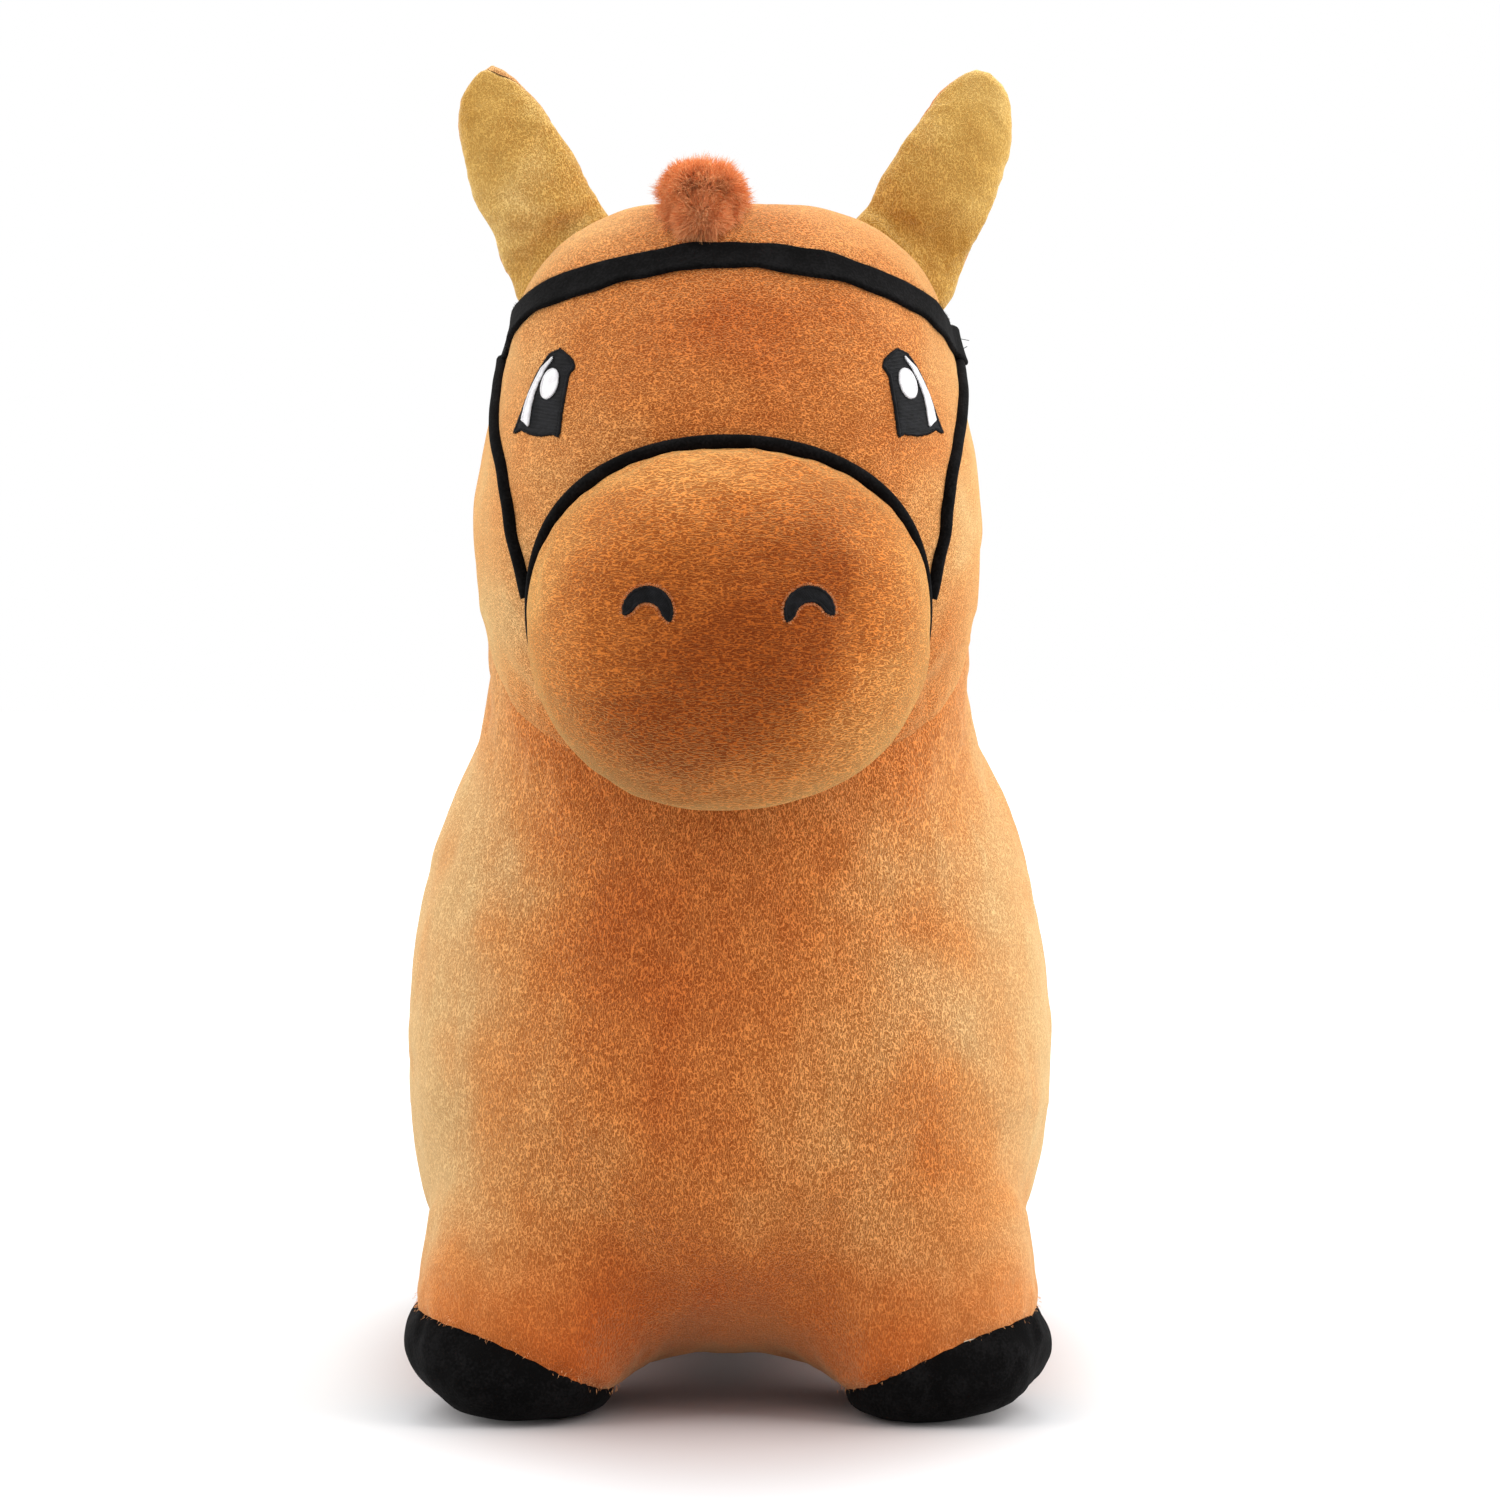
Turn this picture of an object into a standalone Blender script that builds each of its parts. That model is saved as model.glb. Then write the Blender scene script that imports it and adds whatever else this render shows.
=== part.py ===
"""A plush-covered inflatable bouncy horse that a small child sits on and bounces.

Sizes are in metres. The horse faces -Y, +Z is up, and the origin is on the floor under its middle.
A hollow air bladder fills the body, and stuffing fills the head. The plush covers are shells around
them, and four hooves slide up towards the body when the horse bounces.
"""

import math
from typing import NamedTuple

import bmesh
import bpy
from mathutils import Matrix, Vector
from mathutils.bvhtree import BVHTree

# Fits and walls
GAP = 0.0003
PLUSH = 0.0030
BLADDER_WALL = 0.0020
EAR_PLUSH = 0.0020
PARTITION = 0.0020
EMBROIDERY = 0.0012

# Facets round each form
HORSE_FACETS = 24
MUZZLE_FACETS = 18
LEG_FACETS = 14
EAR_FACETS = 12


class Section(NamedTuple):
    """One rounded section of the body, neck or head, in the plane through its two end points."""

    high: tuple  # y and z of the point on the back, nape or poll
    low: tuple  # y and z of the point on the belly, chest or face
    half_width: float
    high_power: float = 2.2
    low_power: float = 2.2


# The body, from the rump to the neck seam
RUMP_TIP = (0.2620, 0.1540)
BELLY_HEIGHT = 0.0185
BODY_SECTIONS = (
    Section((0.2540, 0.2060), (0.2540, 0.0980), 0.064),
    Section((0.2380, 0.2320), (0.2400, 0.0700), 0.091, 2.2, 2.4),
    Section((0.2050, 0.2580), (0.2080, 0.0400), 0.114, 2.2, 2.7),
    Section((0.1500, 0.2690), (0.1520, 0.0230), 0.128, 2.2, 2.8),
    Section((0.0850, 0.2670), (0.0950, BELLY_HEIGHT), 0.134, 2.2, 2.6),
    Section((0.0350, 0.2630), (0.0300, BELLY_HEIGHT), 0.134, 2.2, 2.5),
    Section((0.0000, 0.2630), (-0.0350, BELLY_HEIGHT), 0.134, 2.2, 2.5),
    Section((-0.0220, 0.2700), (-0.1000, BELLY_HEIGHT), 0.134, 2.2, 2.6),
    Section((-0.0360, 0.2830), (-0.1580, 0.0260), 0.134, 2.1, 2.8),
    Section((-0.0450, 0.3000), (-0.1980, 0.0680), 0.131, 2.0, 2.6),
    Section((-0.0510, 0.3210), (-0.2085, 0.1280), 0.121, 1.8, 2.3),
    Section((-0.0530, 0.3420), (-0.2055, 0.1860), 0.1045, 1.8),
    Section((-0.0520, 0.3620), (-0.2010, 0.2280), 0.0985, 2.0),
)
NECK_SECTION = Section((-0.0490, 0.3800), (-0.1990, 0.2580), 0.1010)
HEAD_SECTIONS = (
    Section((-0.0400, 0.4130), (-0.2220, 0.3080), 0.1045, 2.3, 2.3),
    Section((-0.0360, 0.4400), (-0.2360, 0.3600), 0.0990, 2.4, 2.4),
    Section((-0.0400, 0.4620), (-0.2335, 0.4030), 0.0915, 2.4, 2.4),
    Section((-0.0520, 0.4780), (-0.2220, 0.4380), 0.0840, 2.4, 2.4),
    Section((-0.0750, 0.4890), (-0.2050, 0.4660), 0.0690, 2.4, 2.4),
    Section((-0.0950, 0.4935), (-0.1800, 0.4865), 0.0460),
)
CROWN = (-0.1370, 0.4940)
HEAD_CENTRE = Vector((0.0, -0.1300, 0.4080))

# The muzzle, an egg that points forwards and a little down
MUZZLE_CENTRE = Vector((0.0, -0.2150, 0.3215))
MUZZLE_TILT = math.radians(16.0)
MUZZLE_HALF_WIDTH = 0.0800
MUZZLE_HALF_HEIGHT = 0.0730
MUZZLE_FORWARD = 0.0730
MUZZLE_BACKWARD = 0.0500
MUZZLE_POWER = 2.15
MUZZLE_STEPS = (18, 36, 54, 72, 90, 108, 126)

# The legs and hooves
FRONT_LEG_Y = -0.1500
REAR_LEG_Y = 0.1680


class LegSection(NamedTuple):
    """One section of a leg, tilted across the horse: its outer and inner points as x and z."""

    outer: tuple
    inner: tuple
    half_depth: float


LEG_SECTIONS = (
    LegSection((0.1000, 0.1160), (0.0400, 0.0900), 0.0340),
    LegSection((0.1225, 0.0800), (0.0290, 0.0380), 0.0480),
    LegSection((0.1240, 0.0590), (0.0330, 0.0195), 0.0500),
)
HOOF_SEAM = LegSection((0.1285, 0.0440), (0.0430, 0.0115), 0.0515)
HOOF_SECTIONS = (
    LegSection((0.1310, 0.0330), (0.0440, 0.0080), 0.0530),
    LegSection((0.1305, 0.0220), (0.0470, 0.0045), 0.0525),
    LegSection((0.1240, 0.0118), (0.0515, 0.0020), 0.0495),
    LegSection((0.1130, 0.0045), (0.0560, 0.0006), 0.0440),
    LegSection((0.0980, 0.0000), (0.0605, 0.0000), 0.0340),
)
LEG_POWER = 2.5

# The ears, whose pair sits a little to the left of the head's middle
EAR_MIDDLE = 0.0027
EAR_Y = -0.1050
EAR_BASE_OUTER = (0.0893, 0.4532)
EAR_BASE_INNER = (0.0511, 0.4906)
EAR_BASE_RADIUS = 0.0115
EAR_BASE_ANGLE = math.radians(45.0)
EAR_SOCKET_MARGIN = 0.0015
EAR_POWER = 2.6


class EarSection(NamedTuple):
    """One section of an ear: its outer and inner points as x and z, and half its thickness."""

    outer: tuple
    inner: tuple
    half_depth: float


EAR_SECTIONS = (
    EarSection((0.0952, 0.4650), (0.0542, 0.4955), 0.0082),
    EarSection((0.1012, 0.4805), (0.0582, 0.5015), 0.0100),
    EarSection((0.1088, 0.4969), (0.0652, 0.5135), 0.0105),
    EarSection((0.1142, 0.5135), (0.0747, 0.5290), 0.0098),
    EarSection((0.1169, 0.5295), (0.0837, 0.5425), 0.0080),
    EarSection((0.1147, 0.5425), (0.0932, 0.5505), 0.0058),
)
EAR_TIP = (0.1052, 0.5535)

# The bridle: directions from the head's centre in degrees, round from the face and up
BROWBAND_WIDTH = 0.0126
BROWBAND_THICKNESS = 0.0024
BROWBAND_ROUTE = ((93, 16), (80, 19.5), (66, 22.5), (54, 26.5), (41, 30.5), (24, 35.5), (10, 38.7), (0, 39.5))
CROWN_STRAP_WIDTH = 0.0080
CROWN_STRAP_THICKNESS = 0.0020
CROWN_STRAP_STEPS = 2
CROWN_STRAP_ROUTE = ((96, 12), (112, 11), (126, 18), (140, 30), (156, 41), (168, 46), (180, 48))
CHEEK_STRAP_RADIUS = 0.0028
CHEEK_STRAP_ROUTE = ((90, 13), (84, 8.5), (75, 1.5), (65, -7), (58, -15), (54.5, -25), (52.5, -36))
NOSEBAND_RADIUS = 0.0030
NOSEBAND_HALF_TURN = math.radians(100.0)
NOSEBAND_STEPS = 16
TUBE_FACETS = 8
STRAP_SINK = 0.0030
STRAP_SHOULDER = 0.6
STRAP_CROWN = 0.75

# The embroidery, seen from the front: x outwards and z up from each centre
EYE_CENTRE = (0.0735, 0.4132)
EYE_OUTLINE = (
    (-0.0067, 0.0169), (-0.0113, 0.0128), (-0.0122, 0.0099), (-0.0097, 0.0061),
    (-0.0077, -0.0062), (-0.0062, -0.0179), (-0.0045, -0.0166), (0.0010, -0.0171),
    (0.0053, -0.0163), (0.0093, -0.0142), (0.0119, -0.0156), (0.0096, -0.0099),
    (0.0069, -0.0028), (0.0041, 0.0042), (0.0010, 0.0101), (-0.0027, 0.0153),
)
EYE_WHITE_OUTLINE = (
    (-0.0040, 0.0137), (0.0003, 0.0095), (0.0028, 0.0047), (0.0053, -0.0007),
    (0.0070, -0.0056), (0.0082, -0.0108), (0.0058, -0.0132), (0.0054, -0.0099),
    (0.0047, -0.0053), (0.0036, -0.0007), (0.0020, 0.0036), (-0.0008, 0.0092),
)
GLINT_CENTRE = (-0.0030, 0.0032)
GLINT_HALF_WIDTH = 0.0030
GLINT_HALF_HEIGHT = 0.0060
GLINT_TILT = math.radians(16.0)
GLINT_FACETS = 12
NOSTRIL_CENTRE = (0.0320, 0.3250)
NOSTRIL_RADIUS = 0.0098
NOSTRIL_THICK = 0.0050
NOSTRIL_THIN = 0.0022
NOSTRIL_HALF_ANGLE = math.radians(82.0)
NOSTRIL_STEPS = 7

# Forelock, mane and tail
FORELOCK_CENTRE = Vector((-0.0100, -0.1560, 0.4920))
FORELOCK_HALF_SIZE = Vector((0.0200, 0.0190, 0.0230))
MANE_FIRST_SECTION = 5
MANE_HALF_WIDTH = 0.0130
MANE_HEIGHT = 0.0180
MANE_SINK = 0.0060
TAIL_HINGE_HEIGHT = 0.2180
TAIL_TAPE_RADIUS = 0.0025
TAIL_TAPE_HALF_WIDTH = 0.0070
TAIL_CLEARANCE = 0.0030
TAIL_HALF_WIDTH = 0.0150
TAIL_TOP_HALF_WIDTH = 0.0095
TAIL_THICKNESS = 0.0200
TAIL_LENGTH = 0.1250

# The zip in the belly
ZIP_FRONT_Y = -0.0850
ZIP_REAR_Y = 0.1150
ZIP_HALF_SLOT = 0.0125
ZIP_TAPE_THICKNESS = 0.0008
ZIP_TAPE_LIFT = 0.0022
TEETH_HALF_SPLIT = 0.0008
TEETH_WIDTH = 0.0018
TEETH_HEIGHT = 0.0030
TEETH_LIFT = 0.0012
STOP_LENGTH = 0.0025
SLIDER_LENGTH = 0.0110
SLIDER_HALF_WIDTH = 0.0050
SLIDER_PLATE = 0.0012
SLIDER_WEB_LENGTH = 0.0040
LUG_HALF_WIDTH = 0.0011
LUG_RADIUS = 0.0022
LUG_NECK = 0.0015
PULL_PIN_RADIUS = 0.0008
PULL_CHEEK = 0.0010
PULL_LENGTH = 0.0100
PULL_THICKNESS = 0.0012

# The air valve
BLADDER_FLOOR = 0.0280
VALVE_Y = 0.0450
VALVE_POCKET_RADIUS = 0.0140
VALVE_POCKET_CEILING = 0.0440
VALVE_TUBE_RADIUS = 0.0085
VALVE_BORE_RADIUS = 0.0052
VALVE_TUBE_LENGTH = 0.0110
VALVE_TUBE_DROP = 0.0050
VALVE_FLANGE_RADIUS = 0.0125
VALVE_FLANGE_THICKNESS = 0.0022
PLUG_STEM_RADIUS = 0.0048
PLUG_STEM_LENGTH = 0.0085
PLUG_HEAD_RADIUS = 0.0080
PLUG_HEAD_THICKNESS = 0.0030
ROUND_FACETS = 20
PIN_FACETS = 12

# Colours, roughness and metallic
ORANGE = ((0.55, 0.19, 0.055), 0.95, 0.0)
GOLD = ((0.58, 0.34, 0.10), 0.95, 0.0)
FUR = ((0.48, 0.14, 0.045), 0.95, 0.0)
BLACK_PLUSH = ((0.009, 0.008, 0.008), 0.90, 0.0)
BLACK_THREAD = ((0.020, 0.018, 0.019), 0.60, 0.0)
WHITE_THREAD = ((0.72, 0.70, 0.72), 0.55, 0.0)
STUFFING = ((0.85, 0.84, 0.82), 0.98, 0.0)
BLADDER_VINYL = ((0.66, 0.58, 0.44), 0.40, 0.0)
LINING = ((0.75, 0.72, 0.65), 0.90, 0.0)
ZIP_BLACK = ((0.020, 0.020, 0.021), 0.70, 0.0)
ZIP_METAL = ((0.42, 0.42, 0.43), 0.30, 1.0)


def signed_power(value, exponent):
    """A power that keeps the sign."""
    return math.copysign(abs(value) ** exponent, value)


def rounded_ring(high, low, side, count, high_power=2.2, low_power=2.2):
    """Points round a section, from its high point past +side to its low point and back."""
    centre = (high + low) / 2
    reach = (high - low) / 2
    ring = []
    for i in range(count):
        angle = 2 * math.pi * i / count
        exponent = 2 / (high_power if math.cos(angle) >= 0 else low_power)
        along = signed_power(math.cos(angle), exponent)
        across = signed_power(math.sin(angle), exponent)
        ring.append(centre + reach * along + side * across)
    return ring


class Loft:
    """A closed form through rings of points, which its covers and fillings follow."""

    def __init__(self, rings, start=None, end=None, seam=None):
        """Rings run from start to end, each a pole point or None for a flat cap.

        The seam is the number of a ring that stays flat when the form is inset.
        """
        self.seam = seam
        self.count = len(rings[0])
        self.rings = len(rings)
        self.points = [Vector(point) for ring in rings for point in ring]
        self.faces = {}
        for k in range(self.rings - 1):
            for i in range(self.count):
                self.split(k, i)
        self.close(start, 0, -1)
        self.close(end, self.rings - 1, self.rings - 1)
        self.face_outwards()
        self.normals = self.point_normals()

    def index(self, ring, i):
        """The number of a ring's point."""
        return ring * self.count + i % self.count

    def split(self, k, i):
        """Cover the gap between two rings with two triangles along the shorter diagonal."""
        a, b = self.index(k, i), self.index(k, i + 1)
        c, d = self.index(k + 1, i + 1), self.index(k + 1, i)
        if (self.points[a] - self.points[c]).length < (self.points[b] - self.points[d]).length:
            pair = ((a, b, c), (a, c, d))
        else:
            pair = ((a, b, d), (b, c, d))
        for half, face in enumerate(pair):
            self.faces[(k, i, half)] = face

    def close(self, pole, ring, key):
        """Close one end with a fan to its pole, or with one flat face."""
        loop = [self.index(ring, i) for i in range(self.count)]
        if key >= 0:
            loop.reverse()
        if pole is None:
            self.faces[(key, 0)] = tuple(reversed(loop))
            return
        top = len(self.points)
        self.points.append(Vector(pole))
        for i in range(self.count):
            first = loop[i]
            second = loop[(i + 1) % self.count]
            place = first - ring * self.count if key < 0 else second - ring * self.count
            self.faces[(key, place)] = (second, first, top)

    def face_outwards(self):
        """Turn every face round if the form is inside out."""
        volume = 0.0
        for face in self.faces.values():
            first = self.points[face[0]]
            for a, b in zip(face[1:-1], face[2:]):
                volume += first.dot(self.points[a].cross(self.points[b]))
        if volume < 0:
            self.faces = {key: tuple(reversed(face)) for key, face in self.faces.items()}

    def point_normals(self):
        """The outward direction at each point, from the faces round it but not a seam's cap."""
        normals = [Vector() for _ in self.points]
        for face in self.faces.values():
            corners = [self.points[i] for i in face]
            normal = Vector()
            for a, b in zip(corners, corners[1:] + corners[:1]):
                normal += a.cross(b)
            for i in face:
                if len(face) == 3 or i // self.count != self.seam:
                    normals[i] += normal
        return [normal.normalized() for normal in normals]

    def grown(self, distance):
        """The points moved outwards, or inwards where the distance is negative."""
        points = [point + normal * distance for point, normal in zip(self.points, self.normals)]
        if self.seam is not None and distance < 0:
            self.flatten_seam(points, -distance)
        return points

    def flatten_seam(self, points, depth):
        """Keep the seam ring in its own plane at a depth inside the form."""
        along = self.seam_direction()
        for k in self.seam_indices():
            inwards = along * self.normals[k].dot(along) - self.normals[k]
            points[k] = self.points[k] + inwards.normalized() * depth / inwards.length

    def lift_seam(self, points, lift):
        """Move the seam ring along the form's own edges by a height above its plane."""
        along = self.seam_direction()
        step = self.count if lift > 0 else -self.count
        for k in self.seam_indices():
            edge = points[k + step] - points[k]
            points[k] = points[k] + edge * lift / edge.dot(along)

    def seam_indices(self):
        """The numbers of the seam ring's points."""
        return range(self.index(self.seam, 0), self.index(self.seam, self.count - 1) + 1)

    def seam_centre(self):
        """The middle of the seam ring."""
        return sum((self.points[k] for k in self.seam_indices()), Vector()) / self.count

    def seam_direction(self):
        """The direction at right angles to the seam's plane, towards the form's end."""
        centre = self.seam_centre()
        start = self.index(self.seam, 0)
        quarter = self.points[start + self.count // 4] - centre
        normal = (self.points[start] - centre).cross(quarter).normalized()
        ahead = self.points[start + self.count] - self.points[start]
        return normal if normal.dot(ahead) > 0 else -normal

    def spans(self, first, last):
        """The faces from one ring to another."""
        return {key: face for key, face in self.faces.items() if first <= key[0] < last}


def material(name, finish):
    """A plain material of one colour, roughness and metallic value."""
    colour, roughness, metallic = finish
    made = bpy.data.materials.new(name)
    made.use_nodes = True
    shader = made.node_tree.nodes["Principled BSDF"]
    shader.inputs["Base Color"].default_value = (*colour, 1.0)
    shader.inputs["Roughness"].default_value = roughness
    shader.inputs["Metallic"].default_value = metallic
    return made


def mesh_object(name, points, faces, finish=None):
    """An object with these points and faces, leaving out points that no face uses."""
    used = sorted({i for face in faces for i in face})
    place = {old: new for new, old in enumerate(used)}
    mesh = bpy.data.meshes.new(name)
    mesh.from_pydata([points[i] for i in used], [], [[place[i] for i in face] for face in faces])
    mesh.validate()
    mesh.shade_smooth()
    mesh.set_sharp_from_angle(angle=math.radians(40.0))
    made = bpy.data.objects.new(name, mesh)
    bpy.context.scene.collection.objects.link(made)
    if finish is not None:
        mesh.materials.append(material(name, finish))
    return made


def guide(name, points, faces):
    """A hidden form that other pieces are cut with."""
    made = mesh_object(name, points, faces)
    made.hide_render = True
    made.display_type = "WIRE"
    return made


def combine(piece, other, operation="DIFFERENCE"):
    """Cut, join or intersect a piece with another object."""
    modifier = piece.modifiers.new(other.name, "BOOLEAN")
    modifier.operation = operation
    modifier.solver = "EXACT"
    modifier.object = other


def place(piece, origin, parent=None):
    """Give a piece its own origin, and a parent empty that it then hangs from."""
    origin = Vector(origin)
    piece.data.transform(Matrix.Translation(-origin))
    piece.location = origin
    if parent is not None:
        piece.parent = parent
        piece.location = origin - parent.location


def joint_empty(name, location):
    """An empty on a joint's axis."""
    made = bpy.data.objects.new(name, None)
    made.location = location
    made.empty_display_size = 0.02
    bpy.context.scene.collection.objects.link(made)
    return made


def shell(outer, inner, faces):
    """A skin: the outer faces, the same at the inner points, and walls along the open edges."""
    count = len(outer)
    skin = list(faces) + [tuple(count + i for i in reversed(face)) for face in faces]
    edges = {edge for face in faces for edge in zip(face, face[1:] + face[:1])}
    for a, b in sorted(edges):
        if (b, a) not in edges:
            skin.append((b, a, count + a, count + b))
    return outer + inner, skin


def bar(name, low, high, finish=None):
    """A straight block between two corners."""
    xs, ys, zs = zip(low, high)
    points = [Vector((x, y, z)) for x in xs for y in ys for z in zs]
    faces = [(0, 1, 3, 2), (4, 6, 7, 5), (0, 4, 5, 1), (2, 3, 7, 6), (0, 2, 6, 4), (1, 5, 7, 3)]
    return mesh_object(name, points, faces, finish)


def helper(piece):
    """Hide a block or a cylinder that only cuts or joins."""
    piece.hide_render = True
    piece.display_type = "WIRE"
    return piece


def turned(name, profile, centre, axis, finish=None, facets=ROUND_FACETS):
    """A solid of revolution: profile pairs are radius and height along the axis, first to last."""
    axis = Vector(axis).normalized()
    side = axis.orthogonal().normalized()
    other = axis.cross(side)
    rings = []
    for radius, height in profile:
        ring = []
        for i in range(facets):
            angle = 2 * math.pi * i / facets
            spoke = side * math.cos(angle) + other * math.sin(angle)
            ring.append(Vector(centre) + axis * height + spoke * radius)
        rings.append(ring)
    form = Loft(rings)
    return mesh_object(name, form.points, list(form.faces.values()), finish)


def horse_ring(section, count=HORSE_FACETS):
    """A body or head section's ring."""
    high = Vector((0.0, *section.high))
    low = Vector((0.0, *section.low))
    side = Vector((section.half_width, 0.0, 0.0))
    return rounded_ring(high, low, side, count, section.high_power, section.low_power)


def horse_form():
    """The whole outer form from the rump to the crown of the head."""
    sections = (*BODY_SECTIONS, NECK_SECTION, *HEAD_SECTIONS)
    rings = [horse_ring(section) for section in sections]
    return Loft(rings, Vector((0.0, *RUMP_TIP)), Vector((0.0, *CROWN)), len(BODY_SECTIONS))


def muzzle_axes():
    """The muzzle's forward and upward directions."""
    forward = Vector((0.0, -math.cos(MUZZLE_TILT), -math.sin(MUZZLE_TILT)))
    upward = Vector((0.0, -math.sin(MUZZLE_TILT), math.cos(MUZZLE_TILT)))
    return forward, upward


def muzzle_form():
    """The egg of the muzzle, from its front pole back into the head."""
    forward, upward = muzzle_axes()
    rings = []
    for step in MUZZLE_STEPS:
        angle = math.radians(step)
        reach = MUZZLE_FORWARD if step <= 90 else MUZZLE_BACKWARD
        size = signed_power(math.sin(angle), 2 / MUZZLE_POWER)
        centre = MUZZLE_CENTRE + forward * reach * signed_power(math.cos(angle), 2 / MUZZLE_POWER)
        high = centre + upward * MUZZLE_HALF_HEIGHT * size
        low = centre - upward * MUZZLE_HALF_HEIGHT * size
        side = Vector((MUZZLE_HALF_WIDTH * size, 0.0, 0.0))
        rings.append(rounded_ring(high, low, side, MUZZLE_FACETS, MUZZLE_POWER, MUZZLE_POWER))
    return Loft(rings, MUZZLE_CENTRE + forward * MUZZLE_FORWARD)


def side_ring(section, side, y, count, power, middle=0.0):
    """A ring that is tilted across the horse, as a leg's or an ear's is."""
    high = across(section.outer, side, y, middle)
    low = across(section.inner, side, y, middle)
    depth = Vector((0.0, section.half_depth, 0.0))
    return rounded_ring(high, low, depth, count, power, power)


def across(place, side, y, middle=0.0):
    """The point that an outward distance and a height give, on one side of a middle line."""
    return Vector((middle + side * place[0], y, place[1]))


def leg_form(side, y):
    """A leg from inside the body down to its flat sole."""
    sections = (*LEG_SECTIONS, HOOF_SEAM, *HOOF_SECTIONS)
    rings = [side_ring(section, side, y, LEG_FACETS, LEG_POWER) for section in sections]
    return Loft(rings, None, None, len(LEG_SECTIONS))


def half_cover(name, horse, sign):
    """One half of the body cover, a shell that ends at the centre seam and at the neck seam."""
    half = horse.count // 2
    chosen = range(half) if sign > 0 else range(half, horse.count)
    faces = [face for key, face in horse.spans(-1, horse.seam).items() if key[1] in chosen]
    outer = list(horse.points)
    inner = horse.grown(-PLUSH)
    for points in (outer, inner):
        for i, point in enumerate(points):
            if point.x * sign < GAP / 2:
                points[i] = Vector((sign * GAP / 2, point.y, point.z))
    return mesh_object(name, *shell(outer, inner, faces), ORANGE)


def head_cover(horse):
    """The plush over the head, from the neck seam to the crown."""
    outer = list(horse.points)
    inner = horse.grown(-PLUSH)
    horse.lift_seam(outer, GAP)
    horse.lift_seam(inner, GAP)
    faces = list(horse.spans(horse.seam, horse.rings).values())
    return mesh_object("head_cover", *shell(outer, inner, faces), ORANGE)


def body_part(horse, depth, lift, floor=None):
    """The closed form below the neck seam, inset, with its flat end lifted and a floor kept."""
    points = horse.grown(-depth)
    horse.lift_seam(points, lift)
    if floor is not None:
        points = [Vector((p.x, p.y, max(p.z, floor))) for p in points]
    return points, capped(horse, -1, horse.seam)


def head_part(horse, depth, lift):
    """The closed form above the neck seam, inset, with its flat end lifted."""
    points = horse.grown(-depth)
    horse.lift_seam(points, lift)
    return points, capped(horse, horse.seam, horse.rings)


def capped(horse, first, last):
    """The faces between two rings, one of which is the seam, closed there with a flat face."""
    faces = list(horse.spans(first, last).values())
    edges = {edge for face in faces for edge in zip(face, face[1:] + face[:1])}
    loop = [horse.index(horse.seam, i) for i in range(horse.count)]
    if (loop[0], loop[1]) in edges:
        loop.reverse()
    return faces + [tuple(loop)]


def ear_chord(side):
    """The line along an ear's base: its inner end, direction, length and outward normal."""
    inner = across(EAR_BASE_INNER, side, EAR_Y, EAR_MIDDLE)
    outer = across(EAR_BASE_OUTER, side, EAR_Y, EAR_MIDDLE)
    along = (outer - inner).normalized()
    normal = Vector((-along.z, 0.0, along.x)) * side
    if normal.z < 0:
        normal.negate()
    return inner, along, (outer - inner).length, normal


def ear_form(side):
    """An ear from its rounded base inside the head to its tip."""
    inner, along, length, normal = ear_chord(side)
    rings = []
    for angle in (EAR_BASE_ANGLE, 0.0):
        sunk = inner - normal * EAR_BASE_RADIUS * math.sin(angle)
        depth = Vector((0.0, EAR_BASE_RADIUS * math.cos(angle), 0.0))
        rings.append(rounded_ring(sunk + along * length, sunk, depth, EAR_FACETS, EAR_POWER, EAR_POWER))
    for section in EAR_SECTIONS:
        rings.append(side_ring(section, side, EAR_Y, EAR_FACETS, EAR_POWER, EAR_MIDDLE))
    return Loft(rings, None, across(EAR_TIP, side, EAR_Y, EAR_MIDDLE), 0)


def ear_panel(name, form, facing, finish):
    """The front or back skin of an ear, which ends at the edge seam and at the rounded base."""
    half = form.count // 2
    chosen = range(half) if facing > 0 else range(half, form.count)
    faces = [face for key, face in form.spans(0, form.rings).items() if key[1] in chosen]
    outer = list(form.points)
    inner = form.grown(-EAR_PLUSH)
    for points in (outer, inner):
        for i, point in enumerate(points):
            if (point.y - EAR_Y) * facing < GAP / 2:
                points[i] = Vector((point.x, EAR_Y + facing * GAP / 2, point.z))
    return mesh_object(name, *shell(outer, inner, faces), finish)


def ear_filling(name, form):
    """The stuffing inside an ear."""
    return mesh_object(name, form.grown(-EAR_PLUSH - GAP), list(form.faces.values()), STUFFING)


def surface_tree(form, distance=0.0):
    """A search tree over a form's faces."""
    return BVHTree.FromPolygons(form.grown(distance), list(form.faces.values()))


def direction(round_angle, up_angle):
    """A direction from the head's centre: degrees round from the face to +X, and degrees up."""
    turn = math.radians(round_angle)
    lift = math.radians(up_angle)
    return Vector((math.sin(turn) * math.cos(lift), -math.cos(turn) * math.cos(lift), math.sin(lift)))


def route_on_head(tree, route, side, steps=1):
    """Points and normals on the head along a route of directions, each leg of it in steps."""
    filled = []
    for first, second in zip(route, route[1:]):
        for step in range(steps):
            share = step / steps
            turn = first[0] + (second[0] - first[0]) * share
            lift = first[1] + (second[1] - first[1]) * share
            filled.append((turn, lift))
    points = []
    for turn, lift in filled + [route[-1]]:
        ray = direction(side * turn, lift)
        hit, normal, _, _ = tree.ray_cast(HEAD_CENTRE, ray)
        points.append((hit, normal if normal.dot(ray) > 0 else -normal))
    return points


def swept(path, outline):
    """Rings of an outline, given across and outwards, along a path of points and normals."""
    rings = []
    for i, (point, normal) in enumerate(path):
        before = path[max(i - 1, 0)][0]
        after = path[min(i + 1, len(path) - 1)][0]
        across = (after - before).cross(normal).normalized()
        rings.append([point + across * a + normal * b for a, b in outline])
    return Loft(rings)


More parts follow.
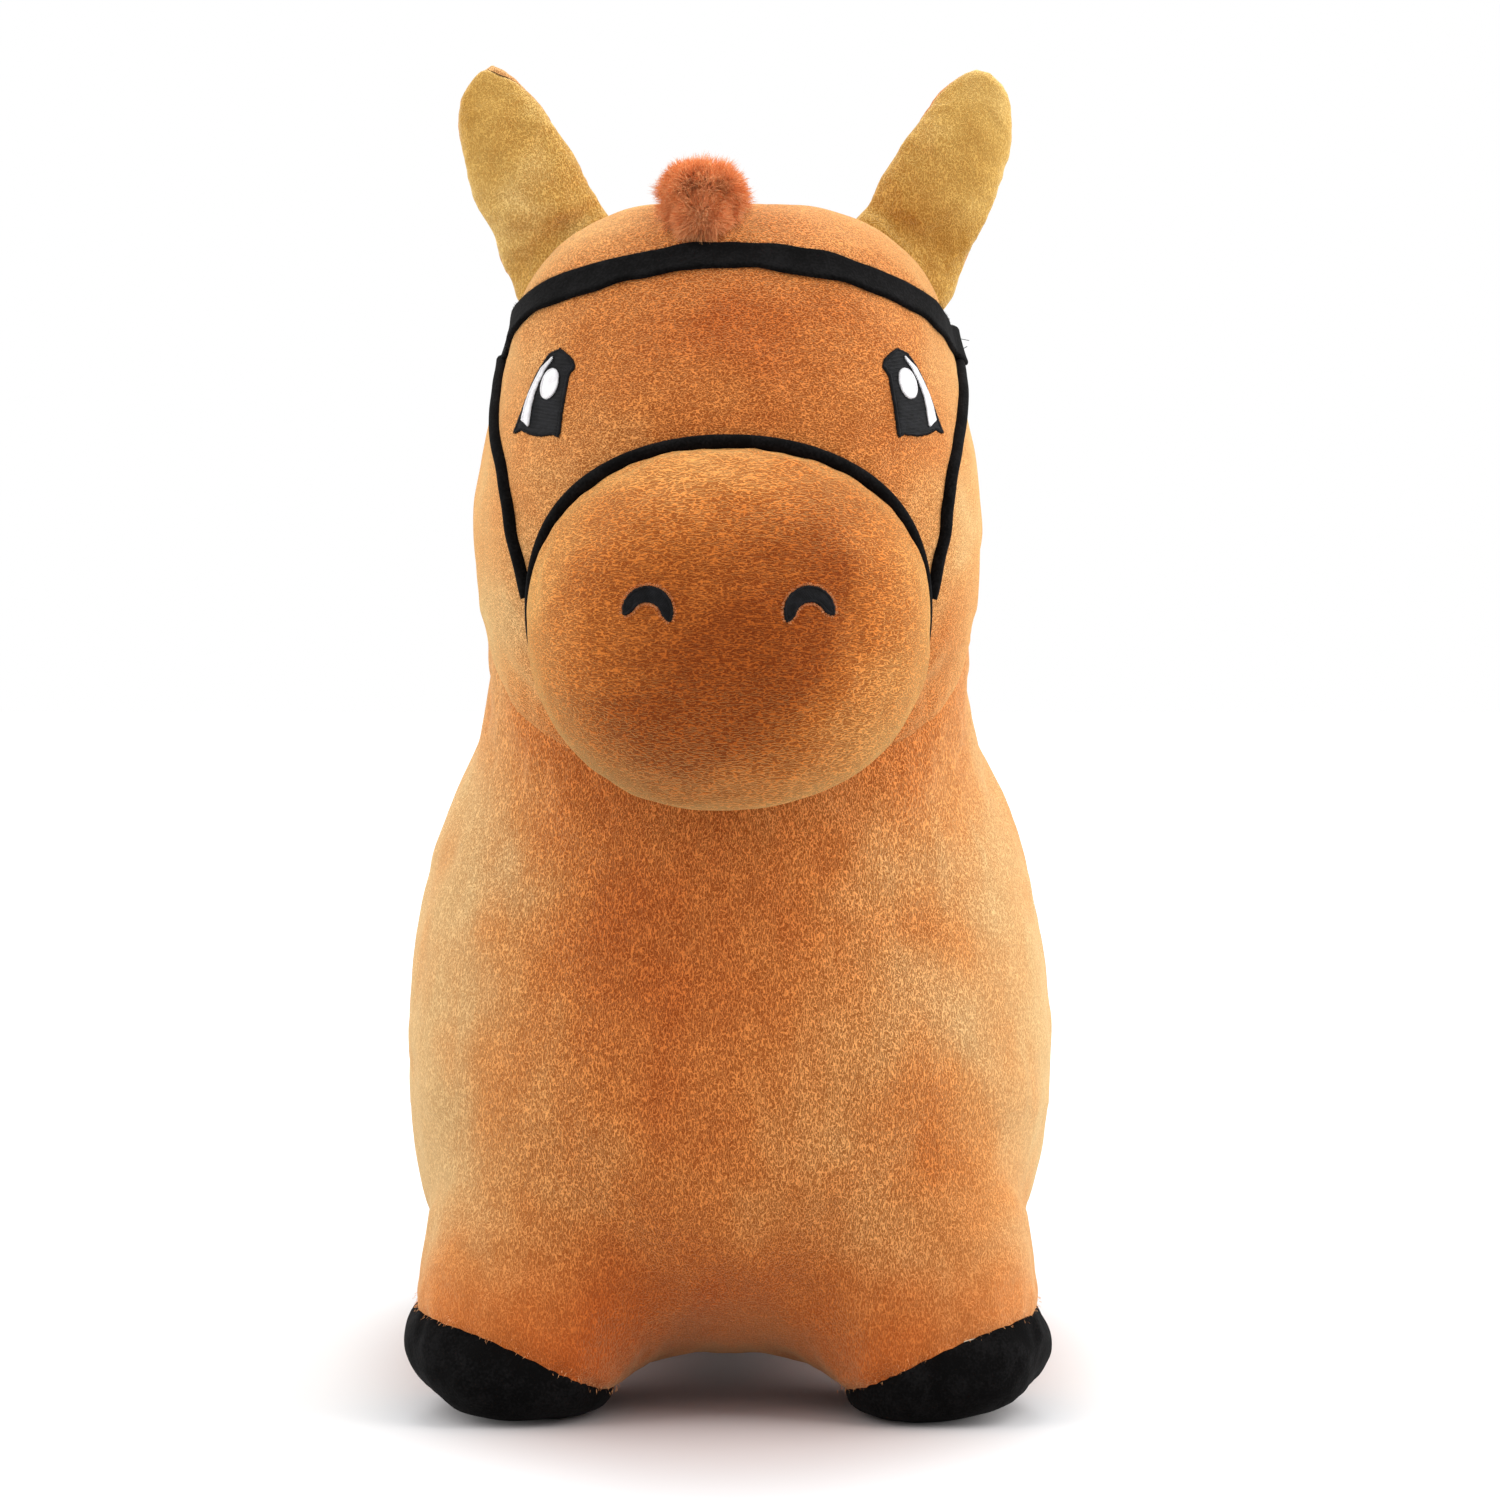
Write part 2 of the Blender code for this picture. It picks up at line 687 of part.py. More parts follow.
def strap_outline(half_width, thickness, sink, margin=0.0):
    """A flat strap's outline with softened upper edges."""
    edge = half_width + margin
    top = thickness + margin
    right = ((edge, -sink), (edge, top * STRAP_SHOULDER), (edge * STRAP_CROWN, top))
    return right + tuple((-across, up) for across, up in reversed(right))


def tube_outline(radius, lift, margin=0.0, facets=TUBE_FACETS):
    """A round strap's outline, lifted from the surface that it lies on."""
    size = radius + margin
    turns = [2 * math.pi * (i + 0.5) / facets for i in range(facets)]
    return [(size * math.cos(turn), lift + size * math.sin(turn)) for turn in turns]


def patch_prism(name, outline, centre, side, front, back):
    """A prism along Y through an outline seen from the front."""
    count = len(outline)
    points = []
    for y in (front, back):
        points += [Vector((side * (centre[0] + x), y, centre[1] + z)) for x, z in outline]
    faces = [tuple(range(count)), tuple(reversed(range(count, 2 * count)))]
    for i in range(count):
        j = (i + 1) % count
        faces.append((i, count + i, count + j, j))
    made = mesh_object(name, points, faces)
    scratch = bmesh.new()
    scratch.from_mesh(made.data)
    bmesh.ops.recalc_face_normals(scratch, faces=scratch.faces)
    scratch.to_mesh(made.data)
    scratch.free()
    return made


def grown_outline(outline, distance):
    """An outline moved outwards from its own middle line by about this distance."""
    area = sum(a[0] * b[1] - b[0] * a[1] for a, b in zip(outline, outline[1:] + outline[:1]))
    turn = math.copysign(1.0, area)
    grown = []
    for before, here, after in zip(outline[-1:] + outline[:-1], outline, outline[1:] + outline[:1]):
        first = Vector((here[0] - before[0], here[1] - before[1])).normalized()
        second = Vector((after[0] - here[0], after[1] - here[1])).normalized()
        out = Vector((first.y + second.y, -first.x - second.x)) * turn
        reach = max(out.length, 0.8)
        out.normalize()
        grown.append((here[0] + out.x * distance * 2 / reach, here[1] + out.y * distance * 2 / reach))
    return tuple(grown)


def ellipse_outline(centre, half_width, half_height, tilt, count):
    """A tilted ellipse seen from the front, whose top leans inwards."""
    outline = []
    for i in range(count):
        angle = 2 * math.pi * i / count
        across = half_width * math.cos(angle)
        up = half_height * math.sin(angle)
        x = across * math.cos(tilt) - up * math.sin(tilt)
        z = across * math.sin(tilt) + up * math.cos(tilt)
        outline.append((centre[0] + x, centre[1] + z))
    return tuple(outline)


def nostril_outline():
    """An arch that is thick at the top and thin at its ends."""
    outer = []
    inner = []
    for i in range(NOSTRIL_STEPS):
        share = 2 * i / (NOSTRIL_STEPS - 1) - 1
        angle = share * NOSTRIL_HALF_ANGLE
        half = (NOSTRIL_THICK + (NOSTRIL_THIN - NOSTRIL_THICK) * share * share) / 2
        outer.append((math.sin(angle) * (NOSTRIL_RADIUS + half), math.cos(angle) * (NOSTRIL_RADIUS + half)))
        inner.append((math.sin(angle) * (NOSTRIL_RADIUS - half), math.cos(angle) * (NOSTRIL_RADIUS - half)))
    return tuple(outer + inner[::-1])


def embroidered(name, outline, centre, side, finish, span, skins):
    """A thin embroidered patch that follows the surface between two grown copies of it."""
    piece = patch_prism(name, outline, centre, side, *span)
    piece.data.materials.append(material(name, finish))
    combine(piece, skins[1], "INTERSECT")
    combine(piece, skins[0])
    return piece


def make_body(horse, cutters):
    """The two halves of the body cover."""
    for name, sign in (("body_cover_left", 1), ("body_cover_right", -1)):
        cover = half_cover(name, horse, sign)
        for key in ((sign, FRONT_LEG_Y), (sign, REAR_LEG_Y)):
            combine(cover, cutters["legs"][key])
        combine(cover, cutters["zip_slot"])
        combine(cover, cutters["muzzle"])


def make_legs(legs, cutters):
    """Each leg's plush cover, its air chamber and its hoof, which slides up from a parent empty."""
    for (side, y), form in legs.items():
        place_name = f"{'front' if y == FRONT_LEG_Y else 'rear'}_{'left' if side > 0 else 'right'}"
        outer = list(form.points)
        inner = form.grown(-PLUSH)
        faces = list(form.spans(0, form.seam).values())
        cover = mesh_object(f"leg_cover_{place_name}", *shell(outer, inner, faces), ORANGE)
        combine(cover, cutters["core"])
        form.lift_seam(outer, GAP)
        form.lift_seam(inner, GAP)
        faces = list(form.spans(form.seam, form.rings).values())
        hoof = mesh_object(f"hoof_{place_name}", *shell(outer, inner, faces), BLACK_PLUSH)
        centre = form.seam_centre()
        slide = joint_empty(f"slide_{place_name}", centre)
        place(hoof, centre, slide)
        faces = [face for key, face in form.faces.items() if key[0] >= 0]
        skin = shell(form.grown(-PLUSH - GAP), form.grown(-PLUSH - GAP - BLADDER_WALL), faces)
        chamber = mesh_object(f"bladder_leg_{place_name}", *skin, BLADDER_VINYL)
        combine(chamber, cutters["bladder"])


def make_bladder(horse, legs):
    """The air bladder: a hollow body and neck with a port to each leg and a recessed valve."""
    depth = PLUSH + GAP
    bladder = mesh_object("air_bladder", *body_part(horse, depth, -GAP, BLADDER_FLOOR), BLADDER_VINYL)
    depth += BLADDER_WALL
    floor = BLADDER_FLOOR + BLADDER_WALL
    air = guide("air_space", *body_part(horse, depth, -GAP - BLADDER_WALL, floor))
    foot = (0.0, VALVE_Y, BLADDER_FLOOR - BLADDER_WALL)
    height = VALVE_POCKET_CEILING - foot[2]
    boss_radius = VALVE_POCKET_RADIUS + BLADDER_WALL
    boss_height = height + BLADDER_WALL
    boss = helper(turned("valve_boss", ((boss_radius, 0.0), (boss_radius, boss_height)), foot, (0, 0, 1)))
    combine(air, boss)
    combine(bladder, air)
    pocket = ((VALVE_POCKET_RADIUS, 0.0), (VALVE_POCKET_RADIUS, height))
    combine(bladder, helper(turned("valve_pocket", pocket, foot, (0, 0, 1))))
    bore = VALVE_TUBE_RADIUS + GAP
    bore_height = height + VALVE_TUBE_LENGTH
    combine(bladder, helper(turned("valve_hole", ((bore, 0.0), (bore, bore_height)), foot, (0, 0, 1))))
    for (side, y), form in legs.items():
        name = f"leg_port_{'f' if y == FRONT_LEG_Y else 'r'}{'l' if side > 0 else 'r'}"
        port = guide(name, form.grown(-PLUSH - GAP - BLADDER_WALL), list(form.faces.values()))
        combine(bladder, port)
    return bladder


def make_valve():
    """The valve seat in the bladder's pocket, and the plug that pulls out of it."""
    tube_foot = VALVE_POCKET_CEILING - VALVE_TUBE_DROP
    flange_top = VALVE_POCKET_CEILING - GAP
    flange_foot = flange_top - VALVE_FLANGE_THICKNESS
    tube_top = tube_foot + VALVE_TUBE_LENGTH + VALVE_TUBE_DROP
    profile = (
        (VALVE_TUBE_RADIUS, tube_foot),
        (VALVE_TUBE_RADIUS, flange_foot),
        (VALVE_FLANGE_RADIUS, flange_foot),
        (VALVE_FLANGE_RADIUS, flange_top),
        (VALVE_TUBE_RADIUS, flange_top),
        (VALVE_TUBE_RADIUS, tube_top),
        (VALVE_BORE_RADIUS, tube_top),
        (VALVE_BORE_RADIUS, tube_foot),
    )
    seat = ring_solid("valve_seat", profile, (0.0, VALVE_Y, 0.0), BLADDER_VINYL)
    place(seat, (0.0, VALVE_Y, VALVE_POCKET_CEILING))
    head_top = tube_foot - GAP
    profile = (
        (PLUG_HEAD_RADIUS, head_top - PLUG_HEAD_THICKNESS),
        (PLUG_HEAD_RADIUS, head_top),
        (PLUG_STEM_RADIUS, head_top),
        (PLUG_STEM_RADIUS, head_top + PLUG_STEM_LENGTH),
    )
    plug = turned("valve_plug", profile, (0.0, VALVE_Y, 0.0), (0, 0, 1), BLADDER_VINYL)
    slide = joint_empty("slide_valve_plug", (0.0, VALVE_Y, head_top))
    place(plug, slide.location, slide)


def ring_solid(name, profile, centre, finish):
    """A turned solid with a bore: the profile is a closed loop of radius and height."""
    points = []
    count = len(profile)
    for i in range(ROUND_FACETS):
        angle = 2 * math.pi * i / ROUND_FACETS
        for radius, height in profile:
            spoke = Vector((math.cos(angle) * radius, math.sin(angle) * radius, height))
            points.append(Vector(centre) + spoke)
    faces = []
    for i in range(ROUND_FACETS):
        j = (i + 1) % ROUND_FACETS
        for k in range(count):
            m = (k + 1) % count
            faces.append((i * count + k, j * count + k, j * count + m, i * count + m))
    return mesh_object(name, points, faces, finish)


def make_zip():
    """The belly zip: two tapes, two rows of teeth, end stops, a slider and its pull."""
    tape_low = BELLY_HEIGHT + ZIP_TAPE_LIFT
    teeth_low = BELLY_HEIGHT + TEETH_LIFT
    teeth_high = teeth_low + TEETH_HEIGHT
    teeth_edge = TEETH_HALF_SPLIT + TEETH_WIDTH
    row_front = ZIP_FRONT_Y + STOP_LENGTH + GAP
    row_rear = ZIP_REAR_Y - STOP_LENGTH - GAP
    for name, sign in (("left", 1), ("right", -1)):
        edges = sorted((sign * (teeth_edge + GAP), sign * (ZIP_HALF_SLOT - GAP)))
        low = (edges[0], row_front, tape_low)
        high = (edges[1], row_rear, tape_low + ZIP_TAPE_THICKNESS)
        bar(f"zip_tape_{name}", low, high, ZIP_BLACK)
        edges = sorted((sign * TEETH_HALF_SPLIT, sign * teeth_edge))
        bar(f"zip_teeth_{name}", (edges[0], row_front, teeth_low), (edges[1], row_rear, teeth_high), ZIP_BLACK)
    stop_low = teeth_low - GAP
    for name, y in (("front", ZIP_FRONT_Y), ("rear", ZIP_REAR_Y - STOP_LENGTH)):
        low = (-ZIP_HALF_SLOT + GAP, y, stop_low)
        bar(f"zip_stop_{name}", low, (ZIP_HALF_SLOT - GAP, y + STOP_LENGTH, teeth_high), ZIP_METAL)
    make_slider(row_rear, teeth_low, teeth_high)


def make_slider(row_rear, teeth_low, teeth_high):
    """The slider round the teeth, and the pull that hangs from its lug."""
    rear = row_rear - GAP
    front = rear - SLIDER_LENGTH
    middle = (front + rear) / 2
    plate_low = teeth_low - GAP - SLIDER_PLATE
    plate_high = teeth_high + GAP + SLIDER_PLATE
    half = SLIDER_HALF_WIDTH
    slider = bar("zip_slider", (-half, front, plate_low), (half, rear, teeth_low - GAP), ZIP_METAL)
    top = helper(bar("slider_top", (-half, front, teeth_high + GAP), (half, rear, plate_high)))
    web_edge = TEETH_HALF_SPLIT - GAP
    web_low = (-web_edge, middle - SLIDER_WEB_LENGTH / 2, plate_low + SLIDER_PLATE / 2)
    web_high = (web_edge, middle + SLIDER_WEB_LENGTH / 2, plate_high - SLIDER_PLATE / 2)
    web = helper(bar("slider_web", web_low, web_high))
    pin_z = plate_low - LUG_RADIUS - GAP
    pin = (0.0, middle, pin_z)
    neck_low = (-LUG_HALF_WIDTH, middle - LUG_NECK, pin_z)
    neck_high = (LUG_HALF_WIDTH, middle + LUG_NECK, plate_low + SLIDER_PLATE / 2)
    neck = helper(bar("slider_neck", neck_low, neck_high))
    profile = ((LUG_RADIUS, -LUG_HALF_WIDTH), (LUG_RADIUS, LUG_HALF_WIDTH))
    lug = helper(turned("slider_lug", profile, pin, (1, 0, 0), None, PIN_FACETS))
    hole = PULL_PIN_RADIUS + GAP
    eye = helper(turned("slider_eye", ((hole, -half), (hole, half)), pin, (1, 0, 0), None, PIN_FACETS))
    for other in (web, top, neck, lug):
        combine(slider, other, "UNION")
    combine(slider, eye)
    runner = joint_empty("slide_zip", (0.0, middle, teeth_low))
    place(slider, (0.0, middle, teeth_low), runner)
    make_pull(pin, runner)


def make_pull(pin, runner):
    """The pull: two cheeks beside the lug, the pin through it, and a tab that hangs down."""
    inner = LUG_HALF_WIDTH + GAP
    outer = inner + PULL_CHEEK
    pin = Vector(pin)
    foot = pin.z - LUG_RADIUS - GAP
    half = PULL_THICKNESS / 2
    low = (-outer, pin.y - half, pin.z - PULL_LENGTH)
    pull = bar("zip_pull", low, (outer, pin.y + half, foot), ZIP_METAL)
    for name, sign in (("pull_cheek_left", 1), ("pull_cheek_right", -1)):
        edges = sorted((sign * inner, sign * outer))
        cheek_low = (edges[0], pin.y - half, foot - half)
        cheek_high = (edges[1], pin.y + half, pin.z + LUG_RADIUS - GAP)
        combine(pull, helper(bar(name, cheek_low, cheek_high)), "UNION")
    reach = outer - GAP
    profile = ((PULL_PIN_RADIUS, -reach), (PULL_PIN_RADIUS, reach))
    rod = turned("pull_pin", profile, pin, (1, 0, 0), None, PIN_FACETS)
    combine(pull, helper(rod), "UNION")
    swing = joint_empty("hinge_zip_pull", pin - runner.location)
    swing.parent = runner
    pull.data.transform(Matrix.Translation(-pin))
    pull.parent = swing


def make_head(horse, muzzle, cutters):
    """The head and muzzle covers, their stuffing, and the partition that holds it in."""
    cover = head_cover(horse)
    faces = list(muzzle.spans(-1, muzzle.rings - 1).values())
    nose = mesh_object("muzzle_cover", *shell(muzzle.points, muzzle.grown(-PLUSH), faces), ORANGE)
    combine(nose, cutters["core"])
    depth = PLUSH + GAP
    lift = PARTITION + GAP
    filling = mesh_object("head_filling", *head_part(horse, depth, lift), STUFFING)
    egg = guide("muzzle_filling", muzzle.grown(-depth), list(muzzle.faces.values()))
    combine(egg, guide("body_core", *body_part(horse, PLUSH, lift)))
    combine(filling, egg, "UNION")
    combine(cover, cutters["muzzle"])
    for socket in cutters["sockets"]:
        combine(cover, socket)
        combine(filling, socket)
    low = horse.grown(-depth - GAP)
    high = list(low)
    horse.lift_seam(high, PARTITION)
    disc = Loft([[points[k] for k in horse.seam_indices()] for points in (low, high)])
    mesh_object("neck_partition", disc.points, list(disc.faces.values()), LINING)


def make_ears():
    """Both ears: gold front panel, orange back panel and stuffing, on a hinge at the base."""
    for name, side in (("left", 1), ("right", -1)):
        form = ear_form(side)
        inner, along, length, _ = ear_chord(side)
        hinge = joint_empty(f"hinge_ear_{name}", inner + along * length / 2)
        pieces = (
            ear_panel(f"ear_front_{name}", form, -1, GOLD),
            ear_panel(f"ear_back_{name}", form, 1, ORANGE),
            ear_filling(f"ear_filling_{name}", form),
        )
        for piece in pieces:
            place(piece, hinge.location, hinge)


def ear_socket(side):
    """The round-bottomed hollow that an ear's base turns in."""
    inner, along, length, _ = ear_chord(side)
    radius = EAR_BASE_RADIUS + GAP
    profile = ((radius, -EAR_SOCKET_MARGIN), (radius, length + EAR_SOCKET_MARGIN))
    name = f"ear_socket_{'left' if side > 0 else 'right'}"
    return helper(turned(name, profile, inner, along, facets=24))


def crease_point(horse_tree, muzzle, angle):
    """Where a line along the muzzle's skin runs into the head, at an angle round the muzzle."""
    forward, upward = muzzle_axes()
    side = upward * math.cos(angle) + Vector((math.sin(angle), 0.0, 0.0))
    tree = surface_tree(muzzle)
    low, high = -MUZZLE_BACKWARD * 0.8, MUZZLE_FORWARD * 0.9
    for _ in range(24):
        middle = (low + high) / 2
        start = MUZZLE_CENTRE + forward * middle
        point, normal, _, _ = tree.ray_cast(start, side)
        near, outward, _, _ = horse_tree.find_nearest(point)
        if (point - near).dot(outward) > 0:
            high = middle
        else:
            low = middle
    return point, (normal + outward).normalized()


def noseband_path(horse, muzzle):
    """The noseband's route in the crease between the muzzle and the head."""
    tree = surface_tree(horse)
    path = []
    for i in range(NOSEBAND_STEPS + 1):
        angle = NOSEBAND_HALF_TURN * (2 * i / NOSEBAND_STEPS - 1)
        path.append(crease_point(tree, muzzle, angle))
    return path


def make_bridle(horse, muzzle, cutters):
    """The browband, crown strap, cheek straps and noseband, seated on the plush."""
    tree = surface_tree(horse)
    half = route_on_head(tree, BROWBAND_ROUTE, 1)
    other = route_on_head(tree, BROWBAND_ROUTE, -1)
    path = half + other[-2::-1]
    outline = strap_outline(BROWBAND_WIDTH / 2, BROWBAND_THICKNESS, STRAP_SINK)
    form = swept(path, outline)
    browband = mesh_object("browband", form.points, list(form.faces.values()), BLACK_PLUSH)
    form = swept(path, strap_outline(BROWBAND_WIDTH / 2, BROWBAND_THICKNESS, STRAP_SINK, GAP))
    browband_cutter = guide("browband_envelope", form.points, list(form.faces.values()))
    half = route_on_head(tree, CROWN_STRAP_ROUTE, 1, CROWN_STRAP_STEPS)
    other = route_on_head(tree, CROWN_STRAP_ROUTE, -1, CROWN_STRAP_STEPS)
    path = half + other[-2::-1]
    form = swept(path, strap_outline(CROWN_STRAP_WIDTH / 2, CROWN_STRAP_THICKNESS, STRAP_SINK))
    crown_strap = mesh_object("crown_strap", form.points, list(form.faces.values()), BLACK_PLUSH)
    form = swept(path, strap_outline(CROWN_STRAP_WIDTH / 2, CROWN_STRAP_THICKNESS, STRAP_SINK, GAP))
    cutters["crown_strap"] = guide("crown_strap_envelope", form.points, list(form.faces.values()))
    combine(crown_strap, browband_cutter)
    path = noseband_path(horse, muzzle)
    form = swept(path, tube_outline(NOSEBAND_RADIUS, NOSEBAND_RADIUS * 0.5))
    noseband = mesh_object("noseband", form.points, list(form.faces.values()), BLACK_PLUSH)
    combine(noseband, cutters["muzzle"])
    form = swept(path, tube_outline(NOSEBAND_RADIUS, NOSEBAND_RADIUS * 0.5, GAP))
    noseband_cutter = guide("noseband_envelope", form.points, list(form.faces.values()))
    for name, side in (("left", 1), ("right", -1)):
        path = route_on_head(tree, CHEEK_STRAP_ROUTE, side)
        form = swept(path, tube_outline(CHEEK_STRAP_RADIUS, CHEEK_STRAP_RADIUS * 0.3))
        strap = mesh_object(f"cheek_strap_{name}", form.points, list(form.faces.values()), BLACK_PLUSH)
        for cutter in (cutters["horse"], browband_cutter, noseband_cutter, cutters["muzzle"]):
            combine(strap, cutter)
        combine(strap, cutters["crown_strap"])
    for piece in (browband, crown_strap, noseband):
        combine(piece, cutters["horse"])


def make_face(horse, muzzle, cutters):
    """The embroidered eyes and nostrils."""
    thick = guide("horse_embroidery", horse.grown(GAP + EMBROIDERY), list(horse.faces.values()))
    skins = (cutters["horse"], thick)
    span = (MUZZLE_CENTRE.y - 2 * MUZZLE_FORWARD, HEAD_CENTRE.y)
    glint = ellipse_outline(GLINT_CENTRE, GLINT_HALF_WIDTH, GLINT_HALF_HEIGHT, GLINT_TILT, GLINT_FACETS)
    for name, side in (("left", 1), ("right", -1)):
        patch = embroidered(f"eye_patch_{name}", EYE_OUTLINE, EYE_CENTRE, side, BLACK_THREAD, span, skins)
        for label, outline in (("white", EYE_WHITE_OUTLINE), ("glint", glint)):
            embroidered(f"eye_{label}_{name}", outline, EYE_CENTRE, side, WHITE_THREAD, span, skins)
            hole = patch_prism(f"eye_{label}_hole_{name}", grown_outline(outline, GAP), EYE_CENTRE, side, *span)
            combine(patch, helper(hole))
    thick = guide("muzzle_embroidery", muzzle.grown(GAP + EMBROIDERY), list(muzzle.faces.values()))
    skins = (cutters["muzzle"], thick)
    span = (MUZZLE_CENTRE.y - 2 * MUZZLE_FORWARD, MUZZLE_CENTRE.y)
    for name, side in (("left", 1), ("right", -1)):
        embroidered(f"nostril_{name}", nostril_outline(), NOSTRIL_CENTRE, side, BLACK_THREAD, span, skins)


def make_forelock(cutters):
    """The tuft of long pile between the ears."""
    rings = []
    for step in (25, 55, 90, 125):
        angle = math.radians(step)
        height = Vector((0.0, 0.0, FORELOCK_HALF_SIZE.z * math.cos(angle)))
        centre = FORELOCK_CENTRE + height
        along = Vector((0.0, FORELOCK_HALF_SIZE.y * math.sin(angle), 0.0))
        side = Vector((FORELOCK_HALF_SIZE.x * math.sin(angle), 0.0, 0.0))
        rings.append(rounded_ring(centre + along, centre - along, side, 14))
    form = Loft(rings, FORELOCK_CENTRE + Vector((0.0, 0.0, FORELOCK_HALF_SIZE.z)))
    tuft = mesh_object("forelock", form.points, list(form.faces.values()), FUR)
    combine(tuft, cutters["horse"])


def make_mane(cutters):
    """The strip of long pile from the poll down the back of the neck."""
    sections = (*BODY_SECTIONS[MANE_FIRST_SECTION + 2:], NECK_SECTION, *HEAD_SECTIONS[:-1])
    rings = []
    count = len(sections)
    for i, section in enumerate(sections):
        high = Vector((0.0, *section.high))
        outward = (high - Vector((0.0, *section.low))).normalized()
        swell = math.sqrt(math.sin(math.pi * (i + 0.6) / (count + 0.2)))
        side = Vector((MANE_HALF_WIDTH * swell, 0.0, 0.0))
        rings.append(rounded_ring(high + outward * MANE_HEIGHT * swell, high - outward * MANE_SINK, side, 8))
    form = Loft(rings)
    mane = mesh_object("mane", form.points, list(form.faces.values()), FUR)
    combine(mane, cutters["horse"])
    combine(mane, cutters["crown_strap"])


def make_tail(horse):
    """The tail tape on a hinge at the rump, and the tail hair that sways on it."""
    tree = surface_tree(horse)
    behind = Vector((0.0, 2 * RUMP_TIP[0], TAIL_HINGE_HEIGHT))
    hit, normal, _, _ = tree.ray_cast(behind, Vector((0.0, -1.0, 0.0)))
    normal.x = 0.0
    hinge = hit + normal.normalized() * (TAIL_TAPE_RADIUS + GAP)
    inner_face = RUMP_TIP[0] + TAIL_CLEARANCE
    rings = []
    half = Vector((TAIL_TAPE_HALF_WIDTH, 0.0, 0.0))
    profile = []
    for step in range(7):
        angle = math.radians(90 + 30 * step)
        profile.append((math.cos(angle) * TAIL_TAPE_RADIUS, math.sin(angle) * TAIL_TAPE_RADIUS))
    reach = inner_face - GAP - hinge.y
    profile += [(reach, -TAIL_TAPE_RADIUS), (reach, TAIL_TAPE_RADIUS)]
    for side in (-1, 1):
        rings.append([hinge + half * side + Vector((0.0, y, z)) for y, z in profile])
    form = Loft(rings)
    tape = mesh_object("tail_tape", form.points, list(form.faces.values()), BLACK_PLUSH)
    lift = joint_empty("hinge_tail_lift", hinge)
    place(tape, hinge, lift)
    sway_point = Vector((0.0, inner_face, hinge.z))
    hair = tail_hair(sway_point)
    sway = joint_empty("hinge_tail_sway", sway_point - lift.location)
    sway.parent = lift
    hair.data.transform(Matrix.Translation(-sway_point))
    hair.parent = sway


def tail_hair(top):
    """A flattened lock that hangs behind the rump, widest low down."""
    rings = []
    steps = 7
    for i in range(steps):
        share = i / (steps - 1)
        swell = math.sin(math.pi * min(share * 0.9 + 0.12, 1.0))
        width = TAIL_TOP_HALF_WIDTH + (TAIL_HALF_WIDTH - TAIL_TOP_HALF_WIDTH) * swell
        thick = TAIL_THICKNESS * (0.55 + 0.45 * swell)
        if i in (0, steps - 1):
            width *= 0.6
            thick *= 0.6
        z = top.z + TAIL_TOP_HALF_WIDTH - share * TAIL_LENGTH
        low = Vector((0.0, top.y, z))
        high = Vector((0.0, top.y + thick, z))
        rings.append(rounded_ring(high, low, Vector((width, 0.0, 0.0)), 12))
    form = Loft(rings)
    return mesh_object("tail_hair", form.points, list(form.faces.values()), FUR)


def make_cutters(horse, muzzle, legs):
    """The hidden forms that leave each piece its room and its gap."""
    faces = list(horse.faces.values())
    cutters = {
        "horse": guide("horse_envelope", horse.grown(GAP), faces),
        "core": guide("horse_core", horse.grown(-PLUSH), faces),
        "muzzle": guide("muzzle_envelope", muzzle.grown(GAP), list(muzzle.faces.values())),
        "legs": {},
        "sockets": [ear_socket(1), ear_socket(-1)],
    }
    for (side, y), form in legs.items():
        name = f"leg_envelope_{'f' if y == FRONT_LEG_Y else 'r'}{'l' if side > 0 else 'r'}"
        cutters["legs"][(side, y)] = guide(name, form.grown(GAP), list(form.faces.values()))
    low = (-ZIP_HALF_SLOT, ZIP_FRONT_Y - GAP, BELLY_HEIGHT - PLUSH)
    high = (ZIP_HALF_SLOT, ZIP_REAR_Y + GAP, BELLY_HEIGHT + 2 * PLUSH)
    cutters["zip_slot"] = helper(bar("zip_slot", low, high))
    cutters["bladder"] = guide("bladder_envelope", *body_part(horse, PLUSH, 0.0, BLADDER_FLOOR - GAP))
    return cutters


def main():
    """Clear the scene and build the horse."""
    for leftover in list(bpy.data.objects):
        bpy.data.objects.remove(leftover, do_unlink=True)
    horse = horse_form()
    muzzle = muzzle_form()
    legs = {(side, y): leg_form(side, y) for y in (FRONT_LEG_Y, REAR_LEG_Y) for side in (1, -1)}
    cutters = make_cutters(horse, muzzle, legs)
    make_body(horse, cutters)
    make_legs(legs, cutters)
    make_bladder(horse, legs)
    make_valve()
    make_zip()
    make_head(horse, muzzle, cutters)
    make_ears()
    make_bridle(horse, muzzle, cutters)
    make_face(horse, muzzle, cutters)
    make_forelock(cutters)
    make_mane(cutters)
    make_tail(horse)


if __name__ == "__main__":
    main()
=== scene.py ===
"""The looks of a plush-covered bouncy horse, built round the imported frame.

Sizes are in metres in the frame's own axes: the horse faces -Y, +Z is up, and +X is its left side.
"""

import logging
import math
from collections.abc import Callable, Iterator, Sequence
from contextlib import contextmanager
from dataclasses import dataclass, field
from enum import Enum

import bmesh
import bpy
import numpy as np
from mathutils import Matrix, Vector
from mathutils.bvhtree import BVHTree


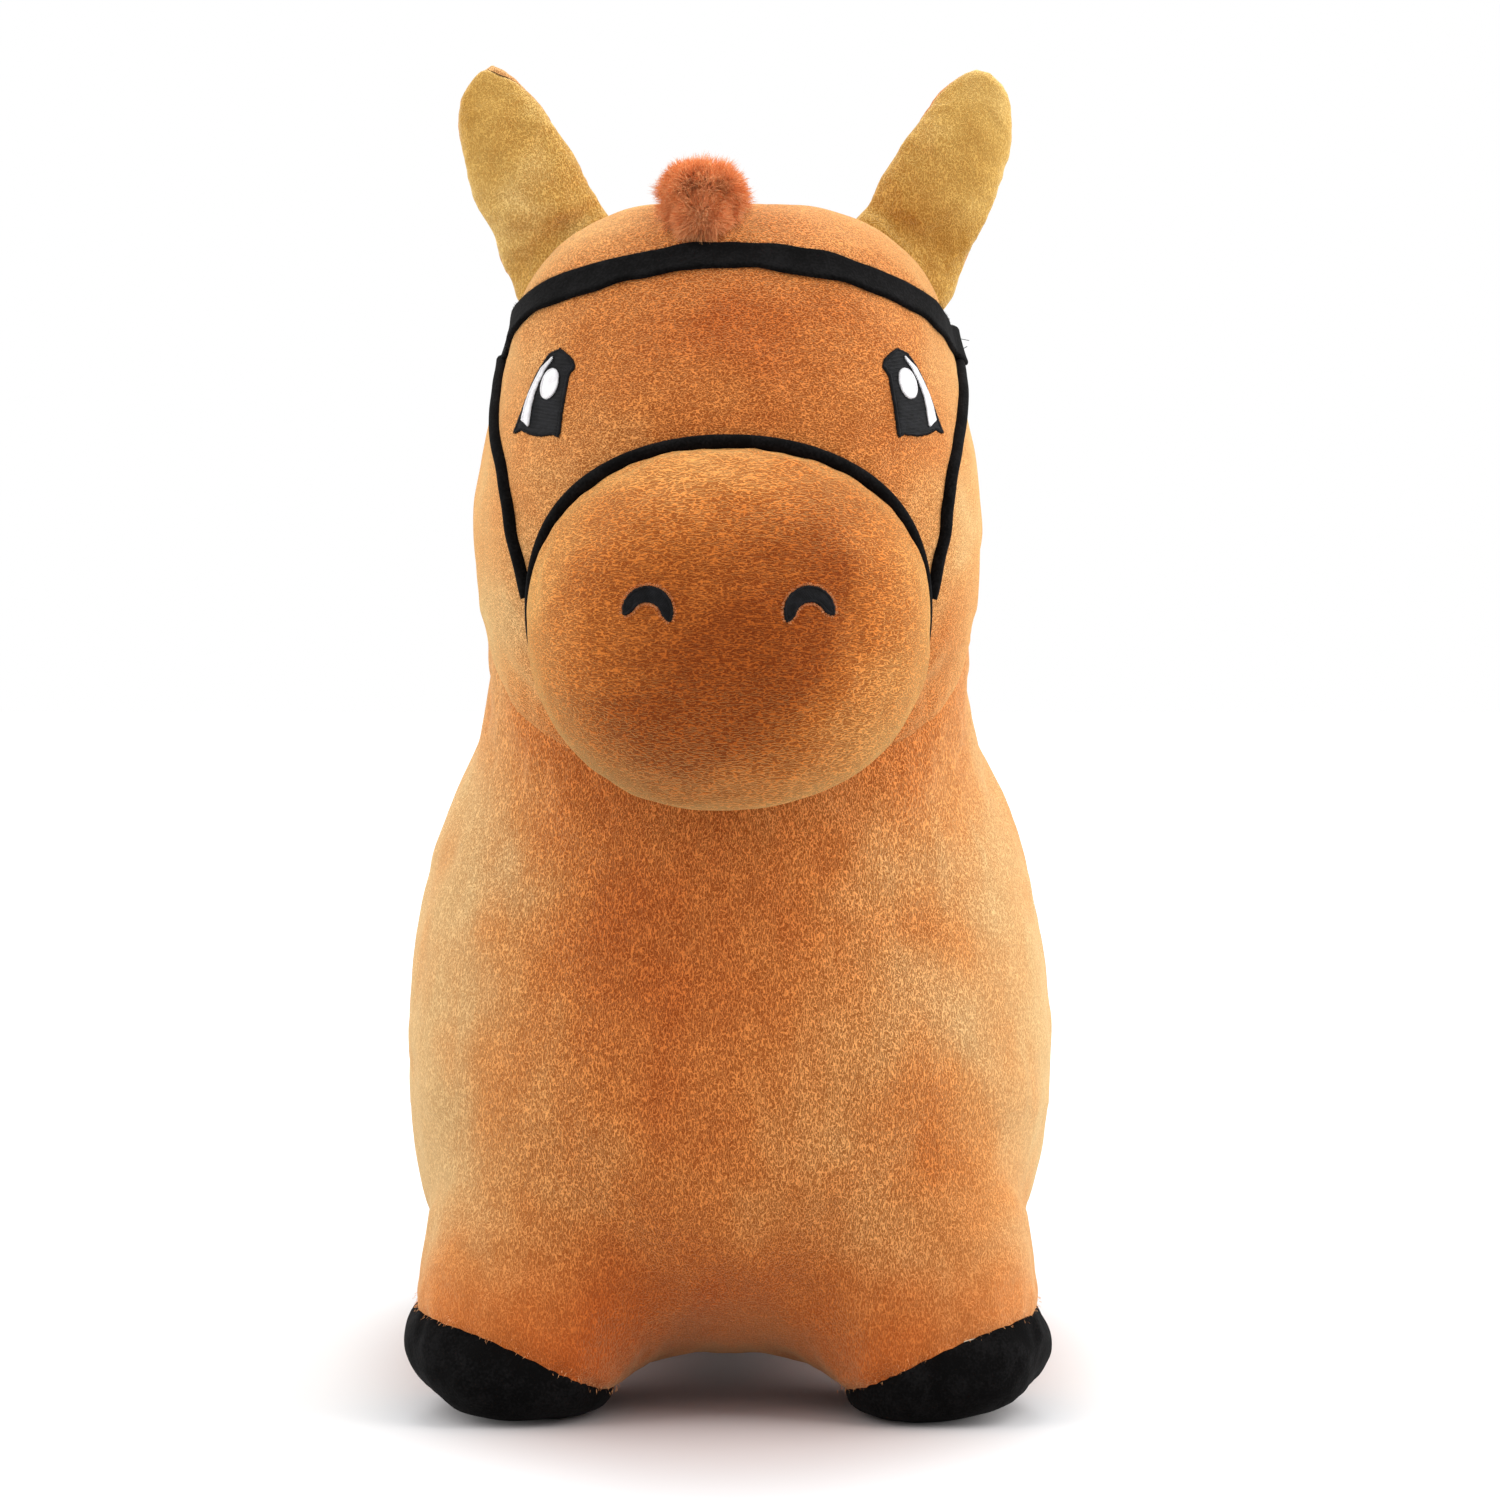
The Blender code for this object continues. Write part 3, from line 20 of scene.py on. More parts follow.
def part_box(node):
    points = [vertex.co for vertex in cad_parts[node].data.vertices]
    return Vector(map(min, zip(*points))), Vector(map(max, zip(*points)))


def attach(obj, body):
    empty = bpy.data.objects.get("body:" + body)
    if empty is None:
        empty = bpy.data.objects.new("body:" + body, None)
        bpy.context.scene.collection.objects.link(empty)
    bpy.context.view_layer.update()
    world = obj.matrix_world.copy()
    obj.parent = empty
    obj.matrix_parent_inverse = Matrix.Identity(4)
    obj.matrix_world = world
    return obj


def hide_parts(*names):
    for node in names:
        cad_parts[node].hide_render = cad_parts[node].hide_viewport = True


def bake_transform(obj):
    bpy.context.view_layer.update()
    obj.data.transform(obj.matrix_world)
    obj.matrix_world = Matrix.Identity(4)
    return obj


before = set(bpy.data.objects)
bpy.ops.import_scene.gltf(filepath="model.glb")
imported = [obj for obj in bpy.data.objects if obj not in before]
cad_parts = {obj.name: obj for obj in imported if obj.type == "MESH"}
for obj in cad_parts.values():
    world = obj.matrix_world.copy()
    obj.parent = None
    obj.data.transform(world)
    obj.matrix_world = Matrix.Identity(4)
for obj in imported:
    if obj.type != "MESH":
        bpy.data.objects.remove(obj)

Colour = tuple[float, float, float]
Pair = tuple[float, float]
Place = tuple[float, float, float]
Rows = np.ndarray
Piece = bpy.types.Object
Material = bpy.types.Material
Field = Callable[[Rows], Rows]
Faces = list[tuple[int, ...]]
Link = "Value | bpy.types.NodeSocket | float | tuple"

# Cloth simulation: its length, its steps, and the blur that tells folds from the broad swelling
CLOTH_FRAMES = 20
CLOTH_QUALITY = 4
CLOTH_HOLD_LEVELS = 10
CLOTH_BLUR = 0.6
CLOTH_BLUR_ROUNDS = 30

# Height of the belly over the floor
BELLY = 0.0185

# Faces that meet at more than this are shaded with an edge
SHARP_ANGLE = math.radians(40.0)

log = logging.getLogger("bouncy_horse")


class Named(Enum):
    """A part of the horse that the frame's nodes are named after."""

    @property
    def label(self) -> str:
        """The part's name as the frame's nodes spell it."""
        return self.name.lower()


class Side(Named):
    """The two sides of the horse, by the sign of X."""

    LEFT = 1
    RIGHT = -1


class End(Named):
    """The two ends of the horse, each with the place of its legs along Y."""

    FRONT = -0.1500
    REAR = 0.1680


# Meshes


def smoothstep(low: float, high: float, values: Rows) -> Rows:
    """Values below low as 0, above high as 1, and a smooth rise between them."""
    share = np.clip((values - low) / (high - low), 0.0, 1.0)
    return share * share * (3.0 - 2.0 * share)


def signed_power(values: Rows, exponent: Rows | float) -> Rows:
    """Powers that keep the sign."""
    return np.sign(values) * np.abs(values) ** exponent


def unit(rows: Rows) -> Rows:
    """Rows scaled to a length of one."""
    return rows / np.linalg.norm(rows, axis=-1)[..., None]


def places_along(line: Rows) -> Rows:
    """How far along a line of points each of them lies."""
    return np.concatenate([[0.0], np.cumsum(np.linalg.norm(np.diff(line, axis=0), axis=1))])


def turns_round(count: int) -> Rows:
    """Evenly spread angles once round."""
    return np.linspace(0.0, 2 * math.pi, count, endpoint=False)


def near_zero(distances: Rows, width: float) -> Rows:
    """1 where a distance is zero, fading to nothing over a width."""
    return np.exp(-np.abs(distances) / width)


def groove(distances: Rows, depth: float, width: float) -> Rows:
    """How far a seam draws the plush in at some distances from it."""
    return -depth * near_zero(distances, width)


def new_piece(name: str, points: Rows, faces: Sequence) -> Piece:
    """Make a smooth-shaded mesh object.

    Args:
        name: The piece's name.
        points: Its corners, one row each.
        faces: Its faces as rows of corner numbers.

    Returns:
        The new object, linked to the scene.
    """
    mesh = bpy.data.meshes.new(name)
    mesh.from_pydata(np.asarray(points, float).tolist(), [], [list(map(int, face)) for face in faces])
    mesh.validate()
    mesh.shade_smooth()
    made = bpy.data.objects.new(name, mesh)
    bpy.context.scene.collection.objects.link(made)
    return made


def read(items: Sequence, name: str, width: int = 3, kind: type = float) -> Rows:
    """One attribute of each item of a mesh's list, as rows of a width."""
    flat = np.zeros(len(items) * width, kind)
    items.foreach_get(name, flat)
    return flat.reshape(-1, width)


def points_of(piece: Piece) -> Rows:
    """The corners of a piece's mesh, one row each."""
    return read(piece.data.vertices, "co")


def normals_of(piece: Piece) -> Rows:
    """The outward direction at each corner of a piece's mesh."""
    return read(piece.data.vertex_normals, "vector")


def middles_of(piece: Piece) -> Rows:
    """The middles of a piece's faces, one row each."""
    return read(piece.data.polygons, "center")


def set_points(piece: Piece, points: Rows) -> None:
    """Move the corners of a piece's mesh."""
    piece.data.vertices.foreach_set("co", np.ascontiguousarray(points).ravel())
    piece.data.update()


def push(piece: Piece, lift: Rows) -> None:
    """Move each corner of a piece's mesh outwards by its own lift."""
    set_points(piece, points_of(piece) + normals_of(piece) * lift[:, None])


def apply_modifiers(piece: Piece) -> None:
    """Replace a piece's mesh by what its modifiers make of it."""
    graph = bpy.context.evaluated_depsgraph_get()
    made = bpy.data.meshes.new_from_object(piece.evaluated_get(graph))
    piece.modifiers.clear()
    made.name = piece.name
    piece.data = made
    made.shade_smooth()


def modify(piece: Piece, kind: str, **settings: object) -> None:
    """Add a modifier with some settings to a piece, and apply it."""
    modifier = piece.modifiers.new(kind, kind)
    for name, setting in settings.items():
        setattr(modifier, name, setting)
    apply_modifiers(piece)


def remesh(piece: Piece, voxel: float, softness: float = 0.35, rounds: int = 2) -> None:
    """Rebuild a closed piece from even quads of about the voxel's size, and soften its steps."""
    modify(piece, "REMESH", mode="VOXEL", voxel_size=voxel, adaptivity=0.0)
    relax(piece, softness, rounds)


def subdivide(piece: Piece, kind: str = "CATMULL_CLARK") -> None:
    """Split every face of a piece in four, and round it where the kind does."""
    modify(piece, "SUBSURF", subdivision_type=kind, levels=1, render_levels=1)


@contextmanager
def editing(piece: Piece) -> Iterator[bmesh.types.BMesh]:
    """Open a piece's mesh for editing, and write it back at the end."""
    work = bmesh.new()
    work.from_mesh(piece.data)
    yield work
    work.to_mesh(piece.data)
    work.free()


def turn_in_edges(piece: Piece, allowance: float, normals: Rows | None = None) -> None:
    """Fold a seam allowance inwards along a skin's open edges.

    Args:
        piece: The skin.
        allowance: How deep the fold goes.
        normals: The directions that shade its corners, or None for the skin's own.
    """
    shades = [Vector(normal) for normal in (normals_of(piece) if normals is None else normals)]
    with editing(piece) as work:
        rim = [edge for edge in work.edges if edge.is_boundary]
        numbers = {tuple(vert.co): vert.index for edge in rim for vert in edge.verts}
        made = bmesh.ops.extrude_edge_only(work, edges=rim)["geom"]
        for vert in [part for part in made if isinstance(part, bmesh.types.BMVert)]:
            shades.append(shades[numbers[tuple(vert.co)]])
            vert.co -= shades[-1] * allowance
    piece.data.shade_smooth()
    piece.data.normals_split_custom_set_from_vertices([tuple(shade) for shade in shades])


def averaged(piece: Piece, rows: Rows, weights: Rows | float, rounds: int) -> Rows:
    """Draw a row of numbers at each corner of a piece towards its neighbours' rows.

    Args:
        piece: The piece whose edges join the neighbours.
        rows: One row for each corner.
        weights: How far each row follows, from 0 to 1.
        rounds: How many times it does.

    Returns:
        The new rows.
    """
    edges = read(piece.data.edges, "vertices", 2, np.int64)
    ends = edges.ravel()
    others = edges[:, ::-1].ravel()
    counts = np.maximum(np.bincount(ends, minlength=len(rows)), 1)
    rows = rows.copy()
    for _ in range(rounds):
        for column in range(rows.shape[1]):
            total = np.bincount(ends, rows[others, column], len(rows))
            rows[:, column] += (total / counts - rows[:, column]) * weights
    return rows


def relax(piece: Piece, weights: Rows | float, rounds: int) -> None:
    """Draw each corner of a piece towards the middle of its neighbours."""
    set_points(piece, averaged(piece, points_of(piece), weights, rounds))


@dataclass(frozen=True)
class Filling:
    """How a plush piece is filled: a fold stands out by at most fold, and by seam_fold more at a seam."""

    pressure: float = 4.0
    slack: float = 0.035
    hold: Pair = (0.002, 0.012)
    fold: float = 0.0005
    seam_fold: float = 0.0016
    seam_reach: float = 0.020

    def held(self, seams: Rows) -> Rows:
        """How firmly the cloth is held at some distances from a seam, from 0 to 1."""
        return 1.0 - smoothstep(*self.hold, seams)

    def limit(self, seams: Rows) -> Rows:
        """How far the cloth may move outwards at some distances from a seam; half of it inwards."""
        return self.fold + self.seam_fold * near_zero(seams, self.seam_reach)


def inflate(piece: Piece, held: Rows, seams: Rows, filling: Filling) -> None:
    """Fill a closed piece as slack cloth held at its seams, and keep the folds that this makes.

    Args:
        piece: The closed piece, remeshed to even quads.
        held: How firmly each corner is held, from 0 to 1.
        seams: How far each corner lies from a seam.
        filling: How the piece is filled.
    """
    start, outward = points_of(piece), normals_of(piece)
    group = piece.vertex_groups.new(name="held")
    levels = np.round(held * CLOTH_HOLD_LEVELS)
    for level in range(1, CLOTH_HOLD_LEVELS + 1):
        group.add(np.nonzero(levels == level)[0].tolist(), level / CLOTH_HOLD_LEVELS, "REPLACE")
    cloth = piece.modifiers.new("cloth", "CLOTH")
    cloth.settings.quality = CLOTH_QUALITY
    cloth.settings.use_pressure = True
    cloth.settings.uniform_pressure_force = filling.pressure
    cloth.settings.shrink_min = -filling.slack
    cloth.settings.effector_weights.gravity = 0.0
    cloth.settings.vertex_group_mass = group.name
    cloth.point_cache.frame_start = 1
    cloth.point_cache.frame_end = CLOTH_FRAMES
    for frame_number in range(1, CLOTH_FRAMES + 1):
        bpy.context.scene.frame_set(frame_number)
    apply_modifiers(piece)
    bpy.context.scene.frame_set(1)
    piece.vertex_groups.clear()
    moved = points_of(piece) - start
    fold = moved - averaged(piece, moved, CLOTH_BLUR, CLOTH_BLUR_ROUNDS)
    limit = filling.limit(seams)
    kept = np.clip((fold * outward).sum(axis=1), -limit / 2, limit)
    set_points(piece, start + outward * kept[:, None])
    log.info("%s: folds from %.1f to %.1f mm", piece.name, kept.min() * 1000, kept.max() * 1000)


def cut_along(piece: Piece, seam: Field, within: Field | None = None, snap: float = 0.25) -> None:
    """Cut a piece's faces along the line where a field is zero.

    Args:
        piece: The piece to cut.
        seam: A field of signed distances whose zero is the seam.
        within: A field that is positive where the seam runs, or None for everywhere.
        snap: Share of an edge within which a corner moves onto the seam instead.
    """
    with editing(piece) as work:
        corners = list(work.verts)
        points = np.array([corner.co for corner in corners])
        values = seam(points)
        inside = np.ones(len(points), bool) if within is None else within(points) > 0
        number = {corner: i for i, corner in enumerate(corners)}

        def crossing_edges() -> Iterator[tuple[bmesh.types.BMEdge, int, int, float]]:
            """Edges that cross the seam, their ends' numbers, and how far along they cross it."""
            for edge in list(work.edges):
                a, b = (number[corner] for corner in edge.verts)
                if inside[a] and inside[b] and values[a] * values[b] < 0:
                    yield edge, a, b, values[a] / (values[a] - values[b])

        for _, a, b, share in crossing_edges():
            near = a if share < snap else b if share > 1 - snap else None
            if near is not None:
                corners[near].co = Vector(points[a]).lerp(Vector(points[b]), share)
                values[near] = 0.0
        on_seam = [corner for i, corner in enumerate(corners) if values[i] == 0.0 and inside[i]]
        for edge, _, _, share in crossing_edges():
            on_seam.append(bmesh.utils.edge_split(edge, edge.verts[0], share)[1])
        bmesh.ops.connect_verts(work, verts=on_seam)


def mark_panels(piece: Piece, panels: Rows) -> None:
    """Note on each face the number of the panel that it belongs to."""
    marks = piece.data.attributes.new("panel", "INT", "FACE")
    marks.data.foreach_set("value", panels.astype(np.int32))


def panel_of(piece: Piece, number: int, name: str) -> tuple[Piece, Rows]:
    """Copy a panel of a marked piece into a new one.

    Args:
        piece: The piece to copy from.
        number: The panel's number.
        name: The new piece's name.

    Returns:
        The new piece, and the number of each of its corners in the old one.
    """
    marks = read(piece.data.attributes["panel"].data, "value", 1, np.int32)[:, 0]
    kept = [tuple(piece.data.polygons[i].vertices) for i in np.nonzero(marks == number)[0]]
    used = sorted({i for face in kept for i in face})
    place = {old: new for new, old in enumerate(used)}
    made = new_piece(name, points_of(piece)[used], [[place[i] for i in face] for face in kept])
    return made, np.array(used)


def dress(piece: Piece, finish: Material) -> None:
    """Give a piece one material."""
    piece.data.materials.clear()
    piece.data.materials.append(finish)


def discard(piece: Piece) -> None:
    """Remove a piece that was only a step on the way."""
    bpy.data.objects.remove(piece, do_unlink=True)


@dataclass(frozen=True)
class Waves:
    """A smooth uneven pattern through space: sine waves in drawn directions."""

    seed: int
    length: float
    height: float = 1.0
    count: int = 28

    def at(self, points: Rows) -> Rows:
        """The pattern at some points, mostly up to twice its height either way."""
        draw = np.random.default_rng(self.seed)
        ways = unit(draw.normal(size=(self.count, 3)))
        lengths = self.length * draw.uniform(0.7, 1.5, self.count)
        phases = draw.uniform(0.0, 2 * math.pi, self.count)
        turns = points @ (ways * (2 * math.pi / lengths)[:, None]).T + phases
        return self.height * (np.cos(turns).sum(axis=1) / math.sqrt(self.count / 2))


@dataclass(frozen=True)
class Puckers:
    """The small folds that a seam gathers, spread unevenly round a ring."""

    seed: int
    low: int
    high: int
    height: float

    def at(self, turns: Rows) -> Rows:
        """The folds at some angles round the ring, mostly up to twice their height either way."""
        draw = np.random.default_rng(self.seed)
        total = np.zeros_like(turns)
        for count in range(self.low, self.high + 1):
            total += draw.uniform(0.4, 1.0) * np.cos(count * turns + draw.uniform(0.0, 2 * math.pi))
        swings = [np.cos(waves * turns + draw.uniform(0.0, 6.0)) for waves in (3, 2)]
        gate = 0.6 + 0.4 * swings[0] * swings[1]
        return self.height * (total / math.sqrt((self.high - self.low + 1) / 2) * gate)


# Forms, which the frame's own solids follow with fewer faces


@dataclass
class Form:
    """A closed smooth surface."""

    points: Rows
    faces: Faces

    def __post_init__(self) -> None:
        """Keep a search tree over the faces."""
        self.tree = BVHTree.FromPolygons(self.points.tolist(), self.faces)

    def depth(self, points: Rows) -> Rows:
        """Signed distances to the surface, positive outside."""
        found = np.zeros(len(points))
        for i, point in enumerate(points):
            near, normal, _, distance = self.tree.find_nearest(Vector(point))
            found[i] = math.copysign(distance, (Vector(point) - near).dot(normal))
        return found

    def piece(self, name: str) -> Piece:
        """The surface as a mesh object."""
        return new_piece(name, self.points, self.faces)


def gathered(parts: Sequence[tuple[Rows, Sequence]]) -> tuple[Rows, Faces]:
    """The points and faces of several parts as those of one."""
    rows, faces, start = [], [], 0
    for points, polygons in parts:
        rows.append(points)
        faces += [tuple(i + start for i in polygon) for polygon in polygons]
        start += len(points)
    return np.concatenate(rows), faces


def joined(name: str, forms: Sequence[Form]) -> Piece:
    """Several forms as one object."""
    return new_piece(name, *gathered([(form.points, form.faces) for form in forms]))


def loft(rings: Rows) -> Form:
    """Close a stack of rings into a form whose faces look outwards.

    Args:
        rings: Rings, each with as many points, from one end to the other.

    Returns:
        The form, with one face over each end.
    """
    count, around = rings.shape[:2]
    faces = []
    for k in range(count - 1):
        for i in range(around):
            j = (i + 1) % around
            faces.append((k * around + i, k * around + j, (k + 1) * around + j, (k + 1) * around + i))
    faces.append(tuple(reversed(range(around))))
    faces.append(tuple((count - 1) * around + i for i in range(around)))
    points = rings.reshape(-1, 3)
    middle = points.mean(axis=0)
    volume = 0.0
    for face in faces[:-2]:
        a, b, c = (points[i] - middle for i in face[:3])
        volume += float(np.dot(a, np.cross(b, c)))
    if volume < 0:
        faces = [tuple(reversed(face)) for face in faces]
    return Form(points, faces)


def smooth_rows(rows: Rows, spacing: float, places: Rows) -> Rows:
    """Rows of numbers on a smooth curve through the given ones.

    Args:
        rows: The rows that the curve passes through.
        spacing: The distance between the rows that are returned.
        places: How far along the curve each given row lies.

    Returns:
        Evenly spaced rows from the first to the last.
    """
    slopes = np.diff(rows, axis=0) / np.diff(places)[:, None]
    gaps = np.diff(places)[:, None]
    tangents = np.empty_like(rows)
    tangents[0], tangents[-1] = slopes[0], slopes[-1]
    tangents[1:-1] = (slopes[:-1] * gaps[1:] + slopes[1:] * gaps[:-1]) / (gaps[1:] + gaps[:-1])
    wanted = np.linspace(places[0], places[-1], max(2, round((places[-1] - places[0]) / spacing)))
    k = np.clip(np.searchsorted(places, wanted, side="right") - 1, 0, len(rows) - 2)
    gap = np.diff(places)[k][:, None]
    t = (wanted - places[k])[:, None] / gap
    first = (2 * t**3 - 3 * t**2 + 1) * rows[k] + (t**3 - 2 * t**2 + t) * gap * tangents[k]
    return first + (-2 * t**3 + 3 * t**2) * rows[k + 1] + (t**3 - t**2) * gap * tangents[k + 1]


@dataclass(frozen=True)
class Section:
    """One rounded section in the plane through its two end points."""

    high: Pair
    low: Pair
    half: float
    high_power: float = 2.2
    low_power: float = 2.2

    def row(self) -> list[float]:
        """Middle, tilt, squared half-length, squared half-width and powers."""
        reach = ((self.high[0] - self.low[0]) / 2, (self.high[1] - self.low[1]) / 2)
        middle = ((self.high[0] + self.low[0]) / 2, (self.high[1] + self.low[1]) / 2)
        tilt = math.atan2(reach[1], reach[0])
        return [*middle, tilt, math.hypot(*reach) ** 2, self.half**2, self.high_power, self.low_power]


def section_rings(rows: Rows, around: int) -> Rows:
    """Rings in a plane, from rows that sections give.

    Args:
        rows: Rows as Section.row makes them.
        around: The number of points on each ring.

    Returns:
        For each ring its points as first and second coordinate in the plane, and across it.
    """
    turns = turns_round(around)
    upper = np.cos(turns) >= 0
    length = np.sqrt(np.maximum(rows[:, 3], 1e-9))[:, None]
    width = np.sqrt(np.maximum(rows[:, 4], 1e-9))[:, None]
    power = np.where(upper, rows[:, 5:6], rows[:, 6:7])
    along = signed_power(np.cos(turns)[None, :], 2 / power) * length
    across = signed_power(np.sin(turns)[None, :], 2 / power) * width
    first = rows[:, 0:1] + np.cos(rows[:, 2:3]) * along
    second = rows[:, 1:2] + np.sin(rows[:, 2:3]) * along
    return np.stack([first, second, across], axis=2)


def row_places(rows: Rows) -> Rows:
    """How far along each row of a section list lies, by the moves of its middle and its size."""
    return places_along(np.column_stack([rows[:, 0:2], np.sqrt(np.maximum(rows[:, 3:5], 0.0))]))


def dense_rings(rows: Sequence, spacing: float, around: int, power: float | None = None) -> Rows:
    """Rings in a plane along section rows, all of one power where it is given."""
    table = np.array(rows)
    if power is not None:
        table[:, 5:7] = power
    return section_rings(smooth_rows(table, spacing, row_places(table)), around)


def pole_row(neighbour: Section, pole: Pair) -> list[float]:
    """A row with no size that rounds off the end next to a section."""
    row = neighbour.row()
    return [*pole, row[2], 0.0, 0.0, row[5], row[6]]


@dataclass
class HorseShape:
    """The body, neck and head from the rump to the crown, in sections across the middle plane."""

    rump: Pair = (0.2620, 0.1540)
    body: tuple[Section, ...] = (
        Section((0.2540, 0.2060), (0.2540, 0.0980), 0.064),
        Section((0.2380, 0.2320), (0.2400, 0.0700), 0.091, 2.2, 2.4),
        Section((0.2050, 0.2580), (0.2080, 0.0400), 0.114, 2.2, 2.7),
        Section((0.1500, 0.2690), (0.1520, 0.0230), 0.128, 2.2, 2.8),
        Section((0.0850, 0.2670), (0.0950, BELLY), 0.134, 2.2, 2.6),
        Section((0.0350, 0.2630), (0.0300, BELLY), 0.134, 2.2, 2.5),
        Section((0.0000, 0.2630), (-0.0350, BELLY), 0.134, 2.2, 2.5),
        Section((-0.0220, 0.2700), (-0.1000, BELLY), 0.134, 2.2, 2.6),
        Section((-0.0360, 0.2830), (-0.1580, 0.0260), 0.134, 2.1, 2.8),
        Section((-0.0450, 0.3000), (-0.1980, 0.0680), 0.131, 2.0, 2.6),
        Section((-0.0510, 0.3210), (-0.2085, 0.1280), 0.121, 1.8, 2.3),
        Section((-0.0530, 0.3420), (-0.2055, 0.1860), 0.1045, 1.8),
        Section((-0.0520, 0.3620), (-0.2010, 0.2280), 0.0985, 2.0),
    )
    neck: Section = Section((-0.0490, 0.3800), (-0.1990, 0.2580), 0.1010)
    head: tuple[Section, ...] = (
        Section((-0.0400, 0.4130), (-0.2220, 0.3080), 0.1045, 2.3, 2.3),
        Section((-0.0360, 0.4400), (-0.2360, 0.3600), 0.0990, 2.4, 2.4),
        Section((-0.0400, 0.4620), (-0.2335, 0.4030), 0.0915, 2.4, 2.4),
        Section((-0.0520, 0.4780), (-0.2220, 0.4380), 0.0840, 2.4, 2.4),
        Section((-0.0750, 0.4890), (-0.2050, 0.4660), 0.0690, 2.4, 2.4),
        Section((-0.0950, 0.4935), (-0.1800, 0.4865), 0.0460),
    )
    crown: Pair = (-0.1370, 0.4940)
    spacing: float = 0.0035
    around: int = 128

    def form(self) -> Form:
        """The whole outer form."""
        sections = (*self.body, self.neck, *self.head)
        poles = pole_row(self.body[0], self.rump), pole_row(self.head[-1], self.crown)
        rows = [poles[0], *(section.row() for section in sections), poles[1]]
        return loft(dense_rings(rows, self.spacing, self.around)[..., [2, 0, 1]])

    def above_neck(self, points: Rows) -> Rows:
        """Signed distances to the neck seam's plane, positive towards the head."""
        along = np.array([self.neck.high[0] - self.neck.low[0], self.neck.high[1] - self.neck.low[1]])
        normal = np.array([-along[1], along[0]]) / np.linalg.norm(along)
        return (points[:, 1:] - np.array(self.neck.low)) @ normal

    def nape(self) -> Rows:
        """Points and outward directions down the middle of the back of the neck, as y and z."""
        sections = (*self.body[7:], self.neck, *self.head[:-1])
        table = np.array([[*s.high, *(np.array(s.high) - np.array(s.low))] for s in sections])
        dense = smooth_rows(table, self.spacing, places_along(table[:, :2]))
        dense[:, 2:] = unit(dense[:, 2:])
        return dense


@dataclass
class LegShape:
    """One leg and its hoof: sections across the horse, from inside the body to the sole."""

    side: Side
    end: End
    leg: tuple[Section, ...] = (
        Section((0.1000, 0.1160), (0.0400, 0.0900), 0.0340),
        Section((0.1225, 0.0800), (0.0290, 0.0380), 0.0480),
        Section((0.1240, 0.0590), (0.0330, 0.0195), 0.0500),
    )
    seam: Section = Section((0.1285, 0.0440), (0.0430, 0.0115), 0.0515)
    hoof: tuple[Section, ...] = (
        Section((0.1310, 0.0330), (0.0440, 0.0080), 0.0530),
        Section((0.1305, 0.0220), (0.0470, 0.0045), 0.0525),
        Section((0.1240, 0.0118), (0.0515, 0.0020), 0.0495),
        Section((0.1130, 0.0045), (0.0560, 0.0006), 0.0440),
        Section((0.0980, 0.0000), (0.0605, 0.0000), 0.0340),
    )
    power: float = 2.5
    seam_rise: float = 0.0036
    spacing: float = 0.0035
    around: int = 72

    @property
    def label(self) -> str:
        """The leg's place as the frame's nodes spell it."""
        return f"{self.end.label}_{self.side.label}"

    def form(self) -> Form:
        """The leg's outer form."""
        rows = [section.row() for section in (*self.leg, self.seam, *self.hoof)]
        rings = dense_rings(rows, self.spacing, self.around, self.power)
        placed = [rings[..., 0] * self.side.value, self.end.value + rings[..., 2], rings[..., 1]]
        return loft(np.stack(placed, axis=2))

    def seam_normal(self) -> Rows:
        """The direction at right angles to the hoof seam's plane, upwards."""
        along = np.subtract(self.seam.high, self.seam.low)
        normal = np.array([-along[1] * self.side.value, 0.0, along[0]])
        return normal / np.linalg.norm(normal)

    def seam_middle(self) -> Rows:
        """The middle of the hoof seam."""
        middle = np.add(self.seam.high, self.seam.low) / 2
        return np.array([middle[0] * self.side.value, self.end.value, middle[1]])

    def above_seam(self, points: Rows) -> Rows:
        """Signed distances to the hoof seam, which rises over the outer toes; positive towards the body."""
        across = (self.seam.high[0] - points[:, 0] * self.side.value) / (self.seam.high[0] - self.seam.low[0])
        rise = self.seam_rise * np.sin(np.clip(across, -0.1, 1.1) * math.pi / 0.8)
        return (points - self.seam_middle()) @ self.seam_normal() - rise

    def near(self, points: Rows) -> Rows:
        """Positive inside the block of space round this leg."""
        reach = 0.075 - np.abs(points[:, 1] - self.end.value)
        return np.minimum(np.minimum(reach, points[:, 0] * self.side.value - 0.012), 0.110 - points[:, 2])

    def turns(self, points: Rows) -> Rows:
        """Angles round the leg's middle line."""
        middle = self.seam_middle()
        return np.arctan2(points[:, 1] - middle[1], (points[:, 0] - middle[0]) * self.side.value)


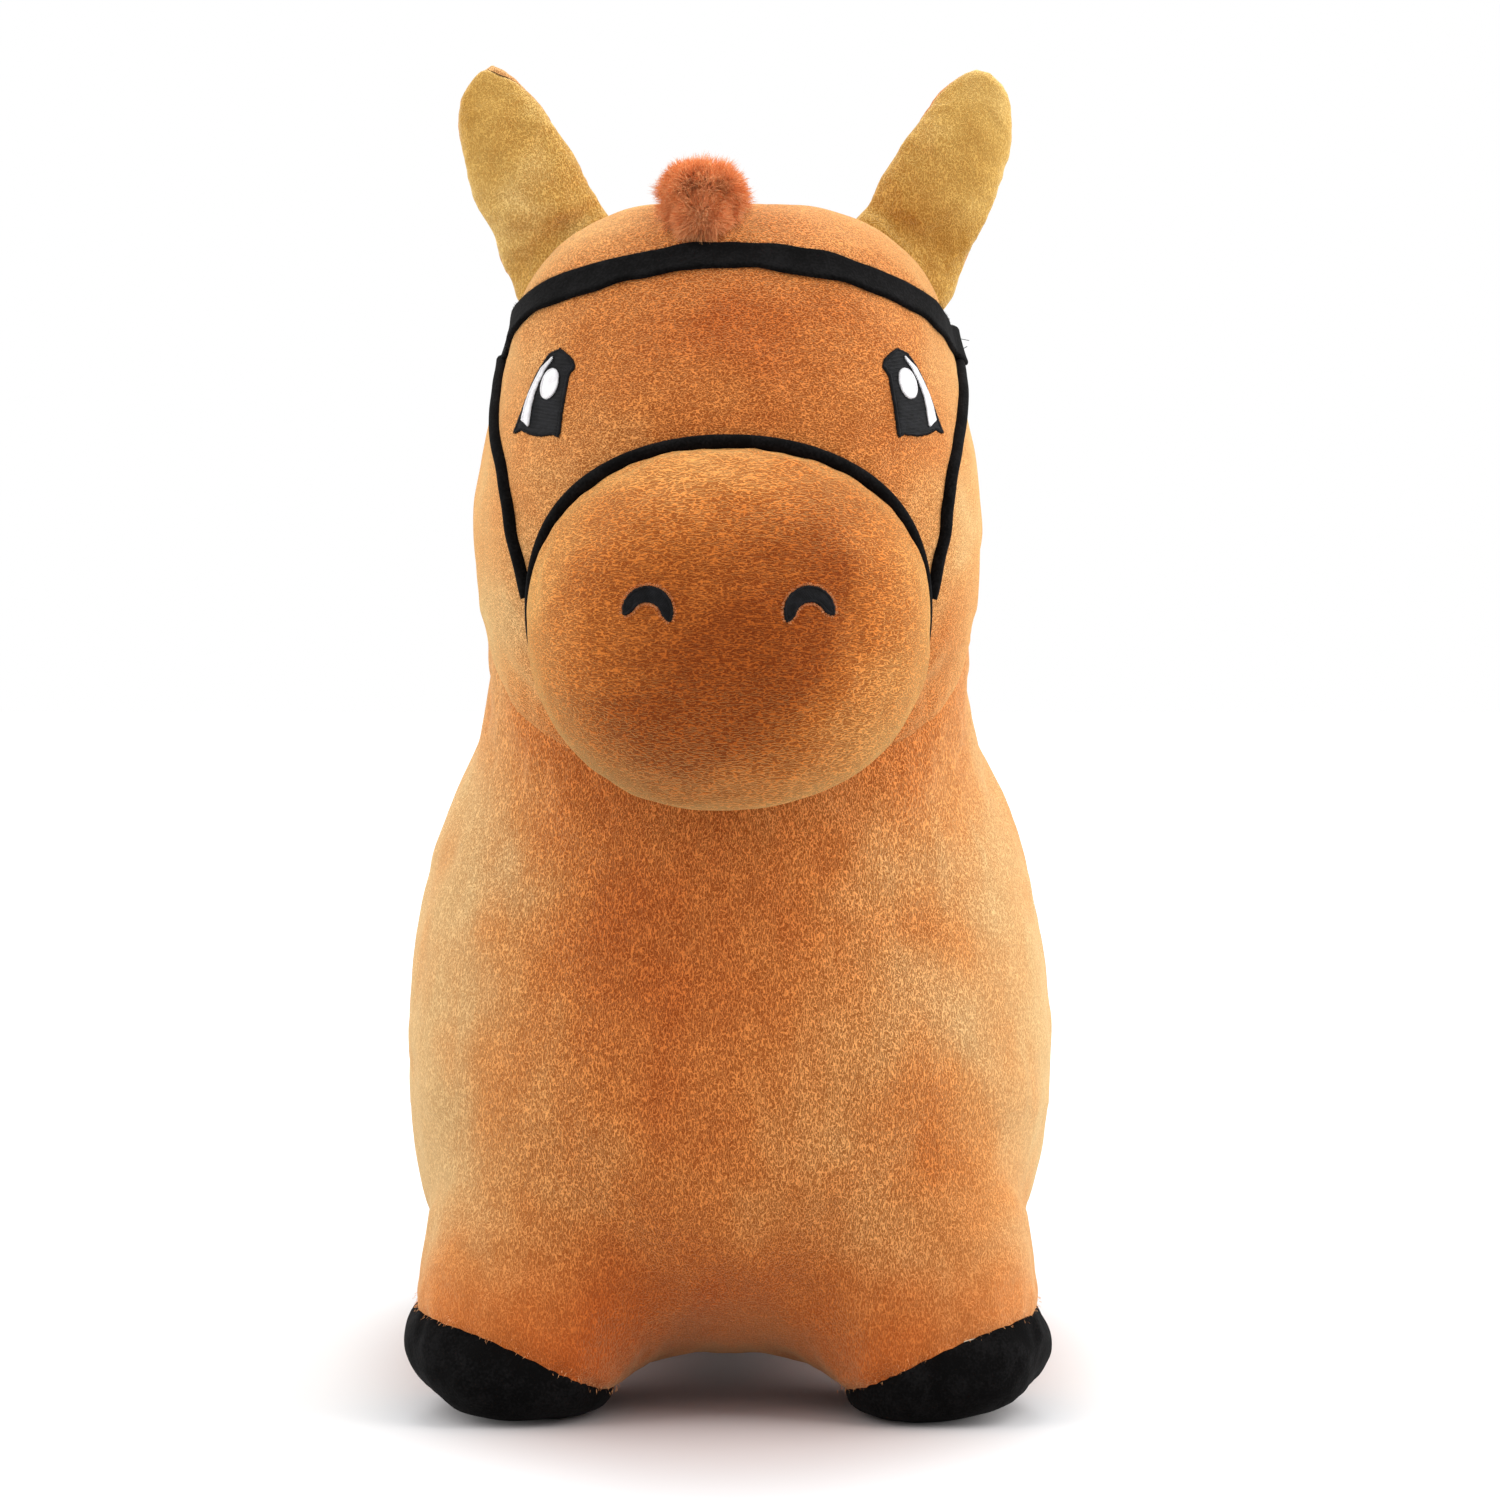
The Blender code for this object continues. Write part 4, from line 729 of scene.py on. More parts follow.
@dataclass
class MuzzleShape:
    """The egg of the muzzle, which points forwards and a little down."""

    centre: Place = (0.0, -0.2150, 0.3215)
    tilt: float = math.radians(16.0)
    half_width: float = 0.0800
    half_height: float = 0.0730
    forward: float = 0.0730
    backward: float = 0.0500
    power: float = 2.15
    rings: int = 60
    around: int = 96

    def axes(self) -> tuple[Rows, Rows]:
        """The muzzle's forward and upward directions."""
        ahead = np.array([0.0, -math.cos(self.tilt), -math.sin(self.tilt)])
        upward = np.array([0.0, -math.sin(self.tilt), math.cos(self.tilt)])
        return ahead, upward

    def form(self) -> Form:
        """The muzzle's outer form."""
        ahead, upward = self.axes()
        steps = np.linspace(0.04, math.pi - 0.04, self.rings)
        turns = turns_round(self.around)
        reach = np.where(np.cos(steps) >= 0, self.forward, self.backward)
        along = reach * signed_power(np.cos(steps), 2 / self.power)
        size = np.abs(np.sin(steps)) ** (2 / self.power)
        up = signed_power(np.cos(turns), 2 / self.power) * self.half_height
        across = signed_power(np.sin(turns), 2 / self.power) * self.half_width
        rings = np.array(self.centre) + along[:, None, None] * ahead
        rings = rings + size[:, None, None] * up[None, :, None] * upward
        rings = rings + size[:, None, None] * across[None, :, None] * np.array([1.0, 0.0, 0.0])
        return loft(rings)

    def turns(self, points: Rows) -> Rows:
        """Angles round the muzzle from its top."""
        offset = points - np.array(self.centre)
        return np.arctan2(offset[:, 0], offset @ self.axes()[1])


# Shader maths and finishes


class Value:
    """A number that varies over a surface; its operators add Math nodes."""

    def __init__(self, recipe: "Recipe", socket: bpy.types.NodeSocket) -> None:
        """Wrap an output socket of a recipe's node."""
        self.recipe = recipe
        self.socket = socket

    def _math(self, operation: str, first: Link, second: Link) -> "Value":
        """Add one Math node."""
        node = self.recipe.node("ShaderNodeMath", {"operation": operation}, {0: first, 1: second})
        return Value(self.recipe, node.outputs[0])

    def __add__(self, other: Link) -> "Value":
        """This plus other."""
        return self._math("ADD", self, other)

    __radd__ = __add__

    def __sub__(self, other: Link) -> "Value":
        """This minus other."""
        return self._math("SUBTRACT", self, other)

    def __rsub__(self, other: Link) -> "Value":
        """Other minus this."""
        return self._math("SUBTRACT", other, self)

    def __mul__(self, other: Link) -> "Value":
        """This times other."""
        return self._math("MULTIPLY", self, other)

    __rmul__ = __mul__

    def magnitude(self) -> "Value":
        """This without its sign."""
        return self._math("ABSOLUTE", self, 0.0)

    def rise(self, low: float, high: float) -> "Value":
        """0 below low, 1 above high, and a smooth rise between them."""
        sockets = {"Value": self, "From Min": low, "From Max": high}
        node = self.recipe.node("ShaderNodeMapRange", {"interpolation_type": "SMOOTHSTEP"}, sockets)
        return Value(self.recipe, node.outputs["Result"])


class Recipe:
    """The nodes of one material."""

    def __init__(self, name: str) -> None:
        """Start a material with its shader and object coordinates."""
        self.material = bpy.data.materials.new(name)
        self.material.use_nodes = True
        self.tree = self.material.node_tree
        self.shader = self.tree.nodes["Principled BSDF"]
        self.coordinates = self.node("ShaderNodeTexCoord").outputs["Object"]

    def node(self, kind: str, settings: dict | None = None, sockets: dict | None = None) -> bpy.types.Node:
        """Add a node.

        Args:
            kind: The node's type.
            settings: Its own settings, and the stops of a colour ramp as places and colours.
            sockets: Values or links for its inputs, by name or number.

        Returns:
            The node.
        """
        made = self.tree.nodes.new(kind)
        for name, setting in (settings or {}).items():
            if name == "stops":
                self._set_stops(made.color_ramp.elements, setting)
            else:
                setattr(made, name, setting)
        for name, value in (sockets or {}).items():
            self.fill(made.inputs[name], value)
        return made

    def _set_stops(self, elements: bpy.types.ColorRampElements, stops: Sequence) -> None:
        """Set a colour ramp's stops."""
        while len(elements) < len(stops):
            elements.new(1.0)
        for element, (place, colour) in zip(elements, stops):
            element.position = place
            element.color = (*colour, 1.0)

    def fill(self, socket: bpy.types.NodeSocket, value: Link) -> None:
        """Link a socket or set its value."""
        if isinstance(value, Value):
            value = value.socket
        if isinstance(value, bpy.types.NodeSocket):
            self.tree.links.new(value, socket)
        elif isinstance(value, tuple) and socket.type == "RGBA":
            socket.default_value = (*value[:3], 1.0)
        else:
            socket.default_value = value

    def stretched(self, factors: Place) -> bpy.types.NodeSocket:
        """The object coordinates, each multiplied by its own factor."""
        node = self.node("ShaderNodeVectorMath", {"operation": "MULTIPLY"}, {0: self.coordinates, 1: factors})
        return node.outputs[0]

    def noise(self, size: float, detail: float = 2.0, warp: float = 0.0, coordinates: Link = None) -> Value:
        """A soft uneven pattern.

        Args:
            size: The length of its largest features.
            detail: How many finer layers it has.
            warp: How far it is distorted.
            coordinates: What it is laid out on, or None for the object coordinates.

        Returns:
            The pattern, mostly from 0.3 to 0.7.
        """
        sockets = {"Vector": coordinates or self.coordinates, "Scale": 1.0 / size, "Detail": detail}
        node = self.node("ShaderNodeTexNoise", {}, {**sockets, "Roughness": 0.55, "Distortion": warp})
        return Value(self, node.outputs["Fac"])

    def distance(self, centre: Place) -> Value:
        """The distance from a point."""
        node = self.node("ShaderNodeVectorMath", {"operation": "DISTANCE"}, {0: self.coordinates, 1: centre})
        return Value(self, node.outputs["Value"])

    def axis(self, name: str) -> Value:
        """One of the object coordinates, X, Y or Z."""
        node = self.node("ShaderNodeSeparateXYZ", {}, {0: self.coordinates})
        return Value(self, node.outputs[name])

    def mix(self, share: Link, first: Link, second: Link, blend: str = "MIX") -> bpy.types.NodeSocket:
        """Blend two colours by a share."""
        settings = {"data_type": "RGBA", "blend_type": blend}
        return self.node("ShaderNodeMix", settings, {0: share, 6: first, 7: second}).outputs[2]

    def ramp(self, value: Link, stops: Sequence) -> bpy.types.NodeSocket:
        """A colour for each value, between stops."""
        return self.node("ShaderNodeValToRGB", {"stops": stops}, {0: value}).outputs["Color"]

    def bump(self, height: Value, depth: float, strength: float = 1.0) -> None:
        """Raise the surface by a height from 0 to 1 times a depth."""
        sockets = {"Height": height, "Distance": depth, "Strength": strength}
        self.fill(self.shader.inputs["Normal"], self.node("ShaderNodeBump", {}, sockets).outputs[0])

    def finish(self, **sockets: Link) -> Material:
        """Fill the shader's sockets, named with underscores for spaces."""
        for name, value in sockets.items():
            self.fill(self.shader.inputs[name.replace("_", " ").title().replace("Ior", "IOR")], value)
        return self.material


@dataclass(frozen=True)
class Plush:
    """Short-pile plush: soft patches of brushed nap, fine knitted ribs with painted shade in their hollows, a
    pale sheen bloom at its edges, painted light on its sides, painted shade down its middle and low on the
    body, and a painted shadow round a point where one is given.
    """

    name: str
    dark: Colour
    middle: Colour
    light: Colour
    # The palest tone, mostly reached through the painted light on the sides.
    pale: Colour = (0.98, 0.640, 0.290)
    # The deep red-brown of the painted shade low on the body.
    blush: Colour = (0.54, 0.110, 0.018)
    stops: tuple[float, ...] = (0.34, 0.50, 0.61, 0.76)
    # Painted shade: the hollows between the ribs are multiplied by this colour where tufts is low.
    hollow: Colour = (0.32, 0.215, 0.135)
    bloom: Colour = (1.0, 0.87, 0.51)
    bloom_weight: float = 0.55
    rib: Place = (1.0, 1.0, 0.36)
    rib_pitch: float = 0.00076
    unevenness: float = 0.66
    # Painted light: how much paler the sides are painted, rising over two bands of distance from the middle
    # plane.
    flank: float = 0.19
    flank_rises: tuple[tuple[Pair, float], ...] = (((0.015, 0.100), 0.45), ((0.074, 0.124), 0.55))
    # Towards the sides the ribs even out to the calm level, which sets how much painted rib shade shows
    # there.
    calm_rise: Pair = (0.055, 0.130)
    calm_share: float = 0.55
    calm: float = 0.60
    # Painted shade: a darker band down the middle plane, and its half-width.
    spine: float = 0.035
    spine_half: float = 0.070
    # Painted shade low on the body: how much darker it is, and the heights over which it fades out.
    belly: float = 0.10
    belly_rise: Pair = (0.018, 0.100)
    pile: float = 0.0004
    patch: float = 0.085
    shadow_centre: Place | None = None
    shadow_radius: float = 0.06
    shadow: float = 0.20

    def make(self) -> Material:
        """Build the material."""
        recipe = Recipe(self.name)
        broad = recipe.noise(self.patch, 2.0, 0.3)
        nap = recipe.noise(self.patch * 0.20, 1.0, 0.5, recipe.stretched(self.rib))
        ribs = recipe.noise(self.rib_pitch, 0.0, 0.3, recipe.stretched(self.rib))
        grain = recipe.noise(self.rib_pitch * 0.6, 0.0)
        worms = 1.0 - (ribs - 0.5).magnitude().rise(0.010, 0.130)
        tufts = worms * 0.70 + grain.rise(0.30, 0.70) * 0.30
        tone = ((broad - 0.5) * 0.84 + (nap - 0.5) * 0.20) * self.unevenness + 0.5
        aside = recipe.axis("X").magnitude()
        # Towards the sides the ribs even out to the calm level, which sets the painted rib shade there and
        # flattens their bumps.
        tufts = tufts + (self.calm - tufts) * aside.rise(*self.calm_rise) * self.calm_share
        # Painted light on the sides: the tone rises towards the pale colour away from the middle plane.
        inner, outer = (aside.rise(*rise) * share for rise, share in self.flank_rises)
        tone = tone + (inner + outer) * self.flank
        # Painted shade in a band down the middle plane.
        tone = tone - (1.0 - aside.rise(0.0, self.spine_half)) * self.spine
        # Painted shade under the body: darker and redder towards the bottom.
        low = 1.0 - recipe.axis("Z").rise(*self.belly_rise)
        tone = tone - low * self.belly
        if self.shadow_centre is not None:
            away = recipe.distance(self.shadow_centre).rise(0.0, self.shadow_radius)
            tone = tone - (1.0 - away) * self.shadow
        colours = (self.dark, self.middle, self.light, self.pale)
        colour = recipe.ramp(tone, tuple(zip(self.stops, colours)))
        # Painted shade in the hollows between the ribs: the colour is multiplied by the hollow colour where
        # tufts is low.
        hollow = recipe.mix(1.0, colour, self.hollow, "MULTIPLY")
        colour = recipe.mix(tufts, hollow, colour)
        colour = recipe.mix(low * self.belly * 5.0, colour, self.blush)
        recipe.bump(tufts + nap * 0.8, self.pile, 0.8)
        recipe.finish(base_color=colour, roughness=0.92, specular_ior_level=0.1)
        return recipe.finish(sheen_weight=self.bloom_weight, sheen_roughness=0.42, sheen_tint=self.bloom)


@dataclass(frozen=True)
class Velour:
    """Black velour with a faint grey nap."""

    name: str = "black_velour"
    colour: Colour = (0.0022, 0.0020, 0.0020)
    nap: Colour = (0.0075, 0.0070, 0.0072)

    def make(self) -> Material:
        """Build the material."""
        recipe = Recipe(self.name)
        pile = recipe.noise(0.0011, 1.5, 0.3)
        lint = recipe.noise(0.012, 3.0, 0.5)
        colour = recipe.mix((pile * 0.5 + lint * 0.5).rise(0.42, 0.66), self.colour, self.nap)
        recipe.bump(pile + lint * 0.6, 0.0004, 0.7)
        return recipe.finish(base_color=colour, roughness=0.9, specular_ior_level=0.05, sheen_weight=0.012)


@dataclass(frozen=True)
class Thread:
    """Embroidery thread with a soft lustre."""

    name: str
    colour: Colour
    worn: Colour

    def make(self) -> Material:
        """Build the material."""
        recipe = Recipe(self.name)
        twist = recipe.noise(0.0005, 1.0)
        tone = recipe.noise(0.003, 2.0)
        colour = recipe.mix((tone * 0.6 + twist * 0.4).rise(0.35, 0.68), self.colour, self.worn)
        recipe.bump(twist, 0.00012, 0.6)
        return recipe.finish(base_color=colour, roughness=0.55, specular_ior_level=0.12)


@dataclass(frozen=True)
class LongPile:
    """Long fluffy fibre, in clumps whose colour wanders from a deep red through orange to pale."""

    name: str = "long_pile"
    root: Colour = (0.70, 0.240, 0.085)
    middle: Colour = (0.86, 0.380, 0.150)
    tip: Colour = (0.96, 0.54, 0.26)
    clump: float = 0.0045

    def make(self) -> Material:
        """Build the material."""
        recipe = Recipe(self.name)
        clumps = recipe.noise(self.clump, 2.0, 0.4)
        fibres = recipe.noise(self.clump * 0.2, 1.0)
        tone = clumps * 0.6 + fibres * 0.4
        colour = recipe.ramp(tone, ((0.34, self.root), (0.50, self.middle), (0.66, self.tip)))
        recipe.finish(base_color=colour, roughness=(1.0 - clumps * 0.35), specular_ior_level=0.25)
        return recipe.finish(sheen_weight=0.30, sheen_tint=(1.0, 0.78, 0.5))


@dataclass(frozen=True)
class Cloth:
    """A plain woven cloth."""

    name: str
    colour: Colour
    dark: Colour
    pitch: float = 0.0008

    def make(self) -> Material:
        """Build the material."""
        recipe = Recipe(self.name)
        waves = []
        for axis in ("X", "Y"):
            turns = recipe.axis(axis) * (2 * math.pi / self.pitch)
            node = recipe.node("ShaderNodeMath", {"operation": "SINE"}, {0: turns})
            waves.append(Value(recipe, node.outputs[0]))
        weave = (waves[0] * waves[1]) * 0.5 + 0.5
        soil = recipe.noise(0.02, 3.0)
        colour = recipe.mix(weave * 0.6 + soil * 0.4, self.dark, self.colour)
        recipe.bump(weave, 0.00015, 0.8)
        return recipe.finish(base_color=colour, roughness=0.85)


@dataclass(frozen=True)
class Fluff:
    """Loose stuffing, soft and lumpy."""

    name: str = "stuffing"
    colour: Colour = (0.86, 0.85, 0.83)
    shade: Colour = (0.62, 0.60, 0.58)

    def make(self) -> Material:
        """Build the material."""
        recipe = Recipe(self.name)
        lumps = recipe.noise(0.012, 4.0, 0.8)
        colour = recipe.mix(lumps.rise(0.3, 0.7), self.shade, self.colour)
        recipe.bump(lumps, 0.003)
        return recipe.finish(base_color=colour, roughness=0.97)


@dataclass(frozen=True)
class Vinyl:
    """Soft inflatable vinyl with a fine grain and faint creases."""

    name: str = "bladder_vinyl"
    colour: Colour = (0.70, 0.60, 0.44)
    shade: Colour = (0.55, 0.44, 0.30)

    def make(self) -> Material:
        """Build the material."""
        recipe = Recipe(self.name)
        creases = recipe.noise(0.02, 3.0, 1.2)
        grain = recipe.noise(0.0012, 1.0)
        colour = recipe.mix(creases.rise(0.3, 0.7), self.shade, self.colour)
        recipe.bump(creases * 0.7 + grain * 0.3, 0.0006, 0.6)
        return recipe.finish(base_color=colour, roughness=grain * 0.3 + 0.28)


@dataclass(frozen=True)
class ZipMetal:
    """Blackened zip metal, worn bright along its scratches."""

    name: str = "zip_metal"
    colour: Colour = (0.34, 0.34, 0.35)
    worn: Colour = (0.62, 0.61, 0.60)

    def make(self) -> Material:
        """Build the material."""
        recipe = Recipe(self.name)
        scratches = recipe.noise(0.0012, 3.0, 0.5, recipe.stretched((1.0, 0.15, 1.0)))
        colour = recipe.mix(scratches.rise(0.5, 0.7), self.colour, self.worn)
        recipe.bump(scratches, 0.00005, 0.5)
        return recipe.finish(base_color=colour, roughness=0.5 - scratches * 0.3, metallic=1.0)


@dataclass(frozen=True)
class ZipNylon:
    """The black nylon of the zip's teeth."""

    name: str = "zip_nylon"
    colour: Colour = (0.016, 0.016, 0.017)
    worn: Colour = (0.05, 0.05, 0.052)

    def make(self) -> Material:
        """Build the material."""
        recipe = Recipe(self.name)
        scuffs = recipe.noise(0.0025, 3.0)
        colour = recipe.mix(scuffs.rise(0.5, 0.75), self.colour, self.worn)
        recipe.bump(scuffs, 0.00004, 0.6)
        return recipe.finish(base_color=colour, roughness=scuffs * 0.4 + 0.2)


@dataclass
class Wardrobe:
    """Every finish on the horse, each made once."""

    def __post_init__(self) -> None:
        """Make the materials."""
        dark, middle, light = (0.71, 0.176, 0.032), (0.89, 0.313, 0.076), (0.98, 0.445, 0.142)
        self.body = Plush("orange_plush", dark, middle, light, bloom_weight=0.50, calm=0.42).make()
        head_bloom, head_rib = (1.0, 0.89, 0.44), (0.5, 0.7, 0.9)
        self.head = Plush("orange_plush_head", dark, middle, light, bloom=head_bloom, rib=head_rib).make()
        self.muzzle = Plush(
            "orange_plush_muzzle",
            (0.50, 0.112, 0.014), (0.78, 0.235, 0.040), (0.92, 0.365, 0.090), (0.94, 0.460, 0.140),
            bloom=(1.0, 0.80, 0.32), bloom_weight=0.68, rib=(0.28, 0.28, 1.0), unevenness=0.8,
            flank=0.03, shadow_centre=(0.0, -0.290, 0.300), shadow_radius=0.085,
        ).make()
        # The gold plush's hollow colour is the painted shade between its ribs.
        self.gold = Plush(
            "gold_plush",
            (0.62, 0.330, 0.064), (0.80, 0.500, 0.138), (0.91, 0.640, 0.240), (0.94, 0.720, 0.320),
            hollow=(0.48, 0.38, 0.26), bloom=(1.0, 0.94, 0.60), rib=(0.8, 1.0, 0.5),
            patch=0.05, flank=0.0, spine=0.0,
        ).make()
        self.velour = Velour().make()
        self.black_thread = Thread("black_thread", (0.0028, 0.0028, 0.0032), (0.012, 0.012, 0.014)).make()
        self.white_thread = Thread("white_thread", (0.78, 0.76, 0.77), (0.94, 0.93, 0.94)).make()
        self.pile = LongPile().make()
        self.stuffing = Fluff().make()
        self.vinyl = Vinyl().make()
        self.lining = Cloth("lining_cloth", (0.78, 0.75, 0.68), (0.55, 0.52, 0.46)).make()
        self.zip_tape = Cloth("zip_tape", (0.028, 0.028, 0.030), (0.010, 0.010, 0.011), 0.0006).make()
        self.zip_nylon = ZipNylon().make()
        self.zip_metal = ZipMetal().make()


def show(piece: Piece, finish: Material, slot: str, body: str | None, *nodes: str) -> None:
    """Dress a piece and tell the frame where it belongs.

    Args:
        piece: The piece.
        finish: Its material.
        slot: A material slot's name; not used.
        body: The body that it rides on, or None to leave it unattached.
        nodes: The frame's nodes that it stands for.
    """
    dress(piece, finish)
    if nodes:
        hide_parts(*nodes)
    if body is not None:
        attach(piece, body)
    log.info("%s: %d faces", piece.name, len(piece.data.polygons))


# The plush skin


@dataclass
class Skin:
    """The plush over the body, head, legs and hooves, as one smooth surface cut along its seams."""

    wardrobe: Wardrobe
    horse: HorseShape
    legs: list[LegShape]
    muzzle: Form
    voxel: float = 0.0045
    allowance: float = 0.0030
    leg_lift: float = 0.0030
    fillet: float = 0.030
    overlap: float = 0.0040
    zip_half: float = 0.0125
    zip_front: float = -0.0853
    zip_rear: float = 0.1153
    zip_height: float = 0.012
    filling: Filling = Filling()
    outer_side: Pair = (0.095, 0.118)
    sole_hold: Pair = (0.012, 0.004)
    melt_rounds: int = 70
    neck_groove: Pair = (0.0022, 0.0035)
    hoof_groove: Pair = (0.0022, 0.0030)
    leg_groove: Pair = (0.0009, 0.0025)
    centre_width: float = 0.0022
    pieces: dict[str, Piece] = field(default_factory=dict)
    spans: dict[str, tuple] = field(default_factory=dict)

    def build(self) -> None:
        """Make the whole skin, cut it into its panels and dress them."""
        self.form = self.horse.form()
        self.leg_forms = [leg.form() for leg in self.legs]
        whole = self.whole()
        self.cut_seams(whole)
        self.split(whole)
        discard(whole)

    def whole(self) -> Piece:
        """Melt the body and legs into one surface with soft creases between them."""
        made = joined("skin", [self.form, *self.leg_forms])
        remesh(made, self.voxel)
        corners = points_of(made)
        body_depth = np.abs(self.form.depth(corners))
        leg_depth = np.min([np.abs(form.depth(corners)) for form in self.leg_forms], axis=0)
        near = 1.0 - smoothstep(self.fillet * 0.4, self.fillet, np.maximum(body_depth, leg_depth))
        outer = smoothstep(*self.outer_side, np.abs(corners[:, 0]))
        relax(made, near * (0.6 - 0.45 * outer), self.melt_rounds)
        corners = points_of(made)
        seams = np.abs(np.column_stack([
            self.horse.above_neck(corners),
            self.muzzle_field(corners),
            *[np.where(leg.near(corners) > 0, leg.above_seam(corners), 1.0) for leg in self.legs],
        ])).min(axis=1)
        held = np.maximum(self.filling.held(seams), smoothstep(*self.sole_hold, corners[:, 2]))
        inflate(made, held, seams, self.filling)
        return made

    def leg_field(self, points: Rows) -> Rows:
        """Positive on the legs, which stand out from the body."""
        return self.form.depth(points) - self.leg_lift

    def muzzle_field(self, points: Rows) -> Rows:
        """Positive outside the muzzle, less an overlap."""
        return self.muzzle.depth(points) + self.overlap

    def cut_seams(self, whole: Piece) -> None:
        """Cut the skin along every seam and opening."""
        cut_along(whole, self.horse.above_neck)
        cut_along(whole, lambda p: p[:, 0], lambda p: -self.horse.above_neck(p) + 0.004)
        for leg in self.legs:
            cut_along(whole, leg.above_seam, leg.near)
            round_leg = lambda p, leg=leg: np.minimum(leg.near(p), leg.above_seam(p) - 0.002)
            cut_along(whole, self.leg_field, round_leg)
        cut_along(whole, self.muzzle_field, lambda p: 0.02 - np.abs(self.muzzle.depth(p)))
        floor = lambda p: BELLY + self.zip_height - p[:, 2]
        beside = lambda p: np.abs(p[:, 0]) - self.zip_half
        length = lambda p: np.minimum(p[:, 1] - self.zip_front, self.zip_rear - p[:, 1])
        cut_along(whole, beside, lambda p: np.minimum(floor(p), length(p) + 0.006))
        cut_along(whole, length, lambda p: np.minimum(floor(p), self.zip_half + 0.004 - np.abs(p[:, 0])))

    def in_zip(self, points: Rows) -> Rows:
        """Which points lie in the zip's opening."""
        across = np.abs(points[:, 0]) < self.zip_half - 1e-4
        along = (points[:, 1] > self.zip_front + 1e-4) & (points[:, 1] < self.zip_rear - 1e-4)
        return across & along & (points[:, 2] < BELLY + self.zip_height)

    def panels(self, middles: Rows) -> Rows:
        """The panel number of each face: 0 open, 1 and 2 the body, 3 the head, then legs and hooves."""
        numbers = np.where(middles[:, 0] > 0, 1, 2)
        numbers[self.horse.above_neck(middles) >= 0] = 3
        standing = self.leg_field(middles) > 0
        for i, leg in enumerate(self.legs):
            close, above = leg.near(middles) > 0, leg.above_seam(middles) >= 0
            numbers[close & above & standing] = 4 + i
            numbers[close & ~above] = 8 + i
        numbers[(self.muzzle_field(middles) <= 0) | self.in_zip(middles)] = 0
        return numbers

    def lift(self, points: Rows) -> Rows:
        """How far uneven filling and the seams move the plush outwards."""
        lift = Waves(3, 0.070, 0.00045).at(points) + Waves(5, 0.024, 0.00018).at(points)
        neck = self.horse.above_neck(points)
        turns = np.arctan2(points[:, 0], -(points[:, 1] + 0.124))
        lift += groove(neck, *self.neck_groove)
        lift += Puckers(11, 14, 34, 0.00055).at(turns) * near_zero(neck, 0.010)
        back = 0.0003 + 0.0012 * smoothstep(0.0, 0.12, points[:, 1])
        lift += groove(points[:, 0], 1.0, self.centre_width) * back * (neck < 0)
        standing = self.leg_field(points)
        for i, leg in enumerate(self.legs):
            close = leg.near(points) > -0.01
            above = leg.above_seam(points)
            folds = Puckers(21 + 7 * i, 9, 26, 0.0008).at(leg.turns(points))
            lift += close * (groove(above, *self.hoof_groove) + folds * near_zero(above, 0.009))
            outer = smoothstep(0.100, 0.122, points[:, 0] * leg.side.value)
            lift += close * outer * groove(standing, *self.leg_groove)
            lumps = 0.0006 * smoothstep(0.001, 0.010, points[:, 2]) * Waves(41 + i, 0.030).at(points)
            lift += close * (above < 0) * lumps
        return lift

    def split(self, whole: Piece) -> None:
        """Round and fold the whole skin, then copy its panels out and dress them."""
        mark_panels(whole, self.panels(middles_of(whole)))
        self.drop_open(whole)
        subdivide(whole)
        points = points_of(whole)
        moved = points + normals_of(whole) * self.lift(points)[:, None]
        moved[:, 2] = np.maximum(moved[:, 2], 0.0002)
        set_points(whole, moved)
        normals = normals_of(whole)
        names = ["body_plush_left", "body_plush_right", "head_plush"]
        names += [f"{part}_plush_{leg.label}" for part in ("leg", "hoof") for leg in self.legs]
        for number, name in enumerate(names, 1):
            piece, used = panel_of(whole, number, name)
            places = points[used]
            sharp = np.abs(self.horse.above_neck(places)) < 0.002
            for leg in self.legs:
                sharp |= (np.abs(leg.above_seam(places)) < 0.002) & (leg.near(places) > -0.01)
            shades = np.where(sharp[:, None], normals_of(piece), normals[used])
            turn_in_edges(piece, self.allowance, shades)
            self.pieces[name] = piece
        self.dress()

    def drop_open(self, whole: Piece) -> None:
        """Delete the faces over the muzzle and the zip."""
        with editing(whole) as work:
            layer = work.faces.layers.int["panel"]
            bmesh.ops.delete(work, geom=[face for face in work.faces if face[layer] == 0], context="FACES")

    def dress(self) -> None:
        """Dress every panel and tell the frame where it belongs."""
        for side in Side:
            half = self.pieces[f"body_plush_{side.label}"]
            show(half, self.wardrobe.body, "orange_plush", "horse", f"body_cover_{side.label}")
        show(self.pieces["head_plush"], self.wardrobe.head, "orange_plush", "horse", "head_cover")
        for leg in self.legs:
            hoof = self.pieces[f"hoof_plush_{leg.label}"]
            show(hoof, self.wardrobe.velour, "black_plush", f"hoof_{leg.label}", f"hoof_{leg.label}")
            self.dress_leg(self.pieces[f"leg_plush_{leg.label}"], leg)

    def dress_leg(self, piece: Piece, leg: LegShape) -> None:
        """Dress a leg's cover, and keep the span over which it is to shorten as its hoof slides up."""
        show(piece, self.wardrobe.body, "orange_plush", None, f"leg_cover_{leg.label}")
        rim = self.leg_field(points_of(piece)) < 0.0008
        reach = max(float(np.min(leg.above_seam(points_of(piece)[rim]))), 0.006)
        start = leg.seam_middle() + leg.seam_normal() * reach
        end = leg.seam_middle() + leg.seam_normal() * leg.seam_rise
        self.spans[leg.label] = (tuple(start), tuple(end))
        f"hoof_{leg.label}"
        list(self.spans[leg.label])
        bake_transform(piece)
        log.info("%s shortens over %.1f mm", piece.name, reach * 1000)


